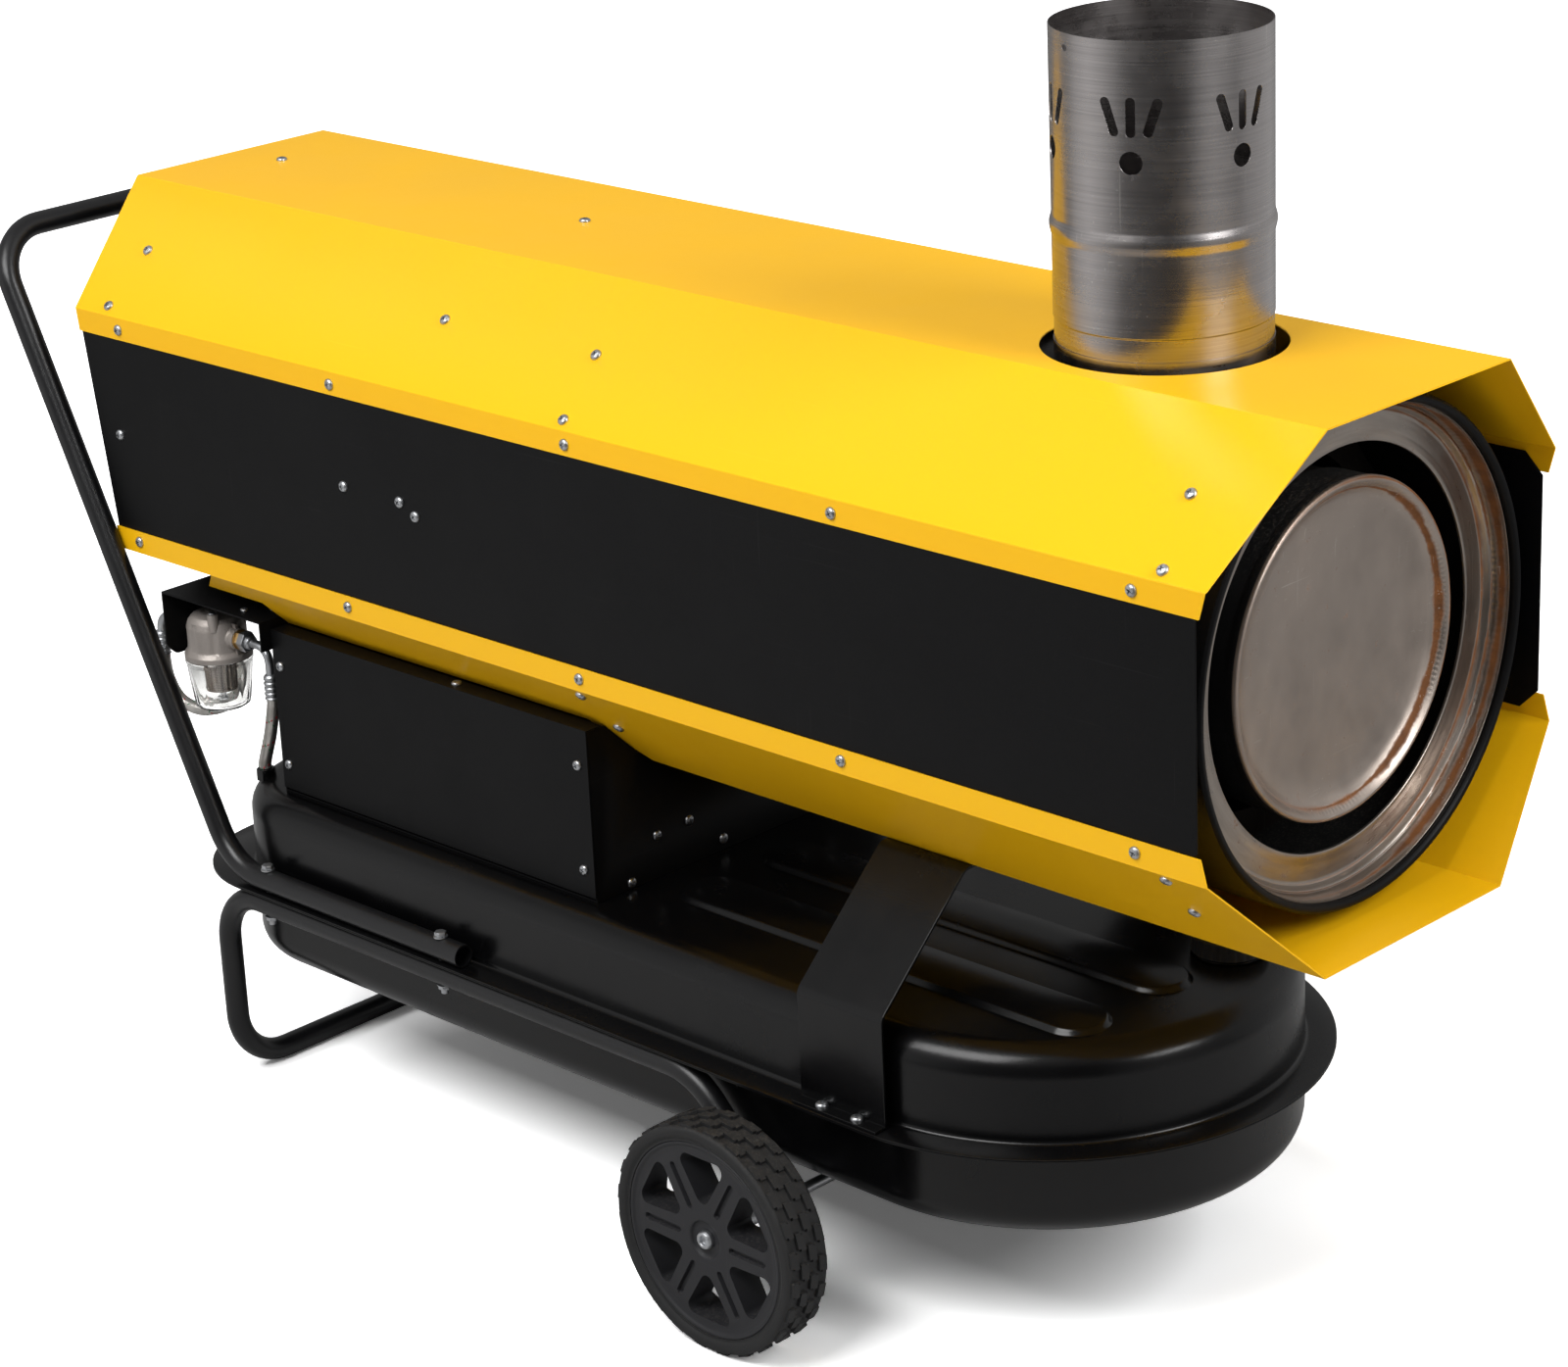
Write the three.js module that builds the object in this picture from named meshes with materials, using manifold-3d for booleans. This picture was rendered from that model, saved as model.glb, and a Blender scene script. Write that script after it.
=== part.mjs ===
// Mobile indirect oil-fired air heater: a folded octagonal casing round an air duct, with the
// combustion chamber and its flue at the front, the burner and the fan at the rear, all of it
// on a fuel tank that stands on two wheels and a tube frame.
// Millimetres. X runs to the air outlet, Z runs up from the floor, and the left side is at -Y.

import * as THREE from "three";
import { mergeVertices } from "three/addons/utils/BufferGeometryUtils.js";
import Module from "manifold-3d";

const wasm = await Module();
wasm.setup();

// ---------------------------------------------------------------- driving sizes

// Lengths named "Behind" are measured back from the front edge of the casing,
// and those named "Level" from the centre line of the casing, up being positive.
const seatGap = 0.3;
const runningGap = 0.35;

// Casing
const axisHeight = 725;
const casingLength = 1629.5;
const casingHalfWidth = 255;
const casingHalfHeight = 252;
const flatHalfWidth = 132.4;
const foldLevel = 133.5;
const coverSheet = 1.5;
const stripHeight = 25;
const stripChamfer = 7;
const frontSetback = 33;
const rearSetbackHigh = 31.5;
const rearSetbackLow = 69.3;
const lowerCutBehind = 850;
const lowerCutSlope = 32;
const lowerLipBehind = 1400;
const lowerLipDepth = 31;
const lowerLipSlope = 49;
const panelSheet = 1.5;
const panelOverlap = 17;
const panelFrontBehind = 45;
const panelCorner = 20;
const panelRearInset = 2;

// Air duct and its outlet ring
const ductRadius = 237;
const ductSheet = 1.5;
const ductFrontBehind = 57;
const ductRearBehind = 1556;
const ringInnerRadius = 190;
const ringStepRadius = 212;
const ringRimBehind = 79.6;
const ringSheet = 1.5;
const ringSeatDepth = 30;

// Combustion chamber, its end, and the heat exchanger round it
const chamberRadius = 155;
const chamberSheet = 2;
const chamberFrontBehind = 100;
const chamberRearBehind = 1080;
const endRadius = 159.3;
const endRimBehind = 77;
const endDish = 21;
const endDishRadius = 122;
const endSkirt = 48;
const exchangerInnerRadius = 175;
const exchangerOuterRadius = 205;
const exchangerSheet = 1.5;
const exchangerFrontBehind = 180;
const exchangerRearBehind = 950;
const crossoverRadius = 30;
const crossoverFrontBehind = 250;
const crossoverRearBehind = 850;
const spiderFrontBehind = 430;
const spiderRearBehind = 900;
const spiderWidth = 20;
const spiderSheet = 3;
const cradleBehind = 470;
const cradleHalfWidth = 100;
const cradleFoot = 30;
const cradleSheet = 2;

// Flue
const flueBehind = 283;
const flueRadius = 100;
const flueSheet = 1;
const flueTopLevel = 545;
const flueJointLevel = 259;
const flueSpigot = 45;
const flueBeadLevel = 356;
const flueBeadHeight = 14;
const flueBeadProud = 3;
const coverHoleRadius = 113;
const ventGroups = 6;
const ventGroupTurn = -3;
const ventSlotLength = 35.6;
const ventSlotWidth = 8.9;
const ventSlotLevel = 476;
const ventSlotSpread = 19;
const ventSlotTilt = 18;
const ventHoleRadius = 10.5;
const ventHoleLevel = 429;

// Fan, its motor and the guard
const guardBehind = 1552;
const guardWire = 4;
const guardRings = 4;
const guardHubRadius = 38;
const guardSpokes = 6;
const fanBehind = 1515;
const fanRadius = 222;
const fanHubRadius = 45;
const fanHubLength = 30;
const fanBlades = 5;
const fanChord = 88;
const fanBladeSheet = 3;
const fanRootPitch = 38;
const fanTipPitch = 22;
const fanShaftRadius = 7;
const fanMotorRadius = 60;
const fanMotorLength = 88;
const fanMotorBehind = 1392;
const motorMountWidth = 30;
const motorArmSheet = 4;

// Burner
const blastTubeRadius = 55;
const blastTubeSheet = 2;
const blastTubeReach = 60;
const blastTubeNeck = 106;
const blastFlangeRadius = 88;
const blastFlangeSheet = 4;
const blowerRadius = 95;
const blowerWidth = 90;
const blowerWall = 5;
const blowerBehind = 1288;
const blowerThroat = 60;
const blowerWheelRadius = 78;
const blowerWheelWidth = 56;
const blowerVanes = 8;
const blowerShaftRadius = 6;
const burnerMotorRadius = 45;
const burnerMotorLength = 115;
const burnerMotorFlange = 8;
const burnerMotorFlangeSheet = 6;
const burnerMotorShoulder = 12;
const pumpRadius = 28;
const pumpLength = 52;
const transformerLength = 70;
const transformerWidth = 62;
const transformerHeight = 58;

// Tank: one outline for the seam flange and one for the pressed shells
const flangeHeight = 245;
const tankSheet = 1.5;
const flangeHalfWidth = 281;
const flangeFrontBehind = 157;
const flangeRearBehind = 1500;
const flangeRearRadius = 130;
const shellHalfWidth = 250;
const shellFrontBehind = 188;
const shellRearBehind = 1460;
const shellRearRadius = 130;
const tankTopHeight = 340;
const tankBottomHeight = 143;
const shoulderRadius = 30;
const bottomRadius = 34;
const ribWidth = 74;
const ribHeight = 6;
const ribFrontBehind = 264;
const ribRearBehind = 820;
const ribPitch = 120;
const fillerBehind = 290;
const fillerOffset = 98;
const fillerNeckRadius = 32;
const fillerNeckHeight = 14;
const fillerCapRadius = 38;
const fillerCapHeight = 20;
const fillerWall = 3;
const fillerCapLift = 3;
const gaugeBehind = 640;
const gaugeOffset = 150;
const gaugeRadius = 24;
const gaugeHeight = 12;
const drainBehind = 330;
const drainRadius = 13;
const drainLength = 10;

// Control box on the tank, under the rear of the casing
const boxFrontBehind = 858;
const boxRearBehind = 1357;
const boxHalfWidth = 215;
const boxTopLevel = -197;
const boxSheet = 1.5;
const boxWall = 2;
const boxCoverLift = 5;
const boxCoverReturn = 22;
const panelPlateSheet = 3;
const panelPlateWidth = 230;
const panelPlateHighShare = 0.88;
const panelPlateOffset = 85;
const panelPlateLowShare = 0.31;
const switchRadius = 19;
const switchLength = 16;
const switchPlace = -82;
const resetRadius = 6;
const resetLength = 15;
const resetProud = 5;
const resetTravel = 3;
const resetPlace = -38;
const lampRadius = 7;
const lampLength = 8;
const lampPlace = -8;
const socketRadius = 17;
const socketLength = 14;
const socketPlace = 36;
const glandRadius = 13;
const glandBore = 7;
const glandLength = 24;
const glandPlace = 88;

// Front support hoop
const hoopFrontBehind = 415;
const hoopRearBehind = 525;
const hoopHalfWidth = 262;
const hoopBendHeight = 358;
const hoopTopHalfWidth = 141;
const hoopSheet = 3;

// Tube frame, axle and wheels
const tubeRadius = 12.5;
const tubeBore = 10.7;
const tubeHalfTrack = 268;
const handleEndBehind = 1010;
const handleBendBehind = 1390;
const handleBendRadius = 75;
const crossbarBehind = 1722;
const crossbarHeight = 925;
const crossbarBendRadius = 62;
const legBendBehind = 1411;
const legBendRadius = 62;
const legFrontBehind = 669;
const legFrontRadius = 85;
const legTail = 20;
const axleBehind = 563;
const axleRadius = 6;
const axleCollarRadius = 9;
const wheelRadius = 120;
const wheelOuter = 372;
const tyreWidth = 55;
const tyreInnerRadius = 102;
const treadDepth = 3;
const treadSteps = 48;
const rimInset = 3;
const rimWidth = 46;
const rimFace = 14;
const rimWindows = 6;
const windowInner = 40;
const windowOuter = 88;
const windowHalfTurn = 19;
const windowCorner = 7;
const grooveInner = 33;
const grooveOuter = 82;
const grooveWidth = 6;
const grooveDepth = 4;
const hubRadius = 20;
const capRadius = 9.5;
const capLength = 7;
const boltRadius = 4;
const boltHeadRadius = 7;
const boltHeadHeight = 6;
const boltFrontBehind = 1045;
const boltRearBehind = 1331;
const boltTail = 4;

// Fuel filter and its hoses
const filterBehind = 1487;
const filterOffset = -190;
const filterPortLevel = -235;
const headRadius = 36;
const headTopLevel = -208;
const headBottomLevel = -262;
const bossRadius = 12;
const bossReach = 40.7;
const bowlHeight = 58;
const bowlTopRadius = 35;
const bowlBottomRadius = 28;
const bowlWall = 3;
const strainerRadius = 19;
const strainerLength = 38;
const bracketSheet = 2;
const bracketTopLevel = -186;
const bracketDrop = 76;
const bracketHalfWidth = 39;
const bracketTab = 34;
const bracketCorner = 12;
const bracketRearBehind = 1530;
const hexRadius = 12;
const hexLength = 16;
const shankRadius = 6.5;
const shankLength = 12;
const elbowRadius = 5;
const elbowBend = 18;
const ferruleRadius = 8.5;
const ferruleLength = 28;
const suctionDropBehind = 1392;
const suctionFerruleLevel = -265;
const supplyDropBehind = 1590;
const supplyFerruleLevel = -255;
const hoseRadius = 7.5;
const supplyBowRun = 82.5;
const supplyBowAside = 47;
const supplyBowDrop = 57;
const supplyBowRise = 40;
const tankUnionBehind = 1413;
const tankUnionOffset = -196;
const tankUnionRadius = 11;
const tankUnionHeight = 348;
const ductUnionBehind = 1512;
const ductUnionTurn = 30.4;

// ---------------------------------------------------------------- shared places

const overallLength = crossbarBehind + tubeRadius;
const frontX = overallLength / 2;
const placeX = (behind) => frontX - behind;
const level = (value) => axisHeight + value;
const radians = THREE.MathUtils.degToRad;

const handleTubeHeight = flangeHeight + seatGap + tubeRadius;
const seamBottomHeight = flangeHeight - 2 * tankSheet - seatGap;
const legTubeHeight = seamBottomHeight - seatGap - tubeRadius;
const ductInnerRadius = ductRadius - ductSheet;
const ductFacets = 44;
const ductRoomRadius = ductInnerRadius * Math.cos(Math.PI / ductFacets) - seatGap;
const burnerLevel = 0;
const boxTopHeight = level(boxTopLevel);
const boxRoom = level(-ductRadius) - tankTopHeight;
const panelPlateBottom = tankTopHeight + panelPlateLowShare * boxRoom;
const panelPlateTop = tankTopHeight + panelPlateHighShare * boxRoom;
const panelPlateMiddle = (panelPlateBottom + panelPlateTop) / 2;
const filterPortHeight = level(filterPortLevel);
const headTopHeight = level(headTopLevel);
const headBottomHeight = level(headBottomLevel);
const bracketTopHeight = level(bracketTopLevel);
const suctionFerruleHeight = level(suctionFerruleLevel);
const supplyFerruleHeight = level(supplyFerruleLevel);

// ---------------------------------------------------------------- materials

function finish(color, roughness, metalness, extra = {}) {
  return new THREE.MeshStandardMaterial({ color, roughness, metalness, ...extra });
}
const yellowPaint = finish(0xf0b92c, 0.32, 0.0);
const blackPaint = finish(0x1d1d20, 0.42, 0.1);
const tankPaint = finish(0x17171a, 0.3, 0.1);
const stainless = finish(0xa9a6a2, 0.3, 1.0);
const rawSteel = finish(0x87807a, 0.42, 0.9);
const zinc = finish(0xb9bcc0, 0.35, 0.9);
const castMetal = finish(0x8f8a86, 0.5, 0.7);
const blackPlastic = finish(0x202022, 0.55, 0.0);
const rimPlastic = finish(0x242426, 0.5, 0.0);
const rubber = finish(0x191919, 0.8, 0.0);
const clearPlastic = finish(0xdfe6e8, 0.1, 0.0, { transparent: true, opacity: 0.35 });
const strainerMesh = finish(0x77716c, 0.6, 0.3);
const redPlastic = finish(0xa61d17, 0.4, 0.0);
const braid = finish(0xa8a5a0, 0.45, 0.8);

// ---------------------------------------------------------------- solids

const heater = new THREE.Group();

function addPiece(name, geometry, material) {
  const mesh = new THREE.Mesh(geometry, material);
  mesh.name = name;
  heater.add(mesh);
  return mesh;
}

function toSolid(geometry) {
  const bare = geometry.clone();
  bare.deleteAttribute("normal");
  bare.deleteAttribute("uv");
  const merged = mergeVertices(bare, 1e-4);
  return new wasm.Manifold(
    new wasm.Mesh({
      numProp: 3,
      vertProperties: merged.attributes.position.array,
      triVerts: new Uint32Array(merged.index.array),
    }),
  );
}

function toGeometry(solid) {
  const mesh = solid.getMesh();
  const geometry = new THREE.BufferGeometry();
  geometry.setAttribute("position", new THREE.BufferAttribute(mesh.vertProperties, 3));
  geometry.setIndex(new THREE.BufferAttribute(mesh.triVerts, 1));
  geometry.computeVertexNormals();
  return geometry;
}

function join(...geometries) {
  return toGeometry(geometries.map(toSolid).reduce((whole, next) => whole.add(next)));
}

function cut(geometry, ...cutters) {
  return toGeometry(cutters.map(toSolid).reduce((rest, next) => rest.subtract(next), toSolid(geometry)));
}

const point = (u, v) => new THREE.Vector2(u, v);
const polygon = (corners) => new THREE.Shape(corners.map(([u, v]) => point(u, v)));

function extrude(shape, depth, curveSegments = 8) {
  return new THREE.ExtrudeGeometry(shape, { depth, bevelEnabled: false, steps: 1, curveSegments });
}

// Profile in (Y, Z), pushed along X.
function alongX(shape, fromX, toX, curveSegments) {
  const axes = new THREE.Matrix4().makeBasis(
    new THREE.Vector3(0, 1, 0),
    new THREE.Vector3(0, 0, 1),
    new THREE.Vector3(1, 0, 0),
  );
  return extrude(shape, toX - fromX, curveSegments).applyMatrix4(axes).translate(fromX, 0, 0);
}

// Profile in (X, Z), pushed along Y.
function alongY(shape, fromY, toY, curveSegments) {
  return extrude(shape, toY - fromY, curveSegments).rotateX(Math.PI / 2).translate(0, toY, 0);
}

// Profile in (X, Y), pushed along Z.
function alongZ(shape, fromZ, toZ, curveSegments) {
  return extrude(shape, toZ - fromZ, curveSegments).translate(0, 0, fromZ);
}

function box(fromX, toX, fromY, toY, fromZ, toZ) {
  const middle = [(fromX + toX) / 2, (fromY + toY) / 2, (fromZ + toZ) / 2];
  return new THREE.BoxGeometry(toX - fromX, toY - fromY, toZ - fromZ).translate(...middle);
}

// Turns a profile of [radius, distance along the axis] points about X, Y or Z.
function revolve(profile, axis, segments = 32) {
  const points = profile.map(([radius, along]) => point(radius, along));
  if (THREE.ShapeUtils.isClockWise(points)) points.reverse();
  if (!points.some((p) => p.x === 0)) points.push(points[0].clone());
  const geometry = new THREE.LatheGeometry(points, segments);
  if (axis === "X") geometry.rotateZ(-Math.PI / 2);
  if (axis === "Z") geometry.rotateX(Math.PI / 2);
  return geometry;
}

// A profile of [radius, Behind] points turned about the casing's centre line.
function aboutDuct(profile, segments) {
  const placed = profile.map(([radius, behind]) => [radius, placeX(behind)]);
  return revolve(placed, "X", segments).translate(0, 0, axisHeight);
}

function rod(axis, radius, from, to, segments = 20) {
  return revolve([[0, from], [radius, from], [radius, to], [0, to]], axis, segments);
}

// The section of a folded sheet: a line of folds, and the same line moved to its left.
function sheetSection(line, thickness) {
  const points = line.map(([u, v]) => point(u, v));
  const normals = points.slice(1).map((p, i) => {
    const run = p.clone().sub(points[i]).normalize();
    return point(-run.y, run.x);
  });
  const moved = points.map((p, i) => {
    const before = normals[Math.max(i - 1, 0)];
    const after = normals[Math.min(i, normals.length - 1)];
    const middle = before.clone().add(after).normalize();
    return p.clone().addScaledVector(middle, thickness / middle.dot(after));
  });
  return new THREE.Shape([...points, ...moved.reverse()]);
}

function regularPolygon(radius, sides) {
  return Array.from({ length: sides }, (_, i) => {
    const angle = (2 * Math.PI * i) / sides;
    return point(radius * Math.cos(angle), radius * Math.sin(angle));
  });
}

// The outline round equal circles, whose centres are given anticlockwise.
function roundedHull(centres, radius) {
  const shape = new THREE.Shape();
  centres.forEach(([u, v], i) => {
    const before = centres[(i + centres.length - 1) % centres.length];
    const after = centres[(i + 1) % centres.length];
    const start = Math.atan2(v - before[1], u - before[0]) - Math.PI / 2;
    const end = Math.atan2(after[1] - v, after[0] - u) - Math.PI / 2;
    shape.absarc(u, v, radius, start, end, false);
  });
  return shape;
}

// A line of straight runs and round bends, stepped only where it bends.
class BentPath extends THREE.Curve {
  constructor(corners, bendRadii, bendSteps = 4) {
    super();
    this.stretches = [];
    let from = corners[0];
    for (let i = 1; i < corners.length - 1; i += 1) {
      const into = corners[i].clone().sub(corners[i - 1]).normalize();
      const outOf = corners[i + 1].clone().sub(corners[i]).normalize();
      const turn = into.angleTo(outOf);
      const radius = bendRadii[i - 1];
      const setback = radius * Math.tan(turn / 2);
      const start = corners[i].clone().addScaledVector(into, -setback);
      const towards = outOf.clone().sub(into).normalize();
      const centre = corners[i].clone().addScaledVector(towards, radius / Math.cos(turn / 2));
      const axis = new THREE.Vector3().crossVectors(into, outOf).normalize();
      const arm = start.clone().sub(centre);
      const runStart = from;
      this.stretches.push({ steps: 1, at: (f) => runStart.clone().lerp(start, f) });
      this.stretches.push({
        steps: bendSteps,
        at: (f) => arm.clone().applyAxisAngle(axis, turn * f).add(centre),
      });
      from = corners[i].clone().addScaledVector(outOf, setback);
    }
    const lastStart = from;
    const end = corners[corners.length - 1];
    this.stretches.push({ steps: 1, at: (f) => lastStart.clone().lerp(end, f) });
    this.steps = this.stretches.reduce((sum, stretch) => sum + stretch.steps, 0);
  }

  getPoint(t) {
    let rest = t * this.steps;
    for (const stretch of this.stretches) {
      if (rest <= stretch.steps) return stretch.at(rest / stretch.steps);
      rest -= stretch.steps;
    }
    return this.stretches[this.stretches.length - 1].at(1);
  }

  getUtoTmapping(u) {
    return u;
  }
}

function tube(path, steps, radius, sides, bore = 0, boreSides = 6) {
  const section = new THREE.Shape(regularPolygon(radius, sides));
  if (bore > 0) section.holes.push(new THREE.Path(regularPolygon(bore, boreSides)));
  return new THREE.ExtrudeGeometry(section, { steps, extrudePath: path, bevelEnabled: false });
}

// Closed outlines of equal point count, stacked at rising heights and capped.
function stack(levels) {
  const count = levels[0].outline.length;
  const positions = levels.flatMap(({ outline, height }) => outline.flatMap((p) => [p.x, p.y, height]));
  const faces = [];
  levels.slice(1).forEach((_, k) => {
    for (let i = 0; i < count; i += 1) {
      const a = k * count + i;
      const b = k * count + ((i + 1) % count);
      faces.push(a, b, b + count, a, b + count, a + count);
    }
  });
  const top = (levels.length - 1) * count;
  for (let i = 1; i < count - 1; i += 1) {
    faces.push(0, i + 1, i);
    faces.push(top, top + i, top + i + 1);
  }
  const geometry = new THREE.BufferGeometry();
  geometry.setAttribute("position", new THREE.Float32BufferAttribute(positions, 3));
  geometry.setIndex(faces);
  return geometry;
}

// ---------------------------------------------------------------- casing covers

const slantSlope = (casingHalfHeight - foldLevel) / (casingHalfWidth - flatHalfWidth);
const stripEndLevel = foldLevel - stripHeight;

function coverSection(side) {
  const line = [
    [casingHalfWidth, level(side * stripEndLevel)],
    [casingHalfWidth, level(side * foldLevel)],
    [flatHalfWidth, level(side * casingHalfHeight)],
    [-flatHalfWidth, level(side * casingHalfHeight)],
    [-casingHalfWidth, level(side * foldLevel)],
    [-casingHalfWidth, level(side * stripEndLevel)],
  ];
  return sheetSection(line, side * coverSheet);
}

// Waste in front of the slanted front edge of a cover, on one side of the heater.
function frontEdgeWaste(side) {
  const spare = 10;
  const reach = casingHalfWidth + spare;
  const slope = frontSetback / (casingHalfWidth - flatHalfWidth);
  const outline = polygon([
    [placeX(0), side * flatHalfWidth],
    [placeX(slope * (reach - flatHalfWidth)), side * reach],
    [placeX(-spare), side * reach],
    [placeX(-spare), side * flatHalfWidth],
  ]);
  return alongZ(outline, level(-casingHalfHeight - spare), level(casingHalfHeight + spare));
}

function rearEdgeWaste(side) {
  const spare = 10;
  const reach = casingHalfWidth + spare;
  const slope = rearSetbackHigh / (casingHalfWidth - flatHalfWidth);
  const outline = polygon([
    [placeX(casingLength), side * flatHalfWidth],
    [placeX(casingLength - slope * (reach - flatHalfWidth)), side * reach],
    [placeX(casingLength + spare), side * reach],
    [placeX(casingLength + spare), side * flatHalfWidth],
  ]);
  return alongZ(outline, level(foldLevel - 1), level(casingHalfHeight + spare));
}

// Waste round the ends of the upright strips: a small chamfer in front, and the rear edge
// that leans forward from the upper fold to the lower one.
const rearLean = (rearSetbackLow - rearSetbackHigh) / (2 * foldLevel);
const rearEdgeBehind = (value) => casingLength - rearSetbackHigh - rearLean * (foldLevel - value);

function stripWaste(side) {
  const spare = 12;
  const front = polygon([
    [placeX(frontSetback), level(side * foldLevel)],
    [placeX(frontSetback + stripChamfer), level(side * stripEndLevel)],
    [placeX(-spare), level(side * stripEndLevel)],
    [placeX(-spare), level(side * foldLevel)],
  ]);
  const rear = polygon([
    [placeX(rearEdgeBehind(side * foldLevel)), level(side * foldLevel)],
    [placeX(rearEdgeBehind(side * stripEndLevel)), level(side * stripEndLevel)],
    [placeX(casingLength + spare), level(side * stripEndLevel)],
    [placeX(casingLength + spare), level(side * foldLevel)],
  ]);
  const reach = casingHalfWidth + spare;
  return [alongY(front, -reach, reach), alongY(rear, -reach, reach)];
}

const wholeCover = (side) => alongX(coverSection(side), placeX(casingLength), placeX(0));

const flueHole = rod("Z", coverHoleRadius, level(flatHalfWidth), level(casingHalfHeight + 10), 40);
addPiece(
  "top_cover",
  cut(
    wholeCover(1),
    frontEdgeWaste(1),
    frontEdgeWaste(-1),
    rearEdgeWaste(1),
    rearEdgeWaste(-1),
    ...stripWaste(1),
    flueHole.translate(placeX(flueBehind), 0, 0),
  ),
  yellowPaint,
);

// The lower cover is a full trough only as far back as the control box. Behind it a lip of
// each slant runs on above the box, and then the upright strip alone.
const boxCutHeight = boxTopHeight + seatGap;
const lipHeight = level(-foldLevel - lowerLipDepth);
const lowerWaste = polygon([
  [placeX(lowerCutBehind), level(-casingHalfHeight - 10)],
  [placeX(lowerCutBehind), level(-casingHalfHeight)],
  [placeX(lowerCutBehind + lowerCutSlope), boxCutHeight],
  [placeX(boxRearBehind), boxCutHeight],
  [placeX(boxRearBehind), lipHeight],
  [placeX(lowerLipBehind + lowerLipSlope), lipHeight],
  [placeX(lowerLipBehind), level(-foldLevel)],
  [placeX(casingLength + 10), level(-foldLevel)],
  [placeX(casingLength + 10), level(-casingHalfHeight - 10)],
]);
addPiece(
  "lower_cover",
  cut(
    wholeCover(-1),
    frontEdgeWaste(1),
    frontEdgeWaste(-1),
    ...stripWaste(-1),
    alongY(lowerWaste, -casingHalfWidth - 10, casingHalfWidth + 10),
  ),
  yellowPaint,
);

const panelHalfHeight = stripEndLevel + panelOverlap;
const panelOutline = polygon([
  [placeX(panelFrontBehind + panelCorner), level(panelHalfHeight)],
  [placeX(panelFrontBehind), level(panelHalfHeight - panelCorner)],
  [placeX(panelFrontBehind), level(-panelHalfHeight + panelCorner)],
  [placeX(panelFrontBehind + panelCorner), level(-panelHalfHeight)],
  [placeX(rearEdgeBehind(-panelHalfHeight) - panelRearInset), level(-panelHalfHeight)],
  [placeX(rearEdgeBehind(panelHalfHeight) - panelRearInset), level(panelHalfHeight)],
]);
const panelOuter = casingHalfWidth - coverSheet - seatGap;
addPiece("side_panel_left", alongY(panelOutline, -panelOuter, -panelOuter + panelSheet), blackPaint);
addPiece("side_panel_right", alongY(panelOutline, panelOuter - panelSheet, panelOuter), blackPaint);

// ---------------------------------------------------------------- duct and outlet

const ductWall = aboutDuct(
  [
    [ductInnerRadius, ductFrontBehind],
    [ductRadius, ductFrontBehind],
    [ductRadius, ductRearBehind],
    [ductInnerRadius, ductRearBehind],
  ],
  ductFacets,
);
const flueDuctHole = rod("Z", flueRadius + 3 * seatGap, level(0), level(ductRadius + 5), 28);
addPiece("air_duct", cut(ductWall, flueDuctHole.translate(placeX(flueBehind), 0, 0)), blackPaint);

// A pressed ring: a seat inside the duct, a shallow channel, a rounded step and a rim that
// turns back into the duct round the outlet gap.
const ringLine = [
  [ductRoomRadius, ductFrontBehind + ringSeatDepth],
  [ductRoomRadius, ductFrontBehind + 5],
  [ductRoomRadius - 6, ductFrontBehind + 2],
  [ringStepRadius + 7, ringRimBehind - 7],
  [ringStepRadius, ringRimBehind - 5],
  [ringStepRadius - 4, ringRimBehind - 12],
  [ringStepRadius - 10, ringRimBehind - 13],
  [ringInnerRadius + 3, ringRimBehind - 4],
  [ringInnerRadius, ringRimBehind],
  [ringInnerRadius, ringRimBehind + 16],
];
const ringProfile = sheetSection(ringLine, -ringSheet).getPoints().map((p) => [p.x, p.y]);
addPiece("outlet_ring", aboutDuct(ringProfile, 28), rawSteel);

// ---------------------------------------------------------------- chamber and exchanger

const burnerPortRadius = blastTubeRadius + seatGap;
const chamberBarrel = aboutDuct(
  [
    [chamberRadius - chamberSheet, chamberFrontBehind],
    [chamberRadius, chamberFrontBehind],
    [chamberRadius, chamberRearBehind],
    [burnerPortRadius, chamberRearBehind],
    [burnerPortRadius, chamberRearBehind - chamberSheet],
    [chamberRadius - chamberSheet, chamberRearBehind - chamberSheet],
  ],
  24,
);
const crossovers = [crossoverFrontBehind, crossoverRearBehind];
const crossoverBore = crossoverRadius - exchangerSheet;
function downRod(radius, behind, fromRadius, toRadius) {
  return rod("Z", radius, level(-toRadius), level(-fromRadius), 16).translate(placeX(behind), 0, 0);
}
addPiece(
  "combustion_chamber",
  cut(chamberBarrel, ...crossovers.map((b) => downRod(crossoverBore, b, chamberRadius - 20, chamberRadius + 5))),
  rawSteel,
);

// The dished end: a flat middle, a raised rolled rim, and a skirt over the barrel.
const endLine = [
  [0, endRimBehind + endDish],
  [endDishRadius, endRimBehind + endDish],
  [endDishRadius + 14, endRimBehind + endDish - 4],
  [endRadius - 12, endRimBehind + 7],
  [endRadius - 8, endRimBehind + 1.5],
  [endRadius - 4.5, endRimBehind],
  [endRadius - 1, endRimBehind + 1.5],
  [endRadius, endRimBehind + 5],
  [endRadius - 1, endRimBehind + 11],
  [chamberRadius + seatGap + chamberSheet, endRimBehind + 15],
  [chamberRadius + seatGap + chamberSheet, endRimBehind + endSkirt],
];
const endBack = [
  [chamberRadius + seatGap, endRimBehind + endSkirt],
  [chamberRadius + seatGap, endRimBehind + 14],
  [endRadius - 3, endRimBehind + 6],
  [endRadius - 6, endRimBehind + 4],
  [endRadius - 12, endRimBehind + 11],
  [endDishRadius + 14.5, endRimBehind + endDish - 2],
  [endDishRadius, endRimBehind + endDish + chamberSheet],
  [0, endRimBehind + endDish + chamberSheet],
];
addPiece("chamber_end", aboutDuct([...endLine, ...endBack], 24), rawSteel);

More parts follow.
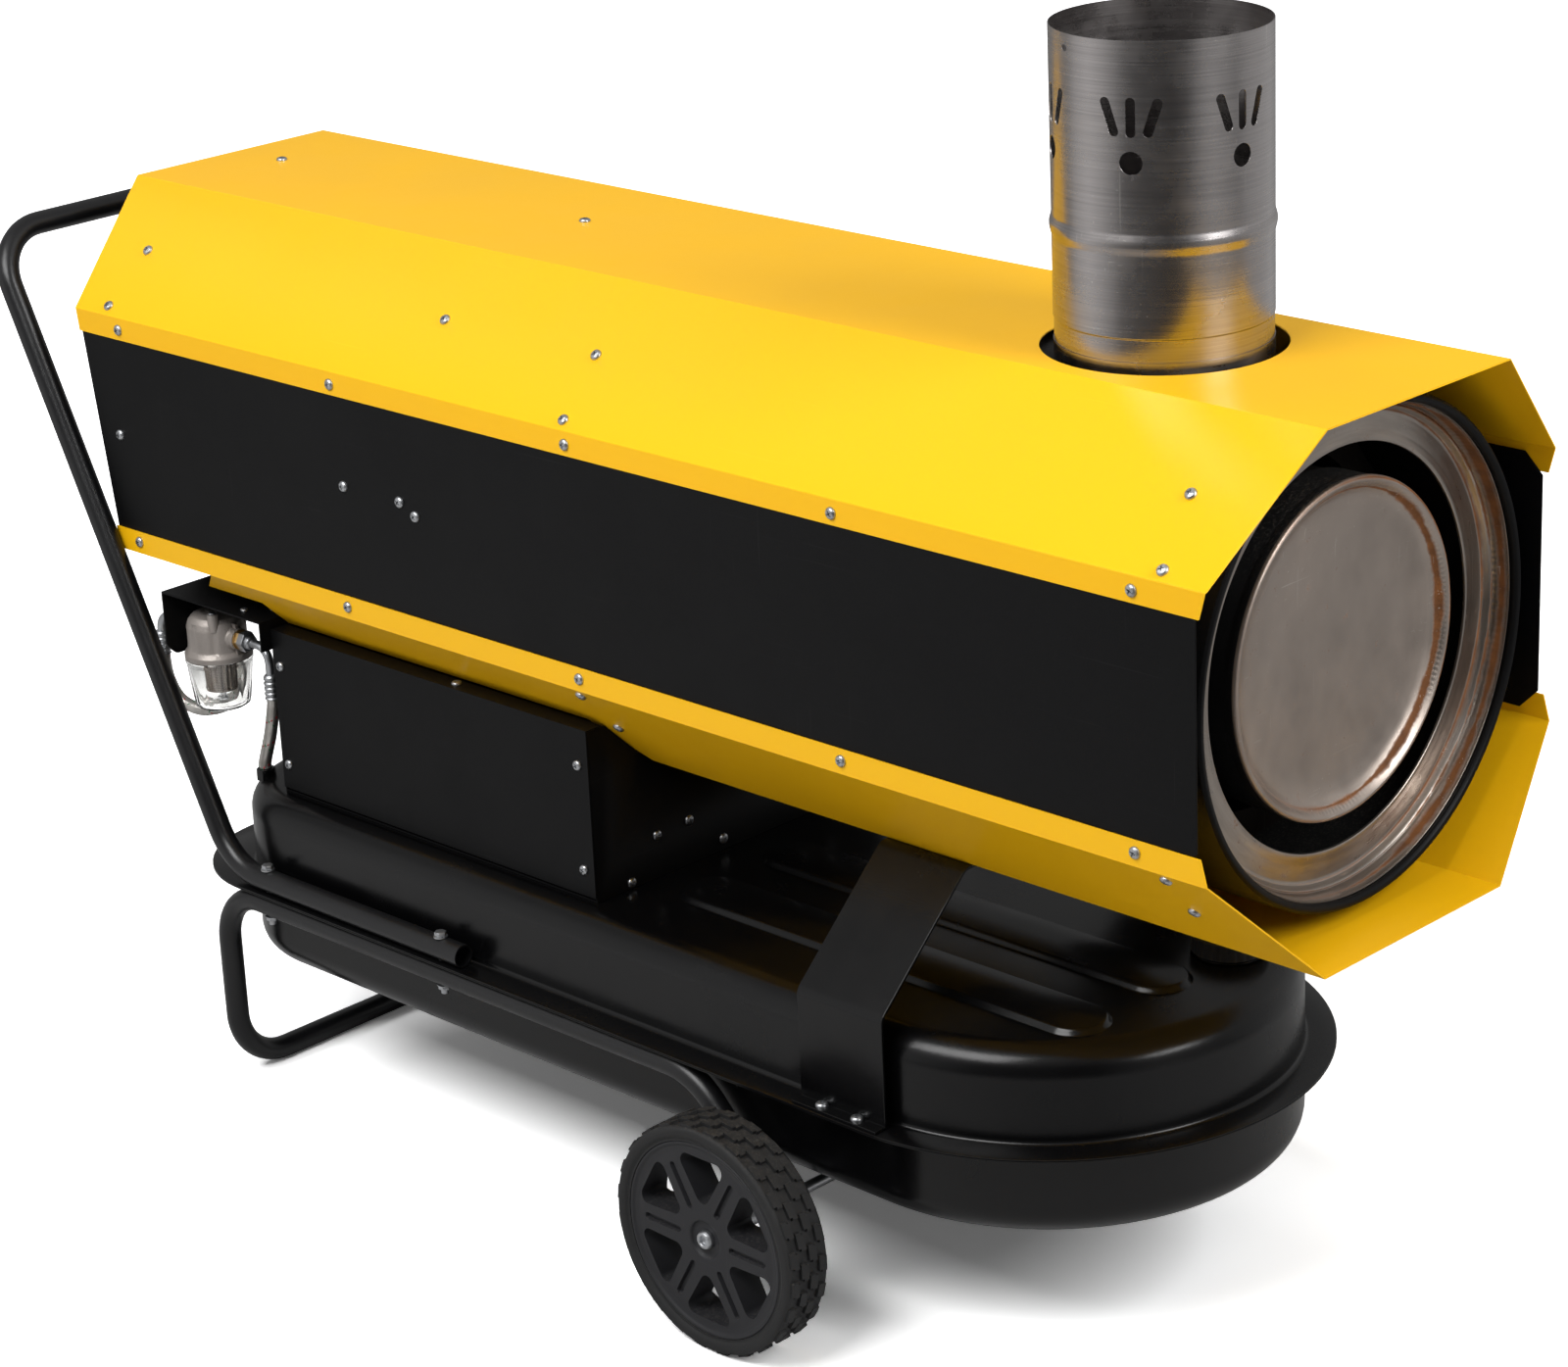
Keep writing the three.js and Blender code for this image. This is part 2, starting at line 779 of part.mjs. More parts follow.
const exchangerBody = aboutDuct(
  [
    [exchangerInnerRadius, exchangerFrontBehind],
    [exchangerOuterRadius, exchangerFrontBehind],
    [exchangerOuterRadius, exchangerRearBehind],
    [exchangerInnerRadius, exchangerRearBehind],
  ],
  24,
);
const exchangerRoom = aboutDuct(
  [
    [exchangerInnerRadius + exchangerSheet, exchangerFrontBehind + exchangerSheet],
    [exchangerOuterRadius - exchangerSheet, exchangerFrontBehind + exchangerSheet],
    [exchangerOuterRadius - exchangerSheet, exchangerRearBehind - exchangerSheet],
    [exchangerInnerRadius + exchangerSheet, exchangerRearBehind - exchangerSheet],
  ],
  24,
);
const crossoverStubs = crossovers.map((b) => downRod(crossoverRadius, b, chamberRadius - 5, exchangerInnerRadius + 1));
const crossoverHoles = crossovers.map((b) => downRod(crossoverBore, b, chamberRadius - 10, exchangerInnerRadius + 5));
const chamberRoom = aboutDuct(
  [
    [0, exchangerFrontBehind - 5],
    [chamberRadius + seatGap, exchangerFrontBehind - 5],
    [chamberRadius + seatGap, exchangerRearBehind + 5],
    [0, exchangerRearBehind + 5],
  ],
  24,
);
const fluePort = rod(
  "Z",
  flueRadius - 2 * flueSheet,
  level(exchangerInnerRadius + exchangerSheet + seatGap),
  level(exchangerOuterRadius + 5),
  28,
);
addPiece(
  "heat_exchanger",
  cut(
    join(exchangerBody, ...crossoverStubs),
    exchangerRoom,
    ...crossoverHoles,
    chamberRoom,
    fluePort.translate(placeX(flueBehind), 0, 0),
  ),
  rawSteel,
);

// A band round the exchanger with four arms out to the duct.
function spider(behind) {
  const bandOuter = exchangerOuterRadius + seatGap + spiderSheet;
  const band = aboutDuct(
    [
      [exchangerOuterRadius + seatGap, behind],
      [bandOuter, behind],
      [bandOuter, behind + spiderWidth],
      [exchangerOuterRadius + seatGap, behind + spiderWidth],
    ],
    24,
  );
  const arms = [45, 135, 225, 315].map((angle) =>
    box(
      placeX(behind + spiderWidth),
      placeX(behind),
      bandOuter - 1,
      ductRoomRadius,
      -spiderSheet / 2,
      spiderSheet / 2,
    )
      .rotateX(radians(angle))
      .translate(0, 0, axisHeight),
  );
  return join(band, ...arms);
}
addPiece("front_spider", spider(spiderFrontBehind), rawSteel);
addPiece("rear_spider", spider(spiderRearBehind), rawSteel);

// An upright saddle on a foot, between the floor of the lower cover and the duct.
const cradleBottom = level(-casingHalfHeight + coverSheet + seatGap);
const cradleArc = ductRadius + seatGap;
const cradleEdge = Math.asin(cradleHalfWidth / cradleArc);
const cradleShape = new THREE.Shape();
cradleShape.moveTo(-cradleHalfWidth, cradleBottom);
cradleShape.lineTo(cradleHalfWidth, cradleBottom);
cradleShape.absarc(0, axisHeight, cradleArc, cradleEdge - Math.PI / 2, -cradleEdge - Math.PI / 2, true);
addPiece(
  "front_cradle",
  join(
    alongX(cradleShape, placeX(cradleBehind + cradleSheet), placeX(cradleBehind), 10),
    box(
      placeX(cradleBehind + cradleFoot),
      placeX(cradleBehind),
      -cradleHalfWidth,
      cradleHalfWidth,
      cradleBottom,
      cradleBottom + cradleSheet,
    ),
  ),
  zinc,
);

// ---------------------------------------------------------------- flue

const flueX = placeX(flueBehind);
const flueFacets = 28;
const spigotRadius = flueRadius - flueSheet - seatGap;
const socketLine = [
  [spigotRadius - flueSheet, level(0)],
  [flueRadius, level(0)],
  [flueRadius, level(flueJointLevel)],
  [spigotRadius, level(flueJointLevel)],
  [spigotRadius, level(flueJointLevel + flueSpigot)],
  [spigotRadius - flueSheet, level(flueJointLevel + flueSpigot)],
];
const exchangerSaddle = aboutDuct(
  [
    [0, flueBehind - 2 * flueRadius],
    [exchangerOuterRadius + seatGap, flueBehind - 2 * flueRadius],
    [exchangerOuterRadius + seatGap, flueBehind + 2 * flueRadius],
    [0, flueBehind + 2 * flueRadius],
  ],
  24,
);
addPiece(
  "flue_socket",
  cut(revolve(socketLine, "Z", flueFacets).translate(flueX, 0, 0), exchangerSaddle),
  stainless,
);

const beadLow = flueBeadLevel - flueBeadHeight / 2;
const beadHigh = flueBeadLevel + flueBeadHeight / 2;
const flueOuterLine = [
  [flueRadius, level(flueJointLevel + seatGap)],
  [flueRadius, level(beadLow)],
  [flueRadius + flueBeadProud, level(flueBeadLevel)],
  [flueRadius, level(beadHigh)],
  [flueRadius, level(flueTopLevel)],
];
const flueInnerLine = flueOuterLine.map(([r, height]) => [r - flueSheet, height]).reverse();
const flueWall = revolve([...flueOuterLine, ...flueInnerLine], "Z", flueFacets).translate(flueX, 0, 0);

// One group of air slots: three in a fan above a round hole.
function ventCutters(turn) {
  const half = ventSlotWidth / 2;
  const run = ventSlotLength / 2 - half;
  const slot = roundedHull([[0, run], [0, -run]], half);
  const reach = 2 * flueBeadProud + 10;
  const toWall = flueRadius - reach / 2;
  const outwards = (geometry) =>
    geometry.rotateX(Math.PI / 2).rotateZ(Math.PI / 2).translate(toWall, 0, 0);
  const slots = [-1, 0, 1].map((side) => {
    const flat = extrude(slot, reach, 2).rotateZ(radians(-side * ventSlotTilt));
    return outwards(flat).translate(0, side * ventSlotSpread, level(ventSlotLevel));
  });
  const hole = rod("X", ventHoleRadius, toWall, toWall + reach, 8).translate(0, 0, level(ventHoleLevel));
  return [...slots, hole].map((cutter) => cutter.rotateZ(turn).translate(flueX, 0, 0));
}
const vents = Array.from({ length: ventGroups }, (_, i) =>
  ventCutters(radians(ventGroupTurn + (360 * i) / ventGroups)),
);
addPiece("flue_pipe", cut(flueWall, ...vents.flat()), stainless);

// ---------------------------------------------------------------- intake: guard, fan, motor

const guardOuter = ductRoomRadius;
const wireRadius = guardWire / 2;
const guardPitch = (guardOuter - wireRadius - guardHubRadius) / (guardRings - 1);
const guardHoops = Array.from({ length: guardRings }, (_, i) => {
  const middle = guardHubRadius + i * guardPitch;
  return aboutDuct(
    regularPolygon(wireRadius, 4).map((p) => [middle + p.x, guardBehind + p.y]),
    16,
  );
});
const guardBars = Array.from({ length: guardSpokes }, (_, i) =>
  rod("Z", wireRadius * 0.9, guardHubRadius - wireRadius, guardOuter - wireRadius, 4)
    .rotateX((2 * Math.PI * (i + 0.5)) / guardSpokes)
    .translate(placeX(guardBehind), 0, axisHeight),
);
addPiece("fan_guard", join(...guardHoops, ...guardBars), blackPaint);

// A blade: thin plate, widest at its tip, turned less the further out it is.
function fanBlade(angle) {
  const from = fanHubRadius - 4;
  const span = fanRadius - from;
  const blade = new THREE.BoxGeometry(fanBladeSheet, fanChord, span, 1, 1, 4);
  const corners = blade.attributes.position;
  for (let i = 0; i < corners.count; i += 1) {
    const share = corners.getZ(i) / span + 0.5;
    const pitch = radians(THREE.MathUtils.lerp(fanRootPitch, fanTipPitch, share));
    const width = THREE.MathUtils.lerp(0.7, 1, share);
    const across = corners.getX(i);
    const along = corners.getY(i) * width;
    corners.setXYZ(
      i,
      across * Math.cos(pitch) + along * Math.sin(pitch),
      along * Math.cos(pitch) - across * Math.sin(pitch),
      from + share * span * (fanRadius / Math.hypot(fanRadius, fanChord / 2)),
    );
  }
  return blade.rotateX(angle).translate(placeX(fanBehind), 0, axisHeight);
}
const fanMotorRear = fanMotorBehind + fanMotorLength;
const fanHub = aboutDuct(
  [
    [0, fanBehind - fanHubLength / 2],
    [fanHubRadius, fanBehind - fanHubLength / 2],
    [fanHubRadius, fanBehind + fanHubLength / 2 - 6],
    [fanHubRadius - 6, fanBehind + fanHubLength / 2],
    [0, fanBehind + fanHubLength / 2],
  ],
  20,
);
const shaftDepth = 30;
const fanShaft = aboutDuct(
  [
    [0, fanMotorRear - shaftDepth],
    [fanShaftRadius, fanMotorRear - shaftDepth],
    [fanShaftRadius, fanBehind],
    [0, fanBehind],
  ],
  12,
);
const blades = Array.from({ length: fanBlades }, (_, i) => fanBlade((2 * Math.PI * i) / fanBlades));
addPiece("fan_impeller", join(fanHub, fanShaft, ...blades), blackPlastic);

addPiece(
  "fan_motor",
  aboutDuct(
    [
      [0, fanMotorBehind],
      [fanMotorRadius - 14, fanMotorBehind],
      [fanMotorRadius, fanMotorBehind + 10],
      [fanMotorRadius, fanMotorRear - 8],
      [fanMotorRadius - 14, fanMotorRear],
      [fanShaftRadius + runningGap, fanMotorRear],
      [fanShaftRadius + runningGap, fanMotorRear - shaftDepth - 2],
      [0, fanMotorRear - shaftDepth - 2],
    ],
    24,
  ),
  castMetal,
);
const clampFront = fanMotorBehind + fanMotorLength / 2 - motorMountWidth / 2;
const clampInner = fanMotorRadius + seatGap;
const clampBand = aboutDuct(
  [
    [clampInner, clampFront],
    [clampInner + motorArmSheet, clampFront],
    [clampInner + motorArmSheet, clampFront + motorMountWidth],
    [clampInner, clampFront + motorMountWidth],
  ],
  24,
);
const motorArms = [0, 90, 180, 270].map((angle) =>
  box(
    placeX(clampFront + motorMountWidth),
    placeX(clampFront),
    clampInner + motorArmSheet / 2,
    ductRoomRadius - seatGap,
    -motorArmSheet / 2,
    motorArmSheet / 2,
  )
    .rotateX(radians(angle + 45))
    .translate(0, 0, axisHeight),
);
addPiece("motor_mount", join(clampBand, ...motorArms), zinc);

// ---------------------------------------------------------------- burner

const blastFrontBehind = chamberRearBehind - blastTubeReach;
const blastRearBehind = chamberRearBehind + blastTubeNeck;
const blastBore = blastTubeRadius - blastTubeSheet;
addPiece(
  "blast_tube",
  aboutDuct(
    [
      [blastBore, blastFrontBehind],
      [blastTubeRadius, blastFrontBehind],
      [blastTubeRadius, chamberRearBehind + seatGap],
      [blastFlangeRadius, chamberRearBehind + seatGap],
      [blastFlangeRadius, chamberRearBehind + seatGap + blastFlangeSheet],
      [blastTubeRadius, chamberRearBehind + seatGap + blastFlangeSheet],
      [blastTubeRadius, blastRearBehind],
      [blastBore, blastRearBehind],
    ],
    24,
  ),
  stainless,
);

// Blower scroll: a drum with a square throat towards the blast tube, open at the back for air.
const blowerX = placeX(blowerBehind);
const blowerHeight = level(burnerLevel);
const throatX = placeX(blastRearBehind + seatGap);
function scroll(radius, halfWidth, throatHalf, reachX) {
  return join(
    rod("Y", radius, -halfWidth, halfWidth, 28).translate(blowerX, 0, blowerHeight),
    box(blowerX, reachX, -halfWidth, halfWidth, blowerHeight - throatHalf, blowerHeight + throatHalf),
  );
}
const scrollRoom = scroll(
  blowerRadius - blowerWall,
  blowerWidth / 2 - blowerWall,
  blowerThroat - blowerWall,
  throatX - blowerWall,
);
const motorSide = blowerWidth / 2;
const blastOpening = rod("X", blastBore, throatX - blowerWall - 2, throatX + 2, 20).translate(0, 0, blowerHeight);
const airSlot = box(
  blowerX - blowerRadius - 5,
  blowerX - blowerRadius / 2,
  -blowerWidth / 4,
  blowerWidth / 4,
  blowerHeight - blowerWall * 4,
  blowerHeight + blowerWall * 4,
);
const shaftHole = rod("Y", blowerShaftRadius + runningGap, -motorSide - 5, 0, 16).translate(
  blowerX,
  0,
  blowerHeight,
);
addPiece(
  "burner_housing",
  cut(
    scroll(blowerRadius, blowerWidth / 2, blowerThroat, throatX),
    scrollRoom,
    blastOpening,
    airSlot,
    shaftHole,
  ),
  castMetal,
);

const wheelHalf = blowerWheelWidth / 2;
const burnerShaftDepth = 25;
const blowerDisc = rod("Y", blowerWheelRadius, wheelHalf - 3, wheelHalf, 16);
const blowerRim = revolve(
  [
    [blowerWheelRadius - 14, -wheelHalf],
    [blowerWheelRadius, -wheelHalf],
    [blowerWheelRadius, -wheelHalf + 3],
    [blowerWheelRadius - 14, -wheelHalf + 3],
  ],
  "Y",
  16,
);
const blowerVaneSet = Array.from({ length: blowerVanes }, (_, i) =>
  box(blowerWheelRadius - 13, blowerWheelRadius - 2, -wheelHalf + 1, wheelHalf - 1, -1, 1).rotateY(
    (2 * Math.PI * i) / blowerVanes,
  ),
);
const blowerShaft = rod("Y", blowerShaftRadius, -motorSide - burnerShaftDepth, wheelHalf, 12);
addPiece(
  "burner_wheel",
  join(blowerDisc, blowerRim, ...blowerVaneSet, blowerShaft).translate(blowerX, 0, blowerHeight),
  zinc,
);

const burnerMotorInner = -motorSide - seatGap;
const burnerMotorOuter = burnerMotorInner - burnerMotorLength;
addPiece(
  "burner_motor",
  revolve(
    [
      [0, burnerMotorInner - burnerShaftDepth - 2],
      [blowerShaftRadius + runningGap, burnerMotorInner - burnerShaftDepth - 2],
      [blowerShaftRadius + runningGap, burnerMotorInner],
      [burnerMotorRadius + burnerMotorFlange, burnerMotorInner],
      [burnerMotorRadius + burnerMotorFlange, burnerMotorInner - burnerMotorFlangeSheet],
      [burnerMotorRadius, burnerMotorInner - burnerMotorFlangeSheet],
      [burnerMotorRadius, burnerMotorOuter + burnerMotorShoulder],
      [burnerMotorRadius - burnerMotorShoulder, burnerMotorOuter],
      [0, burnerMotorOuter],
    ],
    "Y",
    24,
  ).translate(blowerX, 0, blowerHeight),
  blackPaint,
);
const pumpInner = motorSide + seatGap;
addPiece(
  "fuel_pump",
  join(
    rod("Y", pumpRadius, pumpInner, pumpInner + pumpLength, 20),
    rod("Z", pumpRadius / 3, -pumpRadius - 14, 0, 10).translate(0, pumpInner + pumpLength / 2, 0),
  ).translate(blowerX, 0, blowerHeight),
  castMetal,
);
const transformerBottom = blowerHeight + blowerThroat + seatGap;
const transformerBlock = box(
  throatX - transformerLength,
  throatX,
  -transformerWidth / 2,
  transformerWidth / 2,
  transformerBottom,
  transformerBottom + transformerHeight,
);
const drumRelief = rod("Y", blowerRadius + seatGap, -blowerWidth, blowerWidth, 28);
addPiece(
  "ignition_transformer",
  cut(transformerBlock, drumRelief.translate(blowerX, 0, blowerHeight)),
  blackPlastic,
);

// ---------------------------------------------------------------- tank

// Plan of the tank: a round front, straight sides and a rear with round corners.
function tankOutline(halfWidth, frontBehind, rearBehind, rearRadius, inset = 0) {
  const arc = (x, y, radius, from, turn, steps) =>
    Array.from({ length: steps + 1 }, (_, i) => {
      const angle = radians(from + (turn * i) / steps);
      return point(x + (radius - inset) * Math.cos(angle), y + (radius - inset) * Math.sin(angle));
    });
  const rearX = placeX(rearBehind - rearRadius);
  const rearY = halfWidth - rearRadius;
  return [
    ...arc(placeX(frontBehind + halfWidth), 0, halfWidth, -90, 180, 14),
    ...arc(rearX, rearY, rearRadius, 90, 90, 4),
    ...arc(rearX, -rearY, rearRadius, 180, 90, 4),
  ];
}
const flangeOutline = () => tankOutline(flangeHalfWidth, flangeFrontBehind, flangeRearBehind, flangeRearRadius);
const shellOutline = (inset) =>
  tankOutline(shellHalfWidth, shellFrontBehind, shellRearBehind, shellRearRadius, inset);
const plate = (outline, fromHeight, toHeight) =>
  stack([
    { outline, height: fromHeight },
    { outline, height: toHeight },
  ]);

// A pressed half of the tank, from its seam to its closed end, as a solid.
function pressing(seam, end, bend, inset) {
  const way = Math.sign(end - seam);
  const steps = 3;
  const curve = Array.from({ length: steps + 1 }, (_, i) => {
    const angle = (Math.PI / 2) * (i / steps);
    return {
      outline: shellOutline(inset + bend * (1 - Math.cos(angle))),
      height: end - way * bend * (1 - Math.sin(angle)),
    };
  });
  const levels = [{ outline: shellOutline(inset), height: seam }, ...curve];
  return stack(way > 0 ? levels : levels.reverse());
}

const boltPlaces = [boltFrontBehind, boltRearBehind].flatMap((behind) => [
  [behind, -1],
  [behind, 1],
]);
const boltHoles = boltPlaces.map(([behind, side]) =>
  rod("Z", boltRadius + runningGap, 0, crossbarHeight / 2, 6).translate(
    placeX(behind),
    side * tubeHalfTrack,
    0,
  ),
);

const seamTopHeight = flangeHeight - tankSheet;
const ribOutline = (inset) =>
  tankOutline(ribWidth / 2, ribFrontBehind, ribRearBehind, ribWidth / 2 - 1, inset);
const ribs = [-1, 0].map((place) =>
  stack([
    { outline: ribOutline(0), height: tankTopHeight - tankSheet / 2 },
    { outline: ribOutline(ribHeight), height: tankTopHeight + ribHeight },
  ]).translate(0, place * ribPitch, 0),
);
const neckTopHeight = tankTopHeight + fillerNeckHeight;
const filler = (radius, toHeight) =>
  rod("Z", radius, tankTopHeight - tankSheet, toHeight, 28).translate(placeX(fillerBehind), fillerOffset, 0);
const tankUnion = rod("Z", tankUnionRadius, tankTopHeight - shoulderRadius / 2, tankUnionHeight, 6).translate(
  placeX(tankUnionBehind),
  tankUnionOffset,
  0,
);
addPiece(
  "tank_upper_shell",
  cut(
    join(
      pressing(seamTopHeight, tankTopHeight, shoulderRadius, 0),
      plate(flangeOutline(), seamTopHeight, flangeHeight),
      ...ribs,
      filler(fillerNeckRadius, neckTopHeight),
      tankUnion,
    ),
    pressing(seamTopHeight - 1, tankTopHeight - tankSheet, shoulderRadius - tankSheet, tankSheet),
    filler(fillerNeckRadius - fillerWall, neckTopHeight + 1).translate(0, 0, -1),
    filler(fillerNeckRadius - fillerWall, neckTopHeight + 1),
    ...boltHoles,
  ),
  tankPaint,
);
addPiece(
  "tank_lower_shell",
  cut(
    join(
      pressing(seamBottomHeight + tankSheet, tankBottomHeight, bottomRadius, 0),
      plate(flangeOutline(), seamBottomHeight, seamBottomHeight + tankSheet),
    ),
    pressing(seamBottomHeight + tankSheet + 1, tankBottomHeight + tankSheet, bottomRadius - tankSheet, tankSheet),
    ...boltHoles,
  ),
  tankPaint,
);

const capBottomHeight = tankTopHeight + fillerCapLift;
const capTopHeight = capBottomHeight + fillerCapHeight;
addPiece(
  "filler_cap",
  revolve(
    [
      [0, neckTopHeight + runningGap],
      [fillerNeckRadius + runningGap, neckTopHeight + runningGap],
      [fillerNeckRadius + runningGap, capBottomHeight],
      [fillerCapRadius, capBottomHeight],
      [fillerCapRadius, capTopHeight - 4],
      [fillerCapRadius - 4, capTopHeight],
      [0, capTopHeight],
    ],
    "Z",
    24,
  ).translate(placeX(fillerBehind), fillerOffset, 0),
  blackPlastic,
);
const gaugeBottomHeight = tankTopHeight + seatGap;
addPiece(
  "fuel_gauge",
  revolve(
    [
      [0, gaugeBottomHeight],
      [gaugeRadius, gaugeBottomHeight],
      [gaugeRadius, gaugeBottomHeight + gaugeHeight / 2],
      [gaugeRadius - 4, gaugeBottomHeight + gaugeHeight],
      [0, gaugeBottomHeight + gaugeHeight],
    ],
    "Z",
    24,
  ).translate(placeX(gaugeBehind), gaugeOffset, 0),
  blackPlastic,
);
const drainTop = tankBottomHeight - seatGap;
addPiece(
  "drain_plug",
  rod("Z", drainRadius, drainTop - drainLength, drainTop, 6).translate(placeX(drainBehind), 0, 0),
  zinc,
);

// ---------------------------------------------------------------- front support

const hoopFootHeight = flangeHeight + seatGap;
const hoopTopHeight = level(-casingHalfHeight) - seatGap - hoopSheet;
const hoopFootHalf = flangeHalfWidth - 2;
const hoopLine = [
  [-hoopFootHalf, hoopFootHeight],
  [-hoopHalfWidth, hoopFootHeight],
  [-hoopHalfWidth, hoopBendHeight],
  [-hoopTopHalfWidth, hoopTopHeight],
  [hoopTopHalfWidth, hoopTopHeight],
  [hoopHalfWidth, hoopBendHeight],
  [hoopHalfWidth, hoopFootHeight],
  [hoopFootHalf, hoopFootHeight],
];
addPiece(
  "front_support",
  alongX(sheetSection(hoopLine, hoopSheet), placeX(hoopRearBehind), placeX(hoopFrontBehind)),
  tankPaint,
);

// ---------------------------------------------------------------- control box

const boxBottomHeight = tankTopHeight + seatGap;
const wallTopHeight = boxTopHeight - boxSheet - seatGap;
const wallHalfWidth = boxHalfWidth - boxSheet - seatGap;
const boxLine = [
  [placeX(boxFrontBehind), wallTopHeight],
  [placeX(boxFrontBehind), boxBottomHeight],
  [placeX(boxRearBehind), boxBottomHeight],
  [placeX(boxRearBehind), wallTopHeight],
];
const ductSaddle = aboutDuct(
  [
    [0, boxFrontBehind - 10],
    [ductRadius + seatGap, boxFrontBehind - 10],
    [ductRadius + seatGap, boxRearBehind + 10],
    [0, boxRearBehind + 10],
  ],
  ductFacets,
);
const resetY = panelPlateOffset + resetPlace;
const resetHole = (radius) =>
  rod("X", radius, placeX(boxRearBehind + 10), placeX(boxRearBehind - 10), 16).translate(
    0,
    resetY,
    panelPlateMiddle,
  );
// Slots in the front wall, where the ends of the lower cover's slanted sides come through.
const slotGap = 2 * seatGap;
const coverSlots = [-1, 1].map((side) => {
  const line = [
    [side * (flatHalfWidth + slotGap * slantSlope), level(-casingHalfHeight) - slotGap],
    [side * (casingHalfWidth + slotGap * slantSlope), level(-foldLevel) - slotGap],
  ];
  const slot = sheetSection(line, side * (coverSheet + 2 * slotGap));
  return alongX(slot, placeX(boxFrontBehind + 2 * boxWall), placeX(boxFrontBehind - boxWall));
});
addPiece(
  "control_box",
  cut(
    alongY(sheetSection(boxLine, -boxWall), -wallHalfWidth, wallHalfWidth),
    ductSaddle,
    resetHole(resetRadius + 2),
    ...coverSlots,
  ),
  blackPaint,
);

function boxCover(side) {
  const line = [
    [side * boxHalfWidth, tankTopHeight + boxCoverLift],
    [side * boxHalfWidth, boxTopHeight],
    [side * (boxHalfWidth - boxCoverReturn), boxTopHeight],
  ];
  return alongX(sheetSection(line, side * boxSheet), placeX(boxRearBehind), placeX(boxFrontBehind));
}
addPiece("control_cover_left", boxCover(-1), blackPaint);
addPiece("control_cover_right", boxCover(1), blackPaint);

const plateFaceX = placeX(boxRearBehind + seatGap + panelPlateSheet);
addPiece(
  "control_panel",
  cut(
    box(
      plateFaceX,
      placeX(boxRearBehind + seatGap),
      panelPlateOffset - panelPlateWidth / 2,
      panelPlateOffset + panelPlateWidth / 2,
      panelPlateBottom,
      panelPlateTop,
    ),
    resetHole(resetRadius + runningGap),
  ),
  castMetal,
);

const onPanel = (geometry, place) => geometry.translate(0, panelPlateOffset + place, panelPlateMiddle);
const faceX = plateFaceX - seatGap;
const switchBase = 5;
addPiece(
  "main_switch",
  onPanel(
    join(
      rod("X", switchRadius, faceX - switchBase, faceX, 24),
      box(faceX - switchLength, faceX, -switchRadius / 4, switchRadius / 4, -switchRadius + 2, switchRadius - 2),
    ),
    switchPlace,
  ),
  redPlastic,
);
const resetFaceX = plateFaceX - resetProud;
addPiece(
  "reset_button",
  onPanel(rod("X", resetRadius, resetFaceX, resetFaceX + resetLength, 16), resetPlace),
  redPlastic,
);
addPiece(
  "pilot_lamp",
  onPanel(
    revolve(
      [
        [0, faceX - lampLength],
        [lampRadius - 3, faceX - lampLength + 1],
        [lampRadius, faceX - lampLength + 4],
        [lampRadius, faceX],
        [0, faceX],
      ].map(([radius, x]) => [radius, x]),
      "X",
      16,
    ),
    lampPlace,
  ),
  redPlastic,
);
addPiece(
  "thermostat_socket",
  onPanel(
    revolve(
      [
        [0, faceX],
        [socketRadius, faceX],
        [socketRadius, faceX - socketLength],
        [socketRadius - 4, faceX - socketLength],
        [socketRadius - 4, faceX - 4],
        [0, faceX - 4],
      ],
      "X",
      20,
    ),
    socketPlace,
  ),
  blackPlastic,
);
addPiece(
  "power_inlet",
  onPanel(
    revolve(
      [
        [0, faceX],
        [glandRadius, faceX],
        [glandRadius, faceX - glandLength * 0.6],
        [glandRadius - 3, faceX - glandLength],
        [glandBore, faceX - glandLength],
        [glandBore, faceX - 4],
        [0, faceX - 4],
      ],
      "X",
      16,
    ),
    glandPlace,
  ),
  blackPlastic,
);

// ---------------------------------------------------------------- tube frame, axle, wheels

const framePoint = (behind, side, height) => new THREE.Vector3(placeX(behind), side * tubeHalfTrack, height);
const handleSide = (side) => [
  framePoint(handleEndBehind, side, handleTubeHeight),
  framePoint(handleBendBehind, side, handleTubeHeight),
  framePoint(crossbarBehind, side, crossbarHeight),
];
const handlePath = new BentPath(
  [...handleSide(-1), ...handleSide(1).reverse()],
  [handleBendRadius, crossbarBendRadius, crossbarBendRadius, handleBendRadius],
);
addPiece(
  "handle_tube",
  cut(tube(handlePath, handlePath.steps, tubeRadius, 12, tubeBore, 6), ...boltHoles),
  tankPaint,
);

// The front ends of the leg frame slope down to the axle and end just past it.
const legSlope = new THREE.Vector2(legFrontBehind - axleBehind, legTubeHeight - wheelRadius).normalize();
const legSide = (side) => [
  framePoint(axleBehind - legTail * legSlope.x, side, wheelRadius - legTail * legSlope.y),
  framePoint(legFrontBehind, side, legTubeHeight),
  framePoint(legBendBehind, side, legTubeHeight),
  framePoint(legBendBehind, side, tubeRadius),
];
const legPath = new BentPath(
  [...legSide(-1), ...legSide(1).reverse()],
  [legFrontRadius, legBendRadius, legBendRadius, legBendRadius, legBendRadius, legFrontRadius],
);
const axleHole = rod("Y", axleRadius + runningGap, -wheelOuter, wheelOuter, 10).translate(
  placeX(axleBehind),
  0,
  wheelRadius,
);
addPiece(
  "leg_frame",
  cut(tube(legPath, legPath.steps, tubeRadius, 8, tubeBore, 6), axleHole, ...boltHoles),
  tankPaint,
);

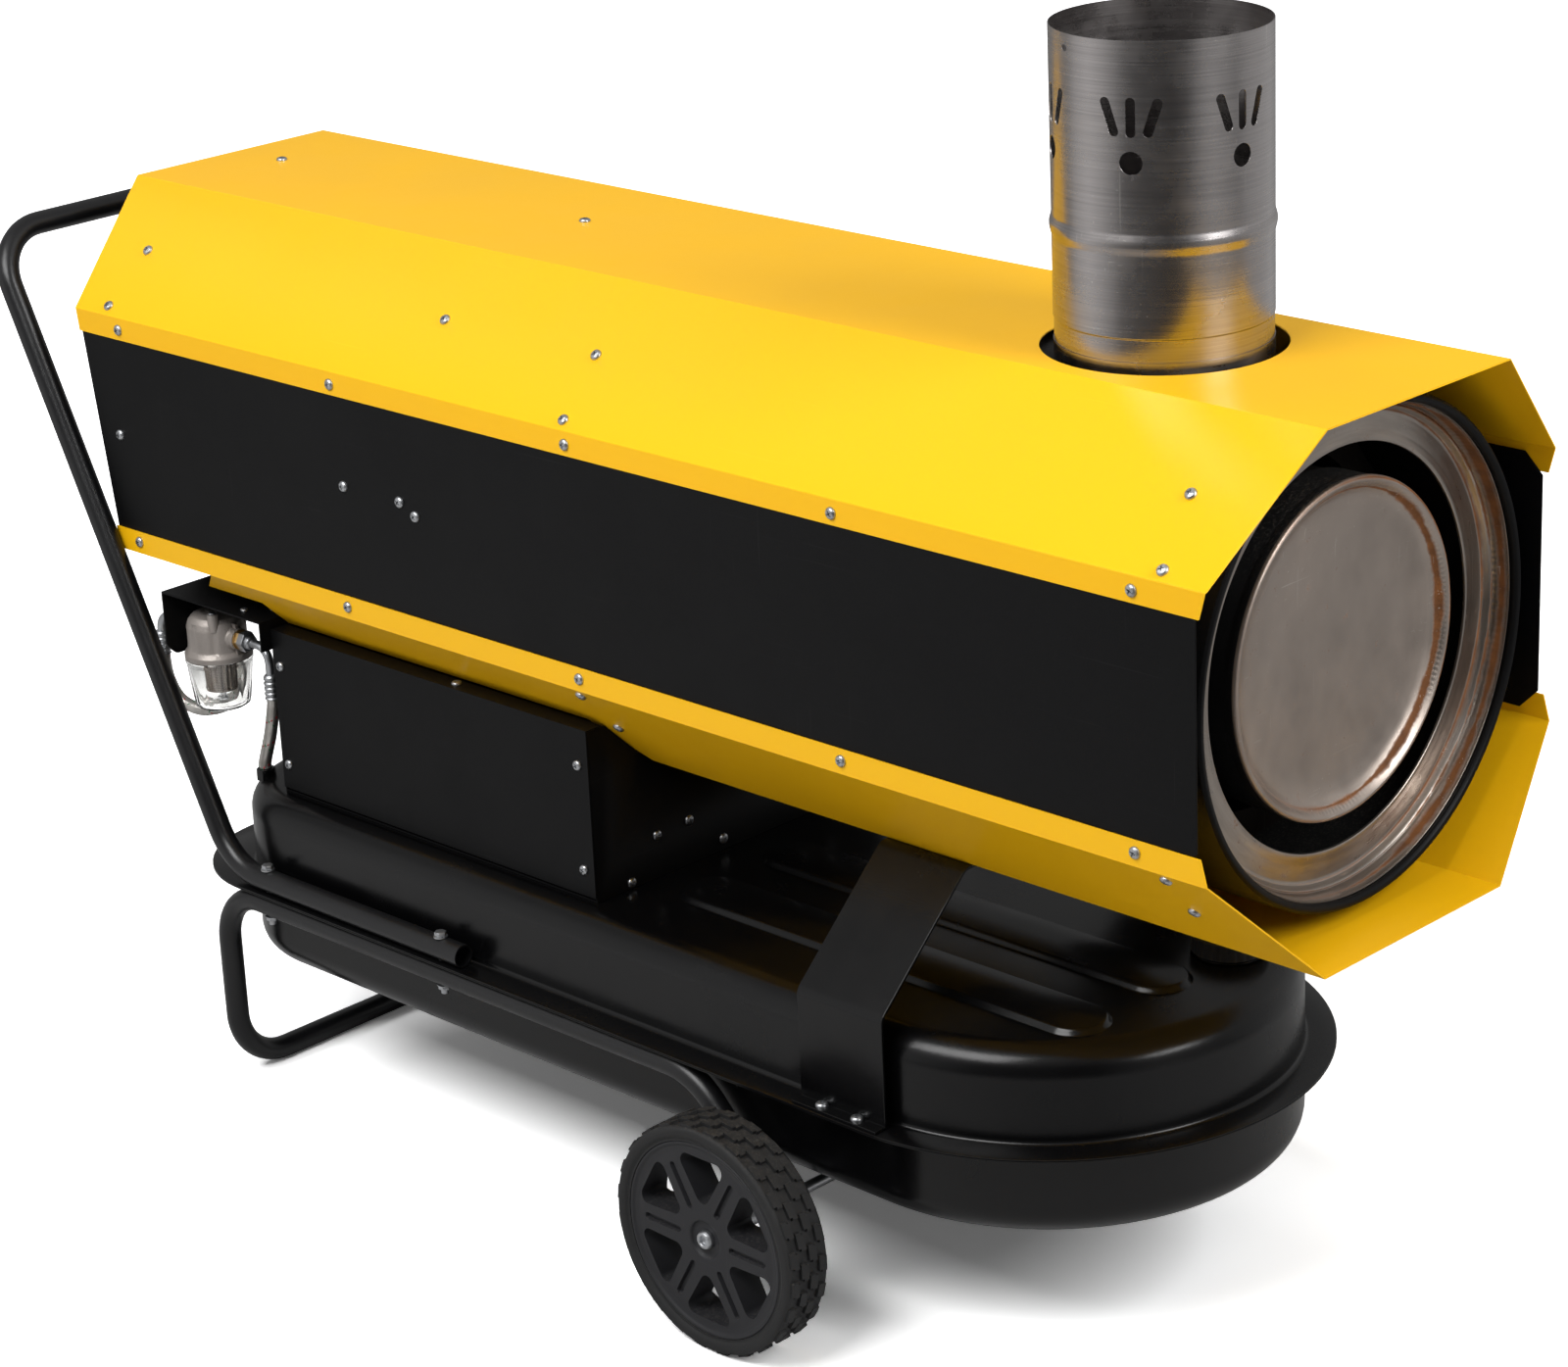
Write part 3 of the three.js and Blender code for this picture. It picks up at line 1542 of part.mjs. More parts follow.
const collarFrom = tubeHalfTrack + tubeRadius + seatGap;
const rimOuterFace = wheelOuter - rimInset;
const rimInnerFace = rimOuterFace - rimWidth;
const hubRecess = 6;
const axleEnd = rimOuterFace - hubRecess;
const axleHalf = [
  [axleRadius, collarFrom],
  [axleCollarRadius, collarFrom],
  [axleCollarRadius, rimInnerFace - seatGap],
  [axleRadius, rimInnerFace - seatGap],
  [axleRadius, axleEnd],
  [0, axleEnd],
];
const axleLine = [...axleHalf.map(([r, y]) => [r, -y]).reverse(), ...axleHalf];
addPiece("axle", revolve(axleLine, "Y", 16).translate(placeX(axleBehind), 0, wheelRadius), zinc);

// The rim's profile is given by radius and depth from its outer face.
const rimRadius = tyreInnerRadius - seatGap;
const rimProfile = [
  [axleRadius + runningGap, hubRecess],
  [hubRadius - 2, hubRecess],
  [hubRadius, 2],
  [rimRadius - 4, 2],
  [rimRadius, 0],
  [rimRadius, rimWidth],
  [rimRadius - 5.5, rimWidth],
  [rimRadius - 5.5, rimFace],
  [hubRadius + 2, rimFace],
  [hubRadius + 2, rimWidth],
  [axleRadius + runningGap, rimWidth],
];
const windowCentre = (radius, turn) => [
  radius * Math.sin(radians(turn)),
  radius * Math.cos(radians(turn)),
];
const windowTurn = windowHalfTurn - THREE.MathUtils.radToDeg(windowCorner / (windowOuter - windowCorner));
const windowShape = roundedHull(
  [
    windowCentre(windowInner + windowCorner, 0),
    windowCentre(windowOuter - windowCorner, windowTurn),
    windowCentre(windowOuter - windowCorner, -windowTurn),
  ],
  windowCorner,
);

function wheelRim(side) {
  const at = (depth) => side * (rimOuterFace - depth);
  const body = revolve(rimProfile.map(([radius, depth]) => [radius, at(depth)]), "Y", 28);
  const [near, far] = [at(-2), at(rimFace + 4)].sort((a, b) => a - b);
  const [skin, floor] = [at(-2), at(2 + grooveDepth)].sort((a, b) => a - b);
  const cutters = Array.from({ length: rimWindows }, (_, i) => {
    const turn = (2 * Math.PI * i) / rimWindows;
    const opening = alongY(windowShape, near, far, 2).rotateY(turn);
    const groove = box(-grooveWidth / 2, grooveWidth / 2, skin, floor, grooveInner, grooveOuter);
    return [opening, groove.rotateY(turn + Math.PI / rimWindows)];
  });
  return cut(body, ...cutters.flat()).translate(placeX(axleBehind), 0, wheelRadius);
}

// Tyre: its tread steps in and out by turns round the wheel.
const tyreProfile = [
  [tyreInnerRadius, 0],
  [tyreInnerRadius, rimWidth],
  [tyreInnerRadius + 5, tyreWidth - rimInset - 1],
  [wheelRadius - 5, tyreWidth - rimInset],
  [wheelRadius, tyreWidth - rimInset - 8],
  [wheelRadius, 5],
  [wheelRadius - 5, -rimInset],
  [tyreInnerRadius + 5, -rimInset + 1],
];
function tyre(side) {
  const profile = tyreProfile.map(([radius, depth]) => [radius, side * (rimOuterFace - depth)]);
  const body = revolve(profile, "Y", treadSteps);
  const corners = body.attributes.position;
  for (let i = 0; i < corners.count; i += 1) {
    const radius = Math.hypot(corners.getX(i), corners.getZ(i));
    const turn = Math.atan2(corners.getX(i), corners.getZ(i)) / (2 * Math.PI);
    const low = Math.abs(Math.round(turn * treadSteps)) % 2 === 1;
    const scale = low && radius > wheelRadius - 2 ? (radius - treadDepth) / radius : 1;
    corners.setXYZ(i, corners.getX(i) * scale, corners.getY(i), corners.getZ(i) * scale);
  }
  return body.translate(placeX(axleBehind), 0, wheelRadius);
}

function hubCap(side) {
  const from = axleEnd + seatGap;
  const profile = [
    [0, from],
    [capRadius, from],
    [capRadius, from + capLength - 3],
    [capRadius - 4, from + capLength],
    [0, from + capLength],
  ].map(([radius, y]) => [radius, side * y]);
  return revolve(profile, "Y", 16).translate(placeX(axleBehind), 0, wheelRadius);
}

for (const [word, side] of [["left", -1], ["right", 1]]) {
  addPiece(`wheel_rim_${word}`, wheelRim(side), rimPlastic);
  addPiece(`tyre_${word}`, tyre(side), rubber);
  addPiece(`hub_cap_${word}`, hubCap(side), zinc);
}

// Bolts through the handle tube, the seam flange and the leg frame, each with its nut.
const boltNutTop = legTubeHeight - tubeRadius - seatGap;
const boltHeadBottom = handleTubeHeight + tubeRadius + seatGap;
const boltLine = [
  [0, boltNutTop - boltHeadHeight - boltTail],
  [boltRadius, boltNutTop - boltHeadHeight - boltTail],
  [boltRadius, boltNutTop - boltHeadHeight],
  [boltHeadRadius, boltNutTop - boltHeadHeight],
  [boltHeadRadius, boltNutTop],
  [boltRadius, boltNutTop],
  [boltRadius, boltHeadBottom],
  [boltHeadRadius, boltHeadBottom],
  [boltHeadRadius, boltHeadBottom + boltHeadHeight],
  [0, boltHeadBottom + boltHeadHeight],
];
for (const [behind, side] of boltPlaces) {
  const place = `${behind === boltFrontBehind ? "front" : "rear"}_${side < 0 ? "left" : "right"}`;
  addPiece(
    `frame_bolt_${place}`,
    revolve(boltLine, "Z", 6).translate(placeX(behind), side * tubeHalfTrack, 0),
    zinc,
  );
}

// ---------------------------------------------------------------- fuel filter and hoses

const filterX = placeX(filterBehind);
const onFilter = (geometry) => geometry.translate(filterX, filterOffset, 0);
const headBody = revolve(
  [
    [0, headBottomHeight],
    [headRadius + 2, headBottomHeight],
    [headRadius + 2, headBottomHeight + 7],
    [headRadius - 2, headBottomHeight + 11],
    [headRadius - 2, headTopHeight - 16],
    [headRadius - 9, headTopHeight - 5],
    [headRadius / 2, headTopHeight],
    [0, headTopHeight],
  ],
  "Z",
  16,
);
const headBoss = rod("X", bossRadius, -bossReach, bossReach, 12).translate(0, 0, filterPortHeight);
const bossBore = (side) =>
  rod("X", shankRadius + seatGap, side * bossReach - shankLength, side * bossReach + shankLength, 8).translate(
    0,
    0,
    filterPortHeight,
  );
addPiece("filter_head", onFilter(cut(join(headBody, headBoss), bossBore(-1), bossBore(1))), castMetal);

const bowlTop = headBottomHeight - seatGap;
addPiece(
  "filter_bowl",
  onFilter(
    revolve(
      [
        [0, bowlTop - bowlHeight],
        [bowlBottomRadius - 4, bowlTop - bowlHeight],
        [bowlBottomRadius, bowlTop - bowlHeight + 5],
        [bowlTopRadius, bowlTop],
        [bowlTopRadius - bowlWall, bowlTop],
        [bowlBottomRadius - bowlWall, bowlTop - bowlHeight + 6],
        [bowlBottomRadius - bowlWall - 3, bowlTop - bowlHeight + bowlWall],
        [0, bowlTop - bowlHeight + bowlWall],
      ],
      "Z",
      24,
    ),
  ),
  clearPlastic,
);
addPiece(
  "filter_strainer",
  onFilter(
    revolve(
      [
        [0, bowlTop - strainerLength],
        [strainerRadius, bowlTop - strainerLength],
        [strainerRadius, bowlTop],
        [strainerRadius - 3, bowlTop],
        [strainerRadius - 3, bowlTop - strainerLength + 3],
        [0, bowlTop - strainerLength + 3],
      ],
      "Z",
      20,
    ),
  ),
  strainerMesh,
);

// Bracket: a tab on the rear wall of the control box, a shelf over the filter, and the
// upright plate behind it that the rear union clamps to the head.
const bracketLine = [
  [placeX(boxRearBehind + seatGap), bracketTopHeight - bracketTab],
  [placeX(boxRearBehind + seatGap), bracketTopHeight],
  [placeX(bracketRearBehind), bracketTopHeight],
  [placeX(bracketRearBehind), bracketTopHeight - bracketDrop],
];
const bracketSides = [-1, 1].map((side) => filterOffset + side * bracketHalfWidth);
const bracketBottom = bracketTopHeight - bracketDrop;
const bracketCorners = bracketSides.map((edge, i) => {
  const inwards = i === 0 ? bracketCorner : -bracketCorner;
  const corner = polygon([
    [edge - inwards, bracketBottom - bracketCorner],
    [edge + inwards, bracketBottom - 0.1],
    [edge - 0.1 * Math.sign(inwards), bracketBottom + bracketCorner],
  ]);
  return alongX(corner, placeX(bracketRearBehind + 5), placeX(bracketRearBehind - 5));
});
const bracketHole = rod("X", shankRadius + seatGap, -bossReach - 10, 0, 8).translate(0, 0, filterPortHeight);
addPiece(
  "filter_bracket",
  cut(
    alongY(sheetSection(bracketLine, bracketSheet), ...bracketSides),
    onFilter(bracketHole),
    ...bracketCorners,
  ),
  blackPaint,
);

// A union with a bent steel tube down to the crimped ferrule of a hose.
function hoseUnion(way, seatX, dropBehind, ferruleTop) {
  const hexEnd = seatX + way * hexLength;
  const at = (x, height) => new THREE.Vector3(x, filterOffset, height);
  const path = new BentPath(
    [at(hexEnd - way, filterPortHeight), at(placeX(dropBehind), filterPortHeight), at(placeX(dropBehind), ferruleTop - 2)],
    [elbowBend],
  );
  const shankEnd = filterX + way * (bossReach - shankLength + 1);
  const along = (radius, from, to, sides) =>
    rod("X", radius, Math.min(from, to), Math.max(from, to), sides).translate(0, filterOffset, filterPortHeight);
  return join(
    along(shankRadius, shankEnd, hexEnd, 8),
    along(hexRadius, seatX, hexEnd, 6),
    tube(path, path.steps, elbowRadius, 8),
    rod("Z", ferruleRadius, ferruleTop - ferruleLength, ferruleTop, 12).translate(
      placeX(dropBehind),
      filterOffset,
      0,
    ),
  );
}
addPiece(
  "suction_fitting",
  hoseUnion(1, filterX + bossReach + seatGap, suctionDropBehind, suctionFerruleHeight),
  zinc,
);
addPiece(
  "supply_fitting",
  hoseUnion(-1, placeX(bracketRearBehind) - seatGap, supplyDropBehind, supplyFerruleHeight),
  zinc,
);

const hosePoint = (behind, y, height) => new THREE.Vector3(placeX(behind), y, height);
function hose(points) {
  return tube(new THREE.CatmullRomCurve3(points), 3 * (points.length - 1), hoseRadius, 8);
}
const suctionTop = suctionFerruleHeight - ferruleLength - seatGap;
const suctionLow = tankUnionHeight + seatGap;
const suctionAt = (share, height) =>
  hosePoint(
    THREE.MathUtils.lerp(suctionDropBehind, tankUnionBehind, share),
    THREE.MathUtils.lerp(filterOffset, tankUnionOffset, share),
    height,
  );
addPiece(
  "suction_hose",
  hose([
    suctionAt(0, suctionTop),
    suctionAt(0, suctionTop - hoseRadius),
    suctionAt(0.4, (suctionTop + suctionLow) / 2),
    suctionAt(1, suctionLow + hoseRadius),
    suctionAt(1, suctionLow),
  ]),
  braid,
);

// The supply hose hangs in a bow under the filter and rises behind the bowl to the duct,
// which it meets square on.
const supplyTop = supplyFerruleHeight - ferruleLength - seatGap;
const bowPoint = (run, aside, drop) =>
  hosePoint(
    supplyDropBehind - run * supplyBowRun,
    filterOffset + aside * supplyBowAside,
    supplyTop - drop * supplyBowDrop,
  );
const towardsDuct = (gap) => {
  const reach = ductRadius + gap;
  const turn = radians(ductUnionTurn);
  return hosePoint(ductUnionBehind, -reach * Math.sin(turn), axisHeight - reach * Math.cos(turn));
};
addPiece(
  "supply_hose",
  hose([
    bowPoint(0, 0, 0),
    bowPoint(0, 0, 0.14),
    bowPoint(0.06, 0, 0.53),
    bowPoint(0.29, 0.02, 0.9),
    bowPoint(0.69, 0.17, 1),
    bowPoint(1, 0.64, 0.82),
    bowPoint(1.02, 1, 0.42),
    bowPoint(0.97, 0.94, -0.14),
    towardsDuct(supplyBowRise),
    towardsDuct(seatGap + 0.2),
  ]),
  braid,
);

export default heater;
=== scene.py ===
import math

import bmesh
import bpy
from mathutils import Matrix, Vector


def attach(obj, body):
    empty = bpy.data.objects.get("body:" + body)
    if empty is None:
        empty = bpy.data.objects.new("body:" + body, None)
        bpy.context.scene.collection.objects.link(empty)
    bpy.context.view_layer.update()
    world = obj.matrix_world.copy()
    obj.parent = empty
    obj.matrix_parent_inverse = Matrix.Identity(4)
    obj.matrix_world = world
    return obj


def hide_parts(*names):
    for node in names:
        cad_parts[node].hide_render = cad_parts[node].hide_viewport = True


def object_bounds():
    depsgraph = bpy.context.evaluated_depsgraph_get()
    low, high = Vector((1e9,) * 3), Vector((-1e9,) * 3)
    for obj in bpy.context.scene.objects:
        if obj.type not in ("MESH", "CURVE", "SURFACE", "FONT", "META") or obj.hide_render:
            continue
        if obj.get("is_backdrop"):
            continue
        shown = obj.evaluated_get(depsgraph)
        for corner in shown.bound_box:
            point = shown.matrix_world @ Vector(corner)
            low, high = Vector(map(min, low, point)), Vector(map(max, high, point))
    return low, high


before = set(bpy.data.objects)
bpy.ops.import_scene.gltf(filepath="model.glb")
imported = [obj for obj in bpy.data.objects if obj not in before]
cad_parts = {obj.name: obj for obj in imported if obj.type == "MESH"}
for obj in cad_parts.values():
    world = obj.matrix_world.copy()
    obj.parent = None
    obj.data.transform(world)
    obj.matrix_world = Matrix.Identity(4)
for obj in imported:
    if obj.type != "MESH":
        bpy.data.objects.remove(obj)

cad_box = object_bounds()

# ---------------------------------------------------------------- studio
# The heater stands on a plain pale floor between soft lamps, seen from its front left corner
# a little above the casing. A white room shows behind it, and in its glass and metal.

VIEW_TURN, VIEW_RISE, VIEW_ROLL = (math.radians(a) for a in (45.2104, 20.2694, -2.6118))
VIEW_PLACE = (2.8521, -2.7544, 1.9753)
VIEW_LENS, FILM_WIDTH = 93.518, 36.0

back = Vector(
    (
        math.sin(VIEW_TURN) * math.cos(VIEW_RISE),
        -math.cos(VIEW_TURN) * math.cos(VIEW_RISE),
        math.sin(VIEW_RISE),
    )
)
right = Vector((math.cos(VIEW_TURN), math.sin(VIEW_TURN), 0.0))
up = back.cross(right)
rolled_right = right * math.cos(VIEW_ROLL) + up * math.sin(VIEW_ROLL)
rolled_up = up * math.cos(VIEW_ROLL) - right * math.sin(VIEW_ROLL)
camera = bpy.data.objects.new("camera", bpy.data.cameras.new("camera"))
camera.data.lens = VIEW_LENS
camera.data.sensor_width = FILM_WIDTH
camera.data.sensor_fit = "HORIZONTAL"
axes = Matrix((rolled_right, rolled_up, back)).transposed().to_4x4()
camera.matrix_world = Matrix.Translation(VIEW_PLACE) @ axes
bpy.context.scene.collection.objects.link(camera)
bpy.context.scene.camera = camera
bpy.context.scene.view_settings.view_transform = "Standard"


def put(tree, kind, feeds=None, **settings):
    """Adds a node. feeds gives each input, by name or number, a value or another node's output."""
    node = tree.nodes.new(kind)
    for key, value in settings.items():
        setattr(node, key, value)
    for key, value in (feeds or {}).items():
        if isinstance(value, bpy.types.NodeSocket):
            tree.links.new(value, node.inputs[key])
        else:
            node.inputs[key].default_value = value
    return node


def out(tree, kind, feeds=None, **settings):
    """Adds a node and gives its first output."""
    return put(tree, kind, feeds, **settings).outputs[0]


def sums(tree, operation, *values):
    """One step of arithmetic."""
    return out(tree, "ShaderNodeMath", dict(enumerate(values)), operation=operation)


def times(tree, first, second):
    return sums(tree, "MULTIPLY", first, second)


def graded(tree, value, slope, start):
    """A value times a slope, on top of a start."""
    return sums(tree, "MULTIPLY_ADD", value, slope, start)


def split(tree, vector):
    """The X, Y and Z of a vector."""
    return put(tree, "ShaderNodeSeparateXYZ", {0: vector}).outputs


def spot_of(tree):
    """The place on the object that is being shaded."""
    return put(tree, "ShaderNodeTexCoord").outputs["Object"]


def shade(hexa):
    """The linear colour of a six-figure paint code."""
    parts = [int(hexa[i : i + 2], 16) / 255 for i in (0, 2, 4)]
    return [p / 12.92 if p <= 0.04045 else ((p + 0.055) / 1.055) ** 2.4 for p in parts] + [1.0]


def tones(tree, value, stops):
    """Turns a number into a colour by a ramp of (place, colour) stops."""
    node = put(tree, "ShaderNodeValToRGB", {0: value})
    ramp = node.color_ramp
    ramp.interpolation = "EASE"
    while len(ramp.elements) < len(stops):
        ramp.elements.new(0.5)
    for element, (place, colour) in zip(ramp.elements, stops):
        element.position, element.color = place, colour
    return node.outputs["Color"]


def grey(level):
    return (level, level, level, 1.0)


def window(tree, value, low, high):
    """0 below low, 1 above high, and a slope between them."""
    return out(tree, "ShaderNodeMapRange", {0: value, 1: low, 2: high})


def blended(tree, share, first, second):
    return put(tree, "ShaderNodeMix", {0: share, 6: first, 7: second}, data_type="RGBA").outputs[2]


ROOM_LIGHT, AIM_HEIGHT = 0.28, 0.7
# What polished metal mirrors all round the heater: two soft boxes, and dark flags between them.
SOFT_BOXES = [
    (-180, 0.42), (-161, 0.3), (-141, 0.66), (-125, 0.8), (-110, 0.62), (-95, 0.4), (-82, 0.14), (-60, 0.085),
    (-36, 0.055), (-24, 0.09), (-12, 0.3), (0, 0.44), (14, 0.36), (27, 0.28), (42, 0.44), (60, 0.5), (80, 0.55),
    (100, 0.36), (120, 0.2), (150, 0.22), (180, 0.42),
]


def mirrored_room(tree, place):
    """The brightness of the studio wall in the direction of a place."""
    way = split(tree, place)
    around = graded(tree, sums(tree, "ARCTAN2", way["Y"], way["X"]), 0.5 / math.pi, 0.5)
    return tones(tree, around, [(turn / 360 + 0.5, grey(level)) for turn, level in SOFT_BOXES]), way["Z"]


def sight(tree):
    """The kinds of ray, and 1 for those that show a thing straight or through glass."""
    rays = put(tree, "ShaderNodeLightPath").outputs
    return rays, sums(tree, "MAXIMUM", rays["Is Camera Ray"], rays["Is Transmission Ray"])


room = bpy.data.worlds.new("studio")
room.use_nodes = True
bpy.context.scene.world = room
tree = room.node_tree
tree.nodes.clear()
rays, seen = sight(tree)
walls, rise = mirrored_room(tree, put(tree, "ShaderNodeTexCoord").outputs["Generated"])
mirrored = blended(tree, window(tree, rise, 0.4, 0.8), walls, grey(0.42))
lit = blended(tree, rays["Is Glossy Ray"], grey(ROOM_LIGHT), mirrored)
glow = put(tree, "ShaderNodeBackground", {"Color": blended(tree, seen, lit, grey(1.0)), "Strength": 1.0})
put(tree, "ShaderNodeOutputWorld", {"Surface": glow.outputs[0]})


def lamp(name, turn, rise, distance, size, power, mirrored=True):
    """A soft lamp on the circle round the heater, aimed at the middle of its casing."""
    turn, rise = math.radians(turn), math.radians(rise)
    data = bpy.data.lights.new(name, "AREA")
    data.shape, data.size, data.size_y, data.energy = "RECTANGLE", *size, power
    place = Vector((math.cos(turn) * math.cos(rise), math.sin(turn) * math.cos(rise), math.sin(rise)))
    light = bpy.data.objects.new(name, data)
    aim = place.to_track_quat("Z", "Y").to_matrix().to_4x4()
    light.matrix_world = Matrix.Translation(place * distance + Vector((0, 0, AIM_HEIGHT))) @ aim
    light.visible_camera = False
    light.visible_glossy = mirrored
    bpy.context.scene.collection.objects.link(light)


lamp("left_lamp", -90, 46, 4.2, (3.0, 1.8), 156)
lamp("front_lamp", 6, 32, 4.2, (1.5, 2.2), 94)
lamp("rear_lamp", 165, 44, 4.6, (2.4, 1.6), 46, mirrored=False)

FLOOR_HALF = 14.0
floor_mesh = bpy.data.meshes.new("floor")
corners = [(u * FLOOR_HALF, v * FLOOR_HALF, 0) for u, v in ((-1, -1), (1, -1), (1, 1), (-1, 1))]
floor_mesh.from_pydata(corners, [], [(0, 1, 2, 3)])
floor = bpy.data.objects.new("floor", floor_mesh)
bpy.context.scene.collection.objects.link(floor)
floor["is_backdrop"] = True
pale = bpy.data.materials.new("floor_paint")
pale.use_nodes = True
tree = pale.node_tree
tree.nodes.clear()
rays, seen = sight(tree)
place = spot_of(tree)
away = put(tree, "ShaderNodeVectorMath", {0: place}, operation="LENGTH").outputs[1]
shine = times(tree, rays["Is Glossy Ray"], window(tree, away, 1.0, 2.2))
paint = blended(tree, shine, blended(tree, seen, grey(0.5), grey(1.75)), grey(0.0))
matt = out(tree, "ShaderNodeBsdfDiffuse", {"Color": paint})
white = times(tree, seen, graded(tree, window(tree, away, 1.2, 4.0), 0.95, 0.04))
walls, _ = mirrored_room(tree, place)
hue = blended(tree, rays["Is Glossy Ray"], grey(1.0), walls)
lift = out(tree, "ShaderNodeEmission", {"Color": hue, "Strength": sums(tree, "ADD", white, shine)})
both = out(tree, "ShaderNodeAddShader", {0: matt, 1: lift})
put(tree, "ShaderNodeOutputMaterial", {"Surface": both})
floor_mesh.materials.append(pale)

# ---------------------------------------------------------------- casing covers
# Two folded steel covers close the casing above and below, and their slanted sides make it an
# octagon. They are powder coated in warm yellow, and screwed along their edges.

MM = 0.001
WELD = 2e-5  # corners closer than this are one, in metres
FRONT = 867.25  # where the casing's front edge is, along X
AXIS = 725.0  # height of the casing's centre line


def x_at(behind):
    """Place along X of a point this far behind the casing's front edge."""
    return FRONT - behind


def effect(name, inputs, outputs):
    """An empty shader group with named number inputs and outputs."""
    group = bpy.data.node_groups.new(name, "ShaderNodeTree")
    for label, value in inputs.items():
        group.interface.new_socket(label, in_out="INPUT", socket_type="NodeSocketFloat").default_value = value
    for label in outputs:
        group.interface.new_socket(label, in_out="OUTPUT", socket_type="NodeSocketFloat")
    return group, put(group, "NodeGroupInput").outputs


def noise(tree, vector, scale, detail=2.0, rough=0.5):
    feeds = {"Vector": vector, "Scale": scale, "Detail": detail, "Roughness": rough}
    return out(tree, "ShaderNodeTexNoise", feeds)


# The skin of a sprayed or moulded surface: a fine ripple, and a slow drift of its tone.
skin_group, ins = effect("coating_skin", {"Grain": 900.0, "Drift": 5.0}, ["Height", "Tone"])
where = spot_of(skin_group)
ripples, drifts = noise(skin_group, where, ins["Grain"], 1.5), noise(skin_group, where, ins["Drift"], 4.0, 0.6)
put(skin_group, "NodeGroupOutput", {"Height": ripples, "Tone": drifts})

# Marks of use: wiped smudges, hair-fine scratches, and dust on what faces up.
wear_group, ins = effect("handling_wear", {"Spread": 7.0}, ["Smudge", "Scratch", "Dust"])
tree = wear_group
where = spot_of(tree)
smudge = window(tree, noise(tree, where, ins["Spread"], 5.0, 0.62), 0.42, 0.7)
scratch = 0.0
HAIRS = [((0.3, 0.5, 0.2), (5, 420, 420)), ((1.1, 0.2, 0.9), (420, 6, 420)), ((0.4, 1.3, 2.1), (420, 420, 5))]
for turn, squeeze in HAIRS:
    lean = out(tree, "ShaderNodeMapping", {"Vector": where, "Rotation": turn, "Scale": squeeze})
    scratch = sums(tree, "MAXIMUM", scratch, window(tree, noise(tree, lean, 1.0, 1.0), 0.735, 0.76))
patch = window(tree, noise(tree, where, 9.0, 2.0), 0.45, 0.6)
scratch = times(tree, scratch, patch)
facing = split(tree, put(tree, "ShaderNodeNewGeometry").outputs["Normal"])
specks = window(tree, noise(tree, where, 380.0, 3.0, 0.7), 0.5, 0.72)
settled_dust = times(tree, window(tree, facing["Z"], 0.5, 1.0), specks)
put(tree, "NodeGroupOutput", {"Smudge": smudge, "Scratch": scratch, "Dust": settled_dust})


def placed(tree, group, **values):
    """One use of a shared effect, with its own values."""
    node = put(tree, "ShaderNodeGroup", node_tree=group)
    for label, value in values.items():
        node.inputs[label.replace("_", " ")].default_value = value
    return node.outputs


def new_material(name):
    material = bpy.data.materials.new(name)
    material.use_nodes = True
    material.node_tree.nodes.clear()
    return material, material.node_tree


def principled(tree, **sockets):
    """The surface shader and its output; spaces in the names of its sockets are underscores here."""
    feeds = {label.replace("_", " "): value for label, value in sockets.items()}
    put(tree, "ShaderNodeOutputMaterial", {"Surface": out(tree, "ShaderNodeBsdfPrincipled", feeds)})


def toned(colour, share, lift=0.0):
    """A darker or lighter tone of a colour."""
    return [min(1.0, c * share + lift) for c in colour[:3]] + [1.0]


def bumped(tree, strength, distance, height):
    return out(tree, "ShaderNodeBump", {"Strength": strength, "Distance": distance, "Height": height})


def coated(
    name, colour, roughness, metallic=0.0, grain=900.0, ripple=0.06, tone=0.12, wiped=0.12,
    scratched=0.35, dusty=0.08, drift=5.0, dust="b9b2a6", specular=0.5,
):
    """A sprayed, plated, cast or moulded finish of one colour, with its grain and its marks of use."""
    material, tree = new_material(name)
    skin = placed(tree, skin_group, Grain=grain, Drift=drift)
    wear = placed(tree, wear_group)
    base = blended(tree, skin["Tone"], toned(colour, 1 - tone), colour)
    base = blended(tree, times(tree, wear["Dust"], dusty), base, shade(dust))
    base = blended(tree, times(tree, wear["Scratch"], scratched), base, toned(colour, 1.25, 0.03))
    gloss = graded(tree, wear["Dust"], dusty, graded(tree, wear["Smudge"], wiped, roughness))
    relief = bumped(tree, ripple, 0.001, skin["Height"])
    principled(
        tree, Base_Color=base, Roughness=gloss, Metallic=metallic, Normal=relief, Specular_IOR_Level=specular
    )
    return material


def smoothed(mesh, sharp=32.0):
    """Smooth shading, but for edges that bend by more than this."""
    mesh.shade_smooth()
    mesh.set_sharp_from_angle(angle=math.radians(sharp))


def built(name, bm, material, sharp=32.0):
    """Makes an object of a finished bmesh."""
    mesh = bpy.data.meshes.new(name)
    bm.to_mesh(mesh)
    bm.free()
    mesh.materials.clear()
    mesh.materials.append(material)
    smoothed(mesh, sharp)
    thing = bpy.data.objects.new(name, mesh)
    bpy.context.scene.collection.objects.link(thing)
    return thing


def baked(thing):
    """Turns an object with modifiers into a plain mesh."""
    depsgraph = bpy.context.evaluated_depsgraph_get()
    mesh = bpy.data.meshes.new_from_object(
        thing.evaluated_get(depsgraph), preserve_all_data_layers=True, depsgraph=depsgraph
    )
    thing.modifiers.clear()
    thing.data = mesh
    return thing


def cleared(*things):
    for thing in things:
        bpy.data.objects.remove(thing, do_unlink=True)


def carved(thing, *cutters, operation="DIFFERENCE"):
    """Cuts the cutters out of a piece one by one, or joins them to it."""
    for cutter in cutters:
        step = thing.modifiers.new("carve", "BOOLEAN")
        step.operation, step.solver, step.object = operation, "EXACT", cutter
    baked(thing)
    cleared(*cutters)
    return thing


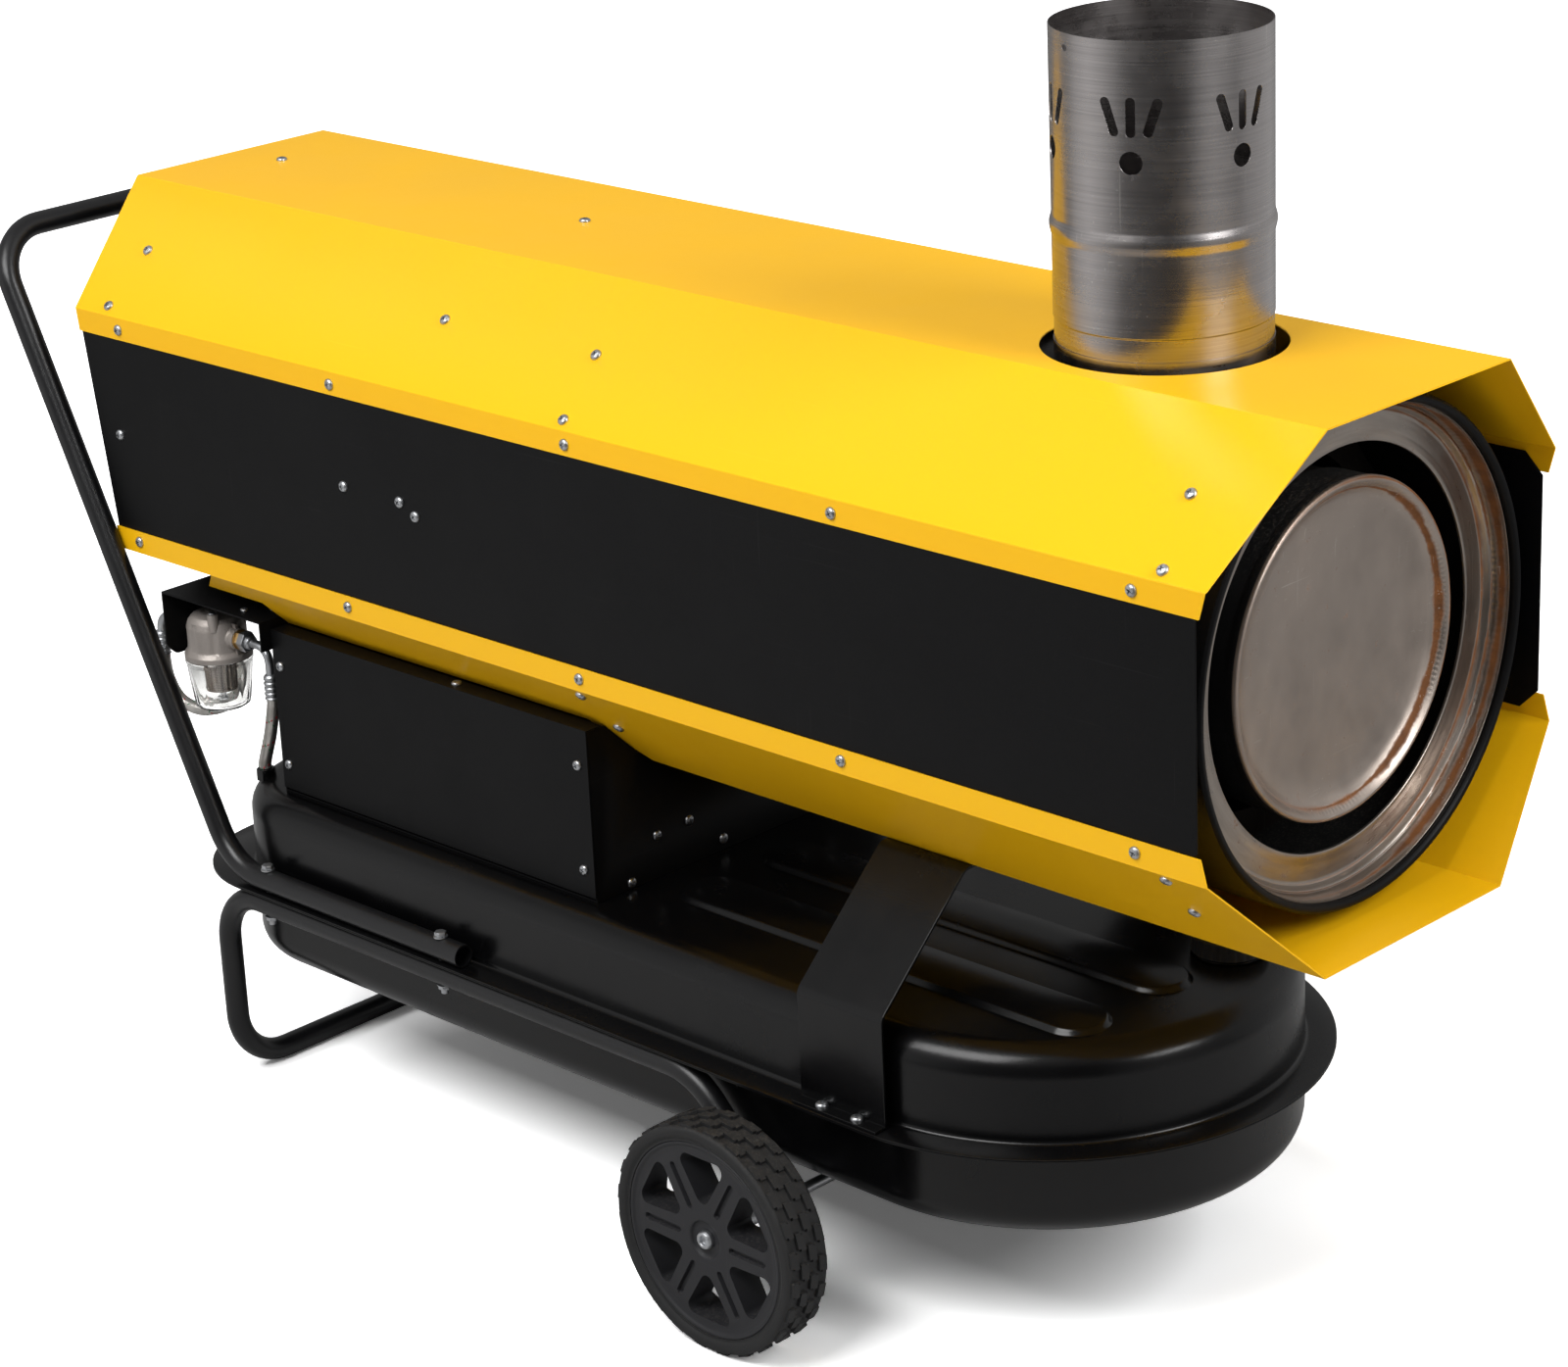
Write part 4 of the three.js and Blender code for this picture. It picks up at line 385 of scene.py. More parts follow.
def weighted(thing):
    """Keeps the flats flat beside rounded edges."""
    even = thing.modifiers.new("even", "WEIGHTED_NORMAL")
    even.keep_sharp, even.mode, even.weight = True, "FACE_AREA", 90
    return baked(thing)


FOLD_FROM, FOLD_TO = 18, 60  # degrees; an edge that bends by more is a cut edge
FOLD_STEPS, INNER_SHARE = 3, 0.41  # an inner bend is tighter by this share of the sheet


def eased_edges(thing, fold, hem, sheet=1.5, sharp=32.0):
    """Joins the flats of a plate piece, and rounds its folds and its cut edges."""
    mesh = thing.data
    bm = bmesh.new()
    bm.from_mesh(mesh)
    bmesh.ops.remove_doubles(bm, verts=bm.verts, dist=WELD)
    bmesh.ops.dissolve_limit(bm, angle_limit=math.radians(0.6), verts=bm.verts, edges=bm.edges)

    def between(low, high, outside=None):
        for edge in bm.edges:
            if len(edge.link_faces) == 2:
                bend = math.degrees(edge.calc_face_angle(0.0))
                if low < bend <= high and (outside is None or edge.is_convex == outside):
                    yield edge

    def rounded(edges, offset, segments):
        if edges and offset > 0:
            bmesh.ops.bevel(
                bm, geom=edges, offset=offset * MM, segments=segments, profile=0.5,
                affect="EDGES", clamp_overlap=True, miter_outer="SHARP",
            )

    if fold > 0:
        rounded(list(between(FOLD_FROM, FOLD_TO, True)), fold, FOLD_STEPS)
        rounded(list(between(FOLD_FROM, FOLD_TO, False)), max(fold - sheet * INNER_SHARE, 0.3), FOLD_STEPS)
    rounded(list(between(FOLD_TO, 180)), hem, 2)
    bm.normal_update()
    bm.to_mesh(mesh)
    bm.free()
    smoothed(mesh, sharp)
    return weighted(thing)


def copied(node, name, material, fold=0.0, hem=0.3, sheet=1.5, cutters=()):
    """A finer copy of a CAD piece, with the same shape."""
    bm = bmesh.new()
    bm.from_mesh(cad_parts[node].data)
    bmesh.ops.remove_doubles(bm, verts=bm.verts, dist=WELD)
    thing = built(name, bm, material)
    if cutters:
        carved(thing, *cutters)
    return eased_edges(thing, fold, hem, sheet)


def mounted(thing, body, slot, *nodes):
    """The piece moves with this body and stands for these CAD nodes, which are hidden; slot is not used."""
    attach(thing, body)
    if nodes:
        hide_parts(*nodes)
    return thing


def fixed(thing, slot, *nodes):
    """A piece that stays with the heater itself."""
    return mounted(thing, "heater", slot, *nodes)


AXES = {
    "X": lambda r, a, c, s: (a, r * c, r * s),
    "Y": lambda r, a, c, s: (r * s, a, r * c),
    "Z": lambda r, a, c, s: (r * c, r * s, a),
}


def skinned(bm, rings, loop=False):
    """Faces between rings of corners; a ring of one corner is a point."""
    steps = max(len(ring) for ring in rings)
    for low, high in zip(rings, rings[1:] + (rings[:1] if loop else [])):
        for i in range(steps):
            k = i + 1
            corners = [low[i % len(low)], low[k % len(low)], high[k % len(high)], high[i % len(high)]]
            corners = list(dict.fromkeys(corners))
            if len(corners) > 2:
                bm.faces.new(corners)


def solid(name, bm, material, sharp=32.0):
    """An object of a closed bmesh, with all its faces turned outwards."""
    bmesh.ops.recalc_face_normals(bm, faces=bm.faces)
    return built(name, bm, material, sharp)


def capped(name, bm, rings, material, sharp=32.0):
    """An object of a run of rings, closed by a flat face at each end."""
    skinned(bm, rings)
    bm.faces.new(rings[0][::-1])
    bm.faces.new(rings[-1])
    return solid(name, bm, material, sharp)


def turned(name, profile, axis, centre, material, steps=96, sharp=32.0, wave=None):
    """Turns a closed profile of (radius, place along the axis) in mm; wave changes the radius by angle."""
    bm = bmesh.new()
    rings = []
    for row, (radius, along) in enumerate(profile):
        ring = []
        for i in range(1 if radius < 1e-6 else steps):
            angle = 2 * math.pi * i / steps
            r = radius if wave is None else wave(radius, along, angle, row)
            spot = AXES[axis](r, along, math.cos(angle), math.sin(angle))
            ring.append(bm.verts.new([(c + p) * MM for c, p in zip(centre, spot)]))
        rings.append(ring)
    skinned(bm, rings, loop=len(rings[0]) > 1)
    return solid(name, bm, material, sharp)


def eased(points, radius, steps=4, closed=False):
    """The same line of points with its corners rounded."""
    line = [Vector(p) for p in points]
    count = len(line)
    made = []
    for i, corner in enumerate(line):
        if not closed and i in (0, count - 1):
            made.append(corner)
            continue
        before, after = line[i - 1], line[(i + 1) % count]
        room = min(radius, (before - corner).length * 0.45, (after - corner).length * 0.45)
        start = corner + (before - corner).normalized() * room
        end = corner + (after - corner).normalized() * room
        for k in range(steps + 1):
            t = k / steps
            made.append(start * (1 - t) ** 2 + corner * 2 * t * (1 - t) + end * t**2)
    return [tuple(p) for p in made]


def rod(radius, start, end, ease=0.0, steps=2):
    """The profile of a round bar; ease rounds its rims."""
    profile = [(0, start), (radius, start), (radius, end), (0, end)]
    return eased(profile, ease, steps) if ease else profile


def sheet_line(points, thickness):
    """The closed outline of a sheet whose one side is this line."""
    line = [Vector(p) for p in points]
    moved = []
    for i, spot in enumerate(line):
        run = line[min(i + 1, len(line) - 1)] - line[max(i - 1, 0)]
        moved.append(spot + Vector((-run.y, run.x)).normalized() * thickness)
    return [tuple(p) for p in line] + [tuple(p) for p in reversed(moved)]


def centred(behind, level=0.0):
    return (x_at(behind), 0.0, AXIS + level)


ON_AXIS = (0, 0, AXIS)


def tapered(name, first, last, low, high, place, material):
    """A body between two outlines in mm; place maps (u, v, w) to a point in mm."""
    bm = bmesh.new()
    ends = ((first, low), (last, high))
    rings = [[bm.verts.new(Vector(place(u, v, w)) * MM) for u, v in outline] for outline, w in ends]
    return capped(name, bm, rings, material)


def prism(name, outline, low, high, place, material):
    """An outline pushed straight from low to high."""
    return tapered(name, outline, outline, low, high, place, material)


yellow_paint = coated(
    "yellow_powder_coat", shade("fcbf10"), 0.3, ripple=0.04, tone=0.04, wiped=0.06, scratched=0.12, dusty=0.02,
    specular=0.26,
)
FLUE_BEHIND, COVER_HOLE = 283.0, 113.15
hole = turned("hole", rod(COVER_HOLE, -40, 40), "Z", centred(FLUE_BEHIND, 252), yellow_paint, 144)
above = copied("top_cover", "cover_above", yellow_paint, fold=3.2, hem=0.35, cutters=[hole])
fixed(above, "yellow_paint", "top_cover")
NOTCH = [(x_at(1570), -700), (x_at(1400), -700), (x_at(1400), -133.9), (x_at(1570), -133.9)]
notch = prism("notch", NOTCH, 150, 260, lambda u, v, w: (u, w, AXIS + v), yellow_paint)
below = copied("lower_cover", "cover_below", yellow_paint, fold=3.2, hem=0.35, cutters=[notch])
fixed(below, "yellow_paint", "lower_cover")

# ---------------------------------------------------------------- side panels
# A flat plate of black powder-coated steel closes each side, behind the flanges of the two
# covers. Its front corners are cut off where the duct comes close.

black_paint = coated(
    "black_powder_coat", shade("0c0c0d"), 0.42, grain=1100, ripple=0.1, tone=0.2, wiped=0.08, scratched=0.12,
    dusty=0.01, specular=0.12,
)
# Its inner side still wears the creased protective film of the sheet.
panel_film = coated(
    "creased_film", shade("0e0e11"), 0.2, grain=38, ripple=1.0, tone=0.3, scratched=0.1, dusty=0.0, specular=0.6
)


def refaced(thing, material, chosen):
    """Gives the chosen faces of a piece a second finish."""
    thing.data.materials.append(material)
    for face in thing.data.polygons:
        if chosen(face):
            face.material_index = 1


for side in ("left", "right"):
    panel = copied("side_panel_" + side, "panel_" + side, black_paint, hem=0.35)
    refaced(panel, panel_film, lambda face: face.normal.y * face.center.y < 0 and abs(face.normal.y) > 0.9)
    fixed(panel, "black_paint", "side_panel_" + side)

# ---------------------------------------------------------------- casing screws
# Zinc-plated pan-head screws hold the covers and panels. Each has a cross recess and stands
# turned as its driver left it.

zinc_plate = coated(
    "zinc_plate", shade("c3c5c8"), 0.3, metallic=1.0, grain=1400, ripple=0.05, tone=0.25, wiped=0.2, drift=60,
    dusty=0.06,
)
SCREW_SIDES, CROSS_ARMS = 24, 4


def screw_head():
    """A screw head of radius 1 with its seat at zero."""

    def star(angle_step):
        place = angle_step % (SCREW_SIDES // CROSS_ARMS)
        return 0.46 if place in (0, 1, SCREW_SIDES // CROSS_ARMS - 1) else 0.2

    rows = [(1.0, -0.05), (1.0, 0.16), (0.93, 0.34), (0.74, 0.5), (None, 0.58), (None, 0.22)]
    bm = bmesh.new()
    rings = []
    for radius, height in rows:
        ring = []
        for i in range(SCREW_SIDES):
            angle = 2 * math.pi * i / SCREW_SIDES
            r = star(i) if radius is None else radius
            ring.append(bm.verts.new((r * math.cos(angle), r * math.sin(angle), height)))
        rings.append(ring)
    return capped("screw_head", bm, rings, zinc_plate, 30)


def grower(name, **inputs):
    """A Geometry Nodes tree with these inputs, given as the kinds of their sockets."""
    tree = bpy.data.node_groups.new(name, "GeometryNodeTree")
    for label, kind in {"Geometry": "Geometry", **inputs, "Finish": "Material"}.items():
        tree.interface.new_socket(label, in_out="INPUT", socket_type="NodeSocket" + kind)
    tree.interface.new_socket("Geometry", in_out="OUTPUT", socket_type="NodeSocketGeometry")
    return tree, put(tree, "NodeGroupInput").outputs


def realized(tree, geometry, finish):
    """Ends a Geometry Nodes tree: all copies made real, in one finish."""
    whole = out(tree, "GeometryNodeRealizeInstances", {"Geometry": geometry})
    done = out(tree, "GeometryNodeSetMaterial", {"Geometry": whole, "Material": finish})
    put(tree, "NodeGroupOutput", {"Geometry": done})
    return tree


def scatter_tree():
    """Geometry Nodes: one copy of a template on each point, facing the way that the point says."""
    tree, given = grower("fasteners_on_points", Template="Object", Radius="Float", Seed="Int")
    template = put(tree, "GeometryNodeObjectInfo", {"Object": given["Template"]}).outputs["Geometry"]
    facing = out(tree, "GeometryNodeInputNamedAttribute", {"Name": "facing"}, data_type="FLOAT_VECTOR")
    aligned = out(tree, "FunctionNodeAlignRotationToVector", {"Vector": facing}, axis="Z")
    turn = put(tree, "FunctionNodeRandomValue", {2: 0.0, 3: 6.283, "Seed": given["Seed"]}, data_type="FLOAT")
    spin = out(tree, "FunctionNodeAxisAngleToRotation", {"Axis": (0, 0, 1), "Angle": turn.outputs[1]})
    rotation = out(
        tree, "FunctionNodeRotateRotation", {"Rotation": aligned, "Rotate By": spin}, rotation_space="LOCAL"
    )
    feeds = {"Points": given["Geometry"], "Instance": template, "Rotation": rotation, "Scale": given["Radius"]}
    return realized(tree, out(tree, "GeometryNodeInstanceOnPoints", feeds), given["Finish"])


fastener_tree = scatter_tree()


def socket_id(tree, name):
    return next(s.identifier for s in tree.interface.items_tree if s.name == name and s.in_out == "INPUT")


def grown(name, carrier, tree, values):
    """Runs a Geometry Nodes tree on a carrier mesh and keeps the result as a plain mesh."""
    thing = bpy.data.objects.new(name, carrier)
    bpy.context.scene.collection.objects.link(thing)
    step = thing.modifiers.new("grow", "NODES")
    step.node_group = tree
    for label, value in values.items():
        step[socket_id(tree, label)] = value
    bpy.context.view_layer.update()
    return baked(thing)


def screwed(name, spots, radius, seed):
    """Screws at these (place in mm, outward direction) spots."""
    carrier = bpy.data.meshes.new(name)
    carrier.from_pydata([Vector(spot) * MM for spot, _ in spots], [], [])
    facing = carrier.attributes.new("facing", "FLOAT_VECTOR", "POINT")
    for i, (_, way) in enumerate(spots):
        facing.data[i].vector = way
    values = {"Template": template, "Radius": radius * MM, "Seed": seed, "Finish": zinc_plate}
    thing = grown(name, carrier, fastener_tree, values)
    thing.data.set_sharp_from_angle(angle=math.radians(30))
    fixed(thing, "zinc")


SLANT = math.atan2(255 - 132.4, 252 - 133.5)
SLANT_OUT = (0, math.cos(SLANT), math.sin(SLANT))
SCREW_RADIUS = 6.0
HALF_LENGTH = 840  # the slants of the lower cover have screws in its front half only
# Level above the centre line, distance from the middle, places behind the front, direction.
COVER_SCREWS = [
    (192.5, 194.0, (1539, 1052, 831, 96), SLANT_OUT),
    (141.2, 247.0, (1547, 825, 84), SLANT_OUT),
    (120.0, 255.0, (1523, 1169, 817, 463, 112), (0, 1, 0)),
]
spots = [((x_at(b), 6.0, AXIS + 252.0), (0, 0, 1)) for b in (1549, 1056)]
for side in (-1, 1):
    for rise, offset, places, way in COVER_SCREWS:
        for half in (1, -1):
            spots += [
                ((x_at(b), side * offset, AXIS + half * rise), (0, side * way[1], half * way[2]))
                for b in places
                if half > 0 or way is not SLANT_OUT or b <= HALF_LENGTH
            ]
    for b, rise in ((1541, -1), (1162, 12), (1074, 12), (1051, 1)):
        spots.append(((x_at(b), side * 253.2, AXIS + rise), (0, side, 0)))
template = screw_head()
screwed("casing_screws", spots, SCREW_RADIUS, 3)

# ---------------------------------------------------------------- air duct
# The round inner wall of the casing is rolled from one black-coated sheet, with a bead at its
# mouth. The fan blows through it past the chamber and out at the front.

DUCT_OUTER = 237.0
# The same dark enamel also stands as painted shade on the chamber end's turned-back wall and on the front spider, deep
# in the outlet gap.
dark_enamel_and_gap_shade = coated(
    "duct_enamel_and_gap_shade", shade("1b1b1c"), 0.36, grain=500, ripple=0.25, tone=0.35, wiped=0.22, scratched=0.4, dusty=0.2
)


def on_axis(profile):
    """A profile whose places are given as distances behind the casing's front edge."""
    return [(r, x_at(behind)) for r, behind in profile]


mouth_bead = on_axis([(235.5, 66), (230.5, 64), (228.0, 61), (228.0, 57.8), (230.5, 54.6), (234.5, 54.0), (237.0, 57)])
outline = eased(mouth_bead, 1.4, 4) + on_axis([(237.0, 1556), (235.5, 1556)])
duct = turned("duct_wall", outline, "X", ON_AXIS, dark_enamel_and_gap_shade, 160)
flue_cut = turned("flue_cut", rod(100.9, 0, 260), "Z", centred(FLUE_BEHIND), dark_enamel_and_gap_shade, 96)
refaced(duct, black_paint, lambda face: face.center.x > x_at(67) * MM)
fixed(carved(duct, flue_cut), "black_paint", "air_duct")

# ---------------------------------------------------------------- outlet ring and chamber end
# A pressed ring of bare steel narrows the duct to an annular outlet round the dished end of
# the combustion chamber. Both have heat tints and a little rust where the metal was rolled.

stain_group, ins = effect(
    "heat_rust", {"Radius": 0.15, "Width": 0.01, "Lumps": 18.0, "Cover": 0.5}, ["Band", "Spots"]
)
tree = stain_group
where = spot_of(tree)


def about_axis(tree, where):
    """Distance and angle about the casing's centre line."""
    parts = split(tree, where)
    rise = sums(tree, "SUBTRACT", parts["Z"], AXIS * MM)
    square = sums(tree, "ADD", sums(tree, "POWER", parts["Y"], 2.0), sums(tree, "POWER", rise, 2.0))
    return sums(tree, "SQRT", square), sums(tree, "ARCTAN2", rise, parts["Y"])


def clipped(tree, value):
    """The value, kept between 0 and 1."""
    return sums(tree, "MINIMUM", sums(tree, "MAXIMUM", value, 0.0), 1.0)


radius, _ = about_axis(tree, where)
away = sums(tree, "ABSOLUTE", sums(tree, "SUBTRACT", radius, ins["Radius"]))
wander = noise(tree, where, ins["Lumps"], 5.0, 0.65)
reach = times(tree, ins["Width"], graded(tree, wander, 3.0, -0.9))
band = clipped(tree, sums(tree, "SUBTRACT", 1.0, sums(tree, "DIVIDE", away, sums(tree, "MAXIMUM", reach, 0.0005))))
near = sums(tree, "SUBTRACT", noise(tree, where, 70.0, 4.0, 0.7), ins["Cover"])
put(tree, "NodeGroupOutput", {"Band": band, "Spots": clipped(tree, times(tree, near, 8.0))})


def bare_steel(name, colour, roughness, streak, bands, marks=0.0, press=None):
    """Uncoated steel sheet: streaks of the rolling mill, heat bands and rust spots, forming marks."""
    material, tree = new_material(name)
    where = spot_of(tree)
    skin = placed(tree, skin_group, Grain=700.0, Drift=9.0)
    wear = placed(tree, wear_group, Spread=14.0)
    lines = noise(tree, out(tree, "ShaderNodeMapping", {"Vector": where, "Scale": streak}), 1.0, 3.0, 0.65)
    base = blended(tree, window(tree, lines, 0.3, 0.7), toned(colour, 0.72), colour)
    base = blended(tree, times(tree, window(tree, skin["Tone"], 0.35, 0.75), 0.5), base, toned(colour, 0.8))
    rust = 0.0
    for radius, width, lumps, strength in bands:
        spot = placed(tree, stain_group, Radius=radius * MM, Width=width * MM, Lumps=lumps)
        rust = sums(tree, "MAXIMUM", rust, times(tree, spot["Band"], strength))
    if bands:  # the far side of the outlet has rusted most
        share = graded(tree, window(tree, split(tree, where)["Y"], -0.1, 0.1), 0.65, 0.35)
        rust = window(tree, times(tree, rust, share), 0.15, 0.6)
    if marks:
        spots = placed(tree, stain_group, Cover=0.64)
        rust = sums(tree, "MAXIMUM", rust, times(tree, spots["Spots"], marks))
    tint = blended(tree, noise(tree, where, 60.0, 3.0), shade("3f2514"), shade("99602f"))
    base = blended(tree, rust, base, tint)
    base = blended(tree, times(tree, wear["Scratch"], 0.35), base, shade("e2ded8"))
    gloss = graded(tree, wear["Smudge"], 0.12, graded(tree, lines, 0.12, roughness))
    gloss = graded(tree, rust, 0.35, gloss)
    height = graded(tree, lines, 0.6, times(tree, skin["Height"], 0.25))
    if press:
        count, low, high = press
        radius, angle = about_axis(tree, where)
        teeth = sums(tree, "SINE", times(tree, angle, count))
        rise = window(tree, radius, low * MM, (low + 1.5) * MM)
        fall = window(tree, radius, high * MM, (high - 1.5) * MM)
        sector = window(tree, noise(tree, where, 3.2, 1.0), 0.4, 0.52)
        height = graded(tree, times(tree, times(tree, teeth, times(tree, rise, fall)), sector), 1.6, height)
    metal = graded(tree, rust, -0.75, 1.0)
    relief = bumped(tree, 0.12, 0.0008, height)
    principled(tree, Base_Color=base, Roughness=gloss, Metallic=metal, Normal=relief)
    return material


ring_steel = bare_steel(
    "ring_steel", shade("b0a69d"), 0.22, (900, 14, 14),
    [(222.5, 3.0, 15.0, 1.0), (217.0, 4.0, 10.0, 0.7), (226.0, 2.5, 13.0, 0.8)], marks=0.8, press=(230, 222.4, 226.6),
)
RING_FACE = [
    (234.8, 84), (234.8, 67.5), (229.0, 64.5), (227.3, 61.5), (226.2, 69), (224.6, 77), (223.4, 79.6), (221.9, 78.0),
    (220.4, 79.8), (217.8, 85.4), (214.5, 86.6), (208.0, 86.2), (199.0, 85.2), (191.5, 83.5), (188.6, 83.5),
    (187.9, 86),
]
ring_face = eased(on_axis(RING_FACE), 1.1, 6)
ring = turned("ring_at_outlet", sheet_line(ring_face, 1.4), "X", ON_AXIS, ring_steel, 192, 50)
fixed(ring, "raw_steel", "outlet_ring")

end_steel = bare_steel(
    "chamber_end_steel", shade("b9aca2"), 0.29, (9, 11, 9),
    [(147.0, 5.5, 17.0, 1.0), (157.0, 4.0, 15.0, 0.8)], marks=0.6, press=(190, 147.0, 153.0),
)
RIM = 77.0  # the foremost line of the chamber's end, behind the casing's front


def behind_rim(profile):
    return on_axis([(r, RIM + depth) for r, depth in profile])


END_FACE = [
    (92, 18.2), (114, 17.2), (129, 15.4), (139.5, 12.4), (146.5, 8), (151, 3), (155.2, 0), (158.3, 1.5), (159.3, 5),
    (158.3, 11), (157.3, 15), (157.3, 48),
]
end_face = behind_rim([(0, 18.5), (60, 18.4)]) + eased(behind_rim(END_FACE), 9.0, 6)
end_back = behind_rim([(155.3, 48), (155.3, 14), (149, 10.5), (138, 17.5), (90, 20.6), (0, 21)])
chamber_end = turned("chamber_front", end_face + end_back, "X", ON_AXIS, end_steel, 160, 50)


def outer_wall(face):
    out_by = math.hypot(face.center.y, face.center.z - AXIS * MM)
    return out_by > 156.9 * MM and face.center.x < x_at(RIM + 4.5) * MM


# The turned-back wall of the bare steel chamber end, seen deep in the gap inside the ring, takes the dark duct enamel
# as painted shade.
refaced(chamber_end, dark_enamel_and_gap_shade, outer_wall)
fixed(chamber_end, "raw_steel", "chamber_end")

# ---------------------------------------------------------------- flue
# The flue is two lengths of rolled stainless sheet: a socket that rises from the exchanger,
# and a pipe over it with a stiffening bead and six groups of draught slots.

flue_steel = bare_steel("flue_stainless", shade("b6b1b0"), 0.17, (7, 7, 620), [], marks=0.12)
FLUE_R, JOINT, BEAD_TOP, FLUE_TOP = 100.0, 259.3, 374.5, 545.0
wall_line = eased(
    [
        (FLUE_R - 0.8, JOINT), (FLUE_R - 0.8, 279.4), (FLUE_R, 280.6), (FLUE_R, 355.0), (FLUE_R + 2.0, 363.0),
        (FLUE_R + 2.0, 367.5), (FLUE_R, BEAD_TOP), (FLUE_R, FLUE_TOP),
    ],
    1.6, 3,
)
flue = turned("flue_wall", sheet_line(wall_line, 1.0), "Z", centred(FLUE_BEHIND), flue_steel, 144, 60)


def oval(length, width, steps=10, tilt=0.0, centre=(0.0, 0.0)):
    """A slot outline with round ends, standing upright and then tilted."""
    run = (length - width) / 2
    points = []
    for end in (1, -1):
        for i in range(steps + 1):
            angle = math.pi * i / steps + (0 if end > 0 else math.pi)
            points.append((width / 2 * math.cos(angle), end * run + width / 2 * math.sin(angle)))
    c, s = math.cos(tilt), math.sin(tilt)
    return [(centre[0] + u * c - v * s, centre[1] + u * s + v * c) for u, v in points]


def circle(radius, steps=24, centre=(0.0, 0.0)):
    angles = [2 * math.pi * i / steps for i in range(steps)]
    return [(centre[0] + radius * math.cos(a), centre[1] + radius * math.sin(a)) for a in angles]


vents = []
for group in range(6):
    turn = math.radians(-6.5 + 60 * group)

    def through(u, v, w, turn=turn):
        """u runs round the pipe, v up it, and w out from its middle."""
        return (
            x_at(FLUE_BEHIND) + w * math.cos(turn) - u * math.sin(turn),
            w * math.sin(turn) + u * math.cos(turn),
            AXIS + v,
        )

    for side in (-1, 0, 1):
        slot = oval(35.6, 8.9, 8, math.radians(-18 * side), (19.5 * side, 478))
        vents.append(prism("vent", slot, 85, 112, through, flue_steel))
    vents.append(prism("vent", circle(10.5, 28, (0, 438)), 85, 112, through, flue_steel))
vents.append(prism("vent", circle(3.0, 16, (-66, 532)), 60, 112, through, flue_steel))
carved(flue, *vents)


def rolled_wall(thing, low, high):
    """Shades a rolled wall by its true round shape, which the slots cut through it don't bend."""
    mesh = thing.data
    normals = [(0.0, 0.0, 0.0)] * len(mesh.loops)
    for face in mesh.polygons:
        heights = [mesh.vertices[v].co.z for v in face.vertices]
        if min(heights) < low or max(heights) > high:
            continue
        for loop in face.loop_indices:
            spot = mesh.vertices[mesh.loops[loop].vertex_index].co
            outward = Vector((spot.x - x_at(FLUE_BEHIND) * MM, spot.y, 0)).normalized()
            facing = face.normal.dot(outward)
            if abs(facing) > 0.9:
                normals[loop] = outward if facing > 0 else -outward
    mesh.normals_split_custom_set(normals)


rolled_wall(flue, (AXIS + BEAD_TOP - 0.5) * MM, (AXIS + FLUE_TOP + 1) * MM)
fixed(flue, "stainless", "flue_pipe")

socket_wall = [(97.8, 90), (100.0, 90), (100.0, 259.0), (98.8, 259.0), (98.8, 304.0), (97.8, 304.0)]
socket = turned("flue_socket_wall", socket_wall, "Z", centred(FLUE_BEHIND), flue_steel, 128)
fixed(socket, "stainless", "flue_socket")

# ---------------------------------------------------------------- fuel tank
# The tank is the base of the heater: two pressed halves of steel, welded together at a flange
# all round and coated in satin black. Two ribs stiffen its top, and a neck takes the filler cap.

tank_paint = coated(
    "tank_paint", shade("070708"), 0.2, grain=420, ripple=0.06, tone=0.25, wiped=0.1, scratched=0.15, dusty=0.006,
    drift=8, specular=0.3,
)
FLANGE_PLAN = (281.0, 157.0, 1500.0, 130.0)
SHELL_PLAN = (250.0, 188.0, 1460.0, 130.0)
RIB_PLAN = (37.0, 264.0, 820.0, 36.0)


def arc(x, y, radius, start, turn, steps):
    angles = [math.radians(start + turn * i / steps) for i in range(steps + 1)]
    return [(x + radius * math.cos(a), y + radius * math.sin(a)) for a in angles]


def tank_plan(plan, inset=0.0, front_steps=72, rear_steps=18):
    """Half width, front, rear and rear corner radius: a round front and round rear corners."""
    half, front, rear, corner = plan
    rear_x, rear_y = x_at(rear - corner), half - corner
    return (
        arc(x_at(front + half), 0, half - inset, -90, 180, front_steps)
        + arc(rear_x, rear_y, corner - inset, 90, 90, rear_steps)
        + arc(rear_x, -rear_y, corner - inset, 180, 90, rear_steps)
    )


def lofted(name, levels, material, sharp, shift=(0.0, 0.0)):
    """A closed body through outlines of equal point count at rising heights."""
    bm = bmesh.new()
    rings = [[bm.verts.new(((u + shift[0]) * MM, (v + shift[1]) * MM, h * MM)) for u, v in plan] for plan, h in levels]
    return capped(name, bm, rings, material, sharp)


def joined(name, material, *things, sharp=32.0):
    """Several bodies as one piece of one finish."""
    bm = bmesh.new()
    for thing in things:
        bm.from_mesh(thing.data)
    cleared(*things)
    return built(name, bm, material, sharp)


def hexagon(name, across, low, high, place, material, ease):
    """A hexagon nut or head with eased edges; across is from corner to corner."""
    bar = prism(name, circle(across / 2, 6), low, high, place, material)
    return eased_edges(bar, 0, ease, sharp=25)


SEAM_TOP, SEAM_LOW, TANK_TOP, TANK_LOW = 245.0, 241.7, 340.0, 143.0


def half_shell(flange_levels, wall_start, end, bend):
    """The outlines of one half and their heights, from its flange to its closed end."""
    way = 1 if end > wall_start else -1
    levels = [(tank_plan(FLANGE_PLAN, inset), height) for inset, height in flange_levels]
    for a in (math.pi / 2 * k / 5 for k in range(6)):
        levels.append((tank_plan(SHELL_PLAN, -5 * (1 - math.sin(a))), wall_start + way * 5 * (1 - math.cos(a))))
    for a in (math.pi / 2 * k / 12 for k in range(13)):
        levels.append((tank_plan(SHELL_PLAN, bend * (1 - math.cos(a))), end - way * bend * (1 - math.sin(a))))
    return levels


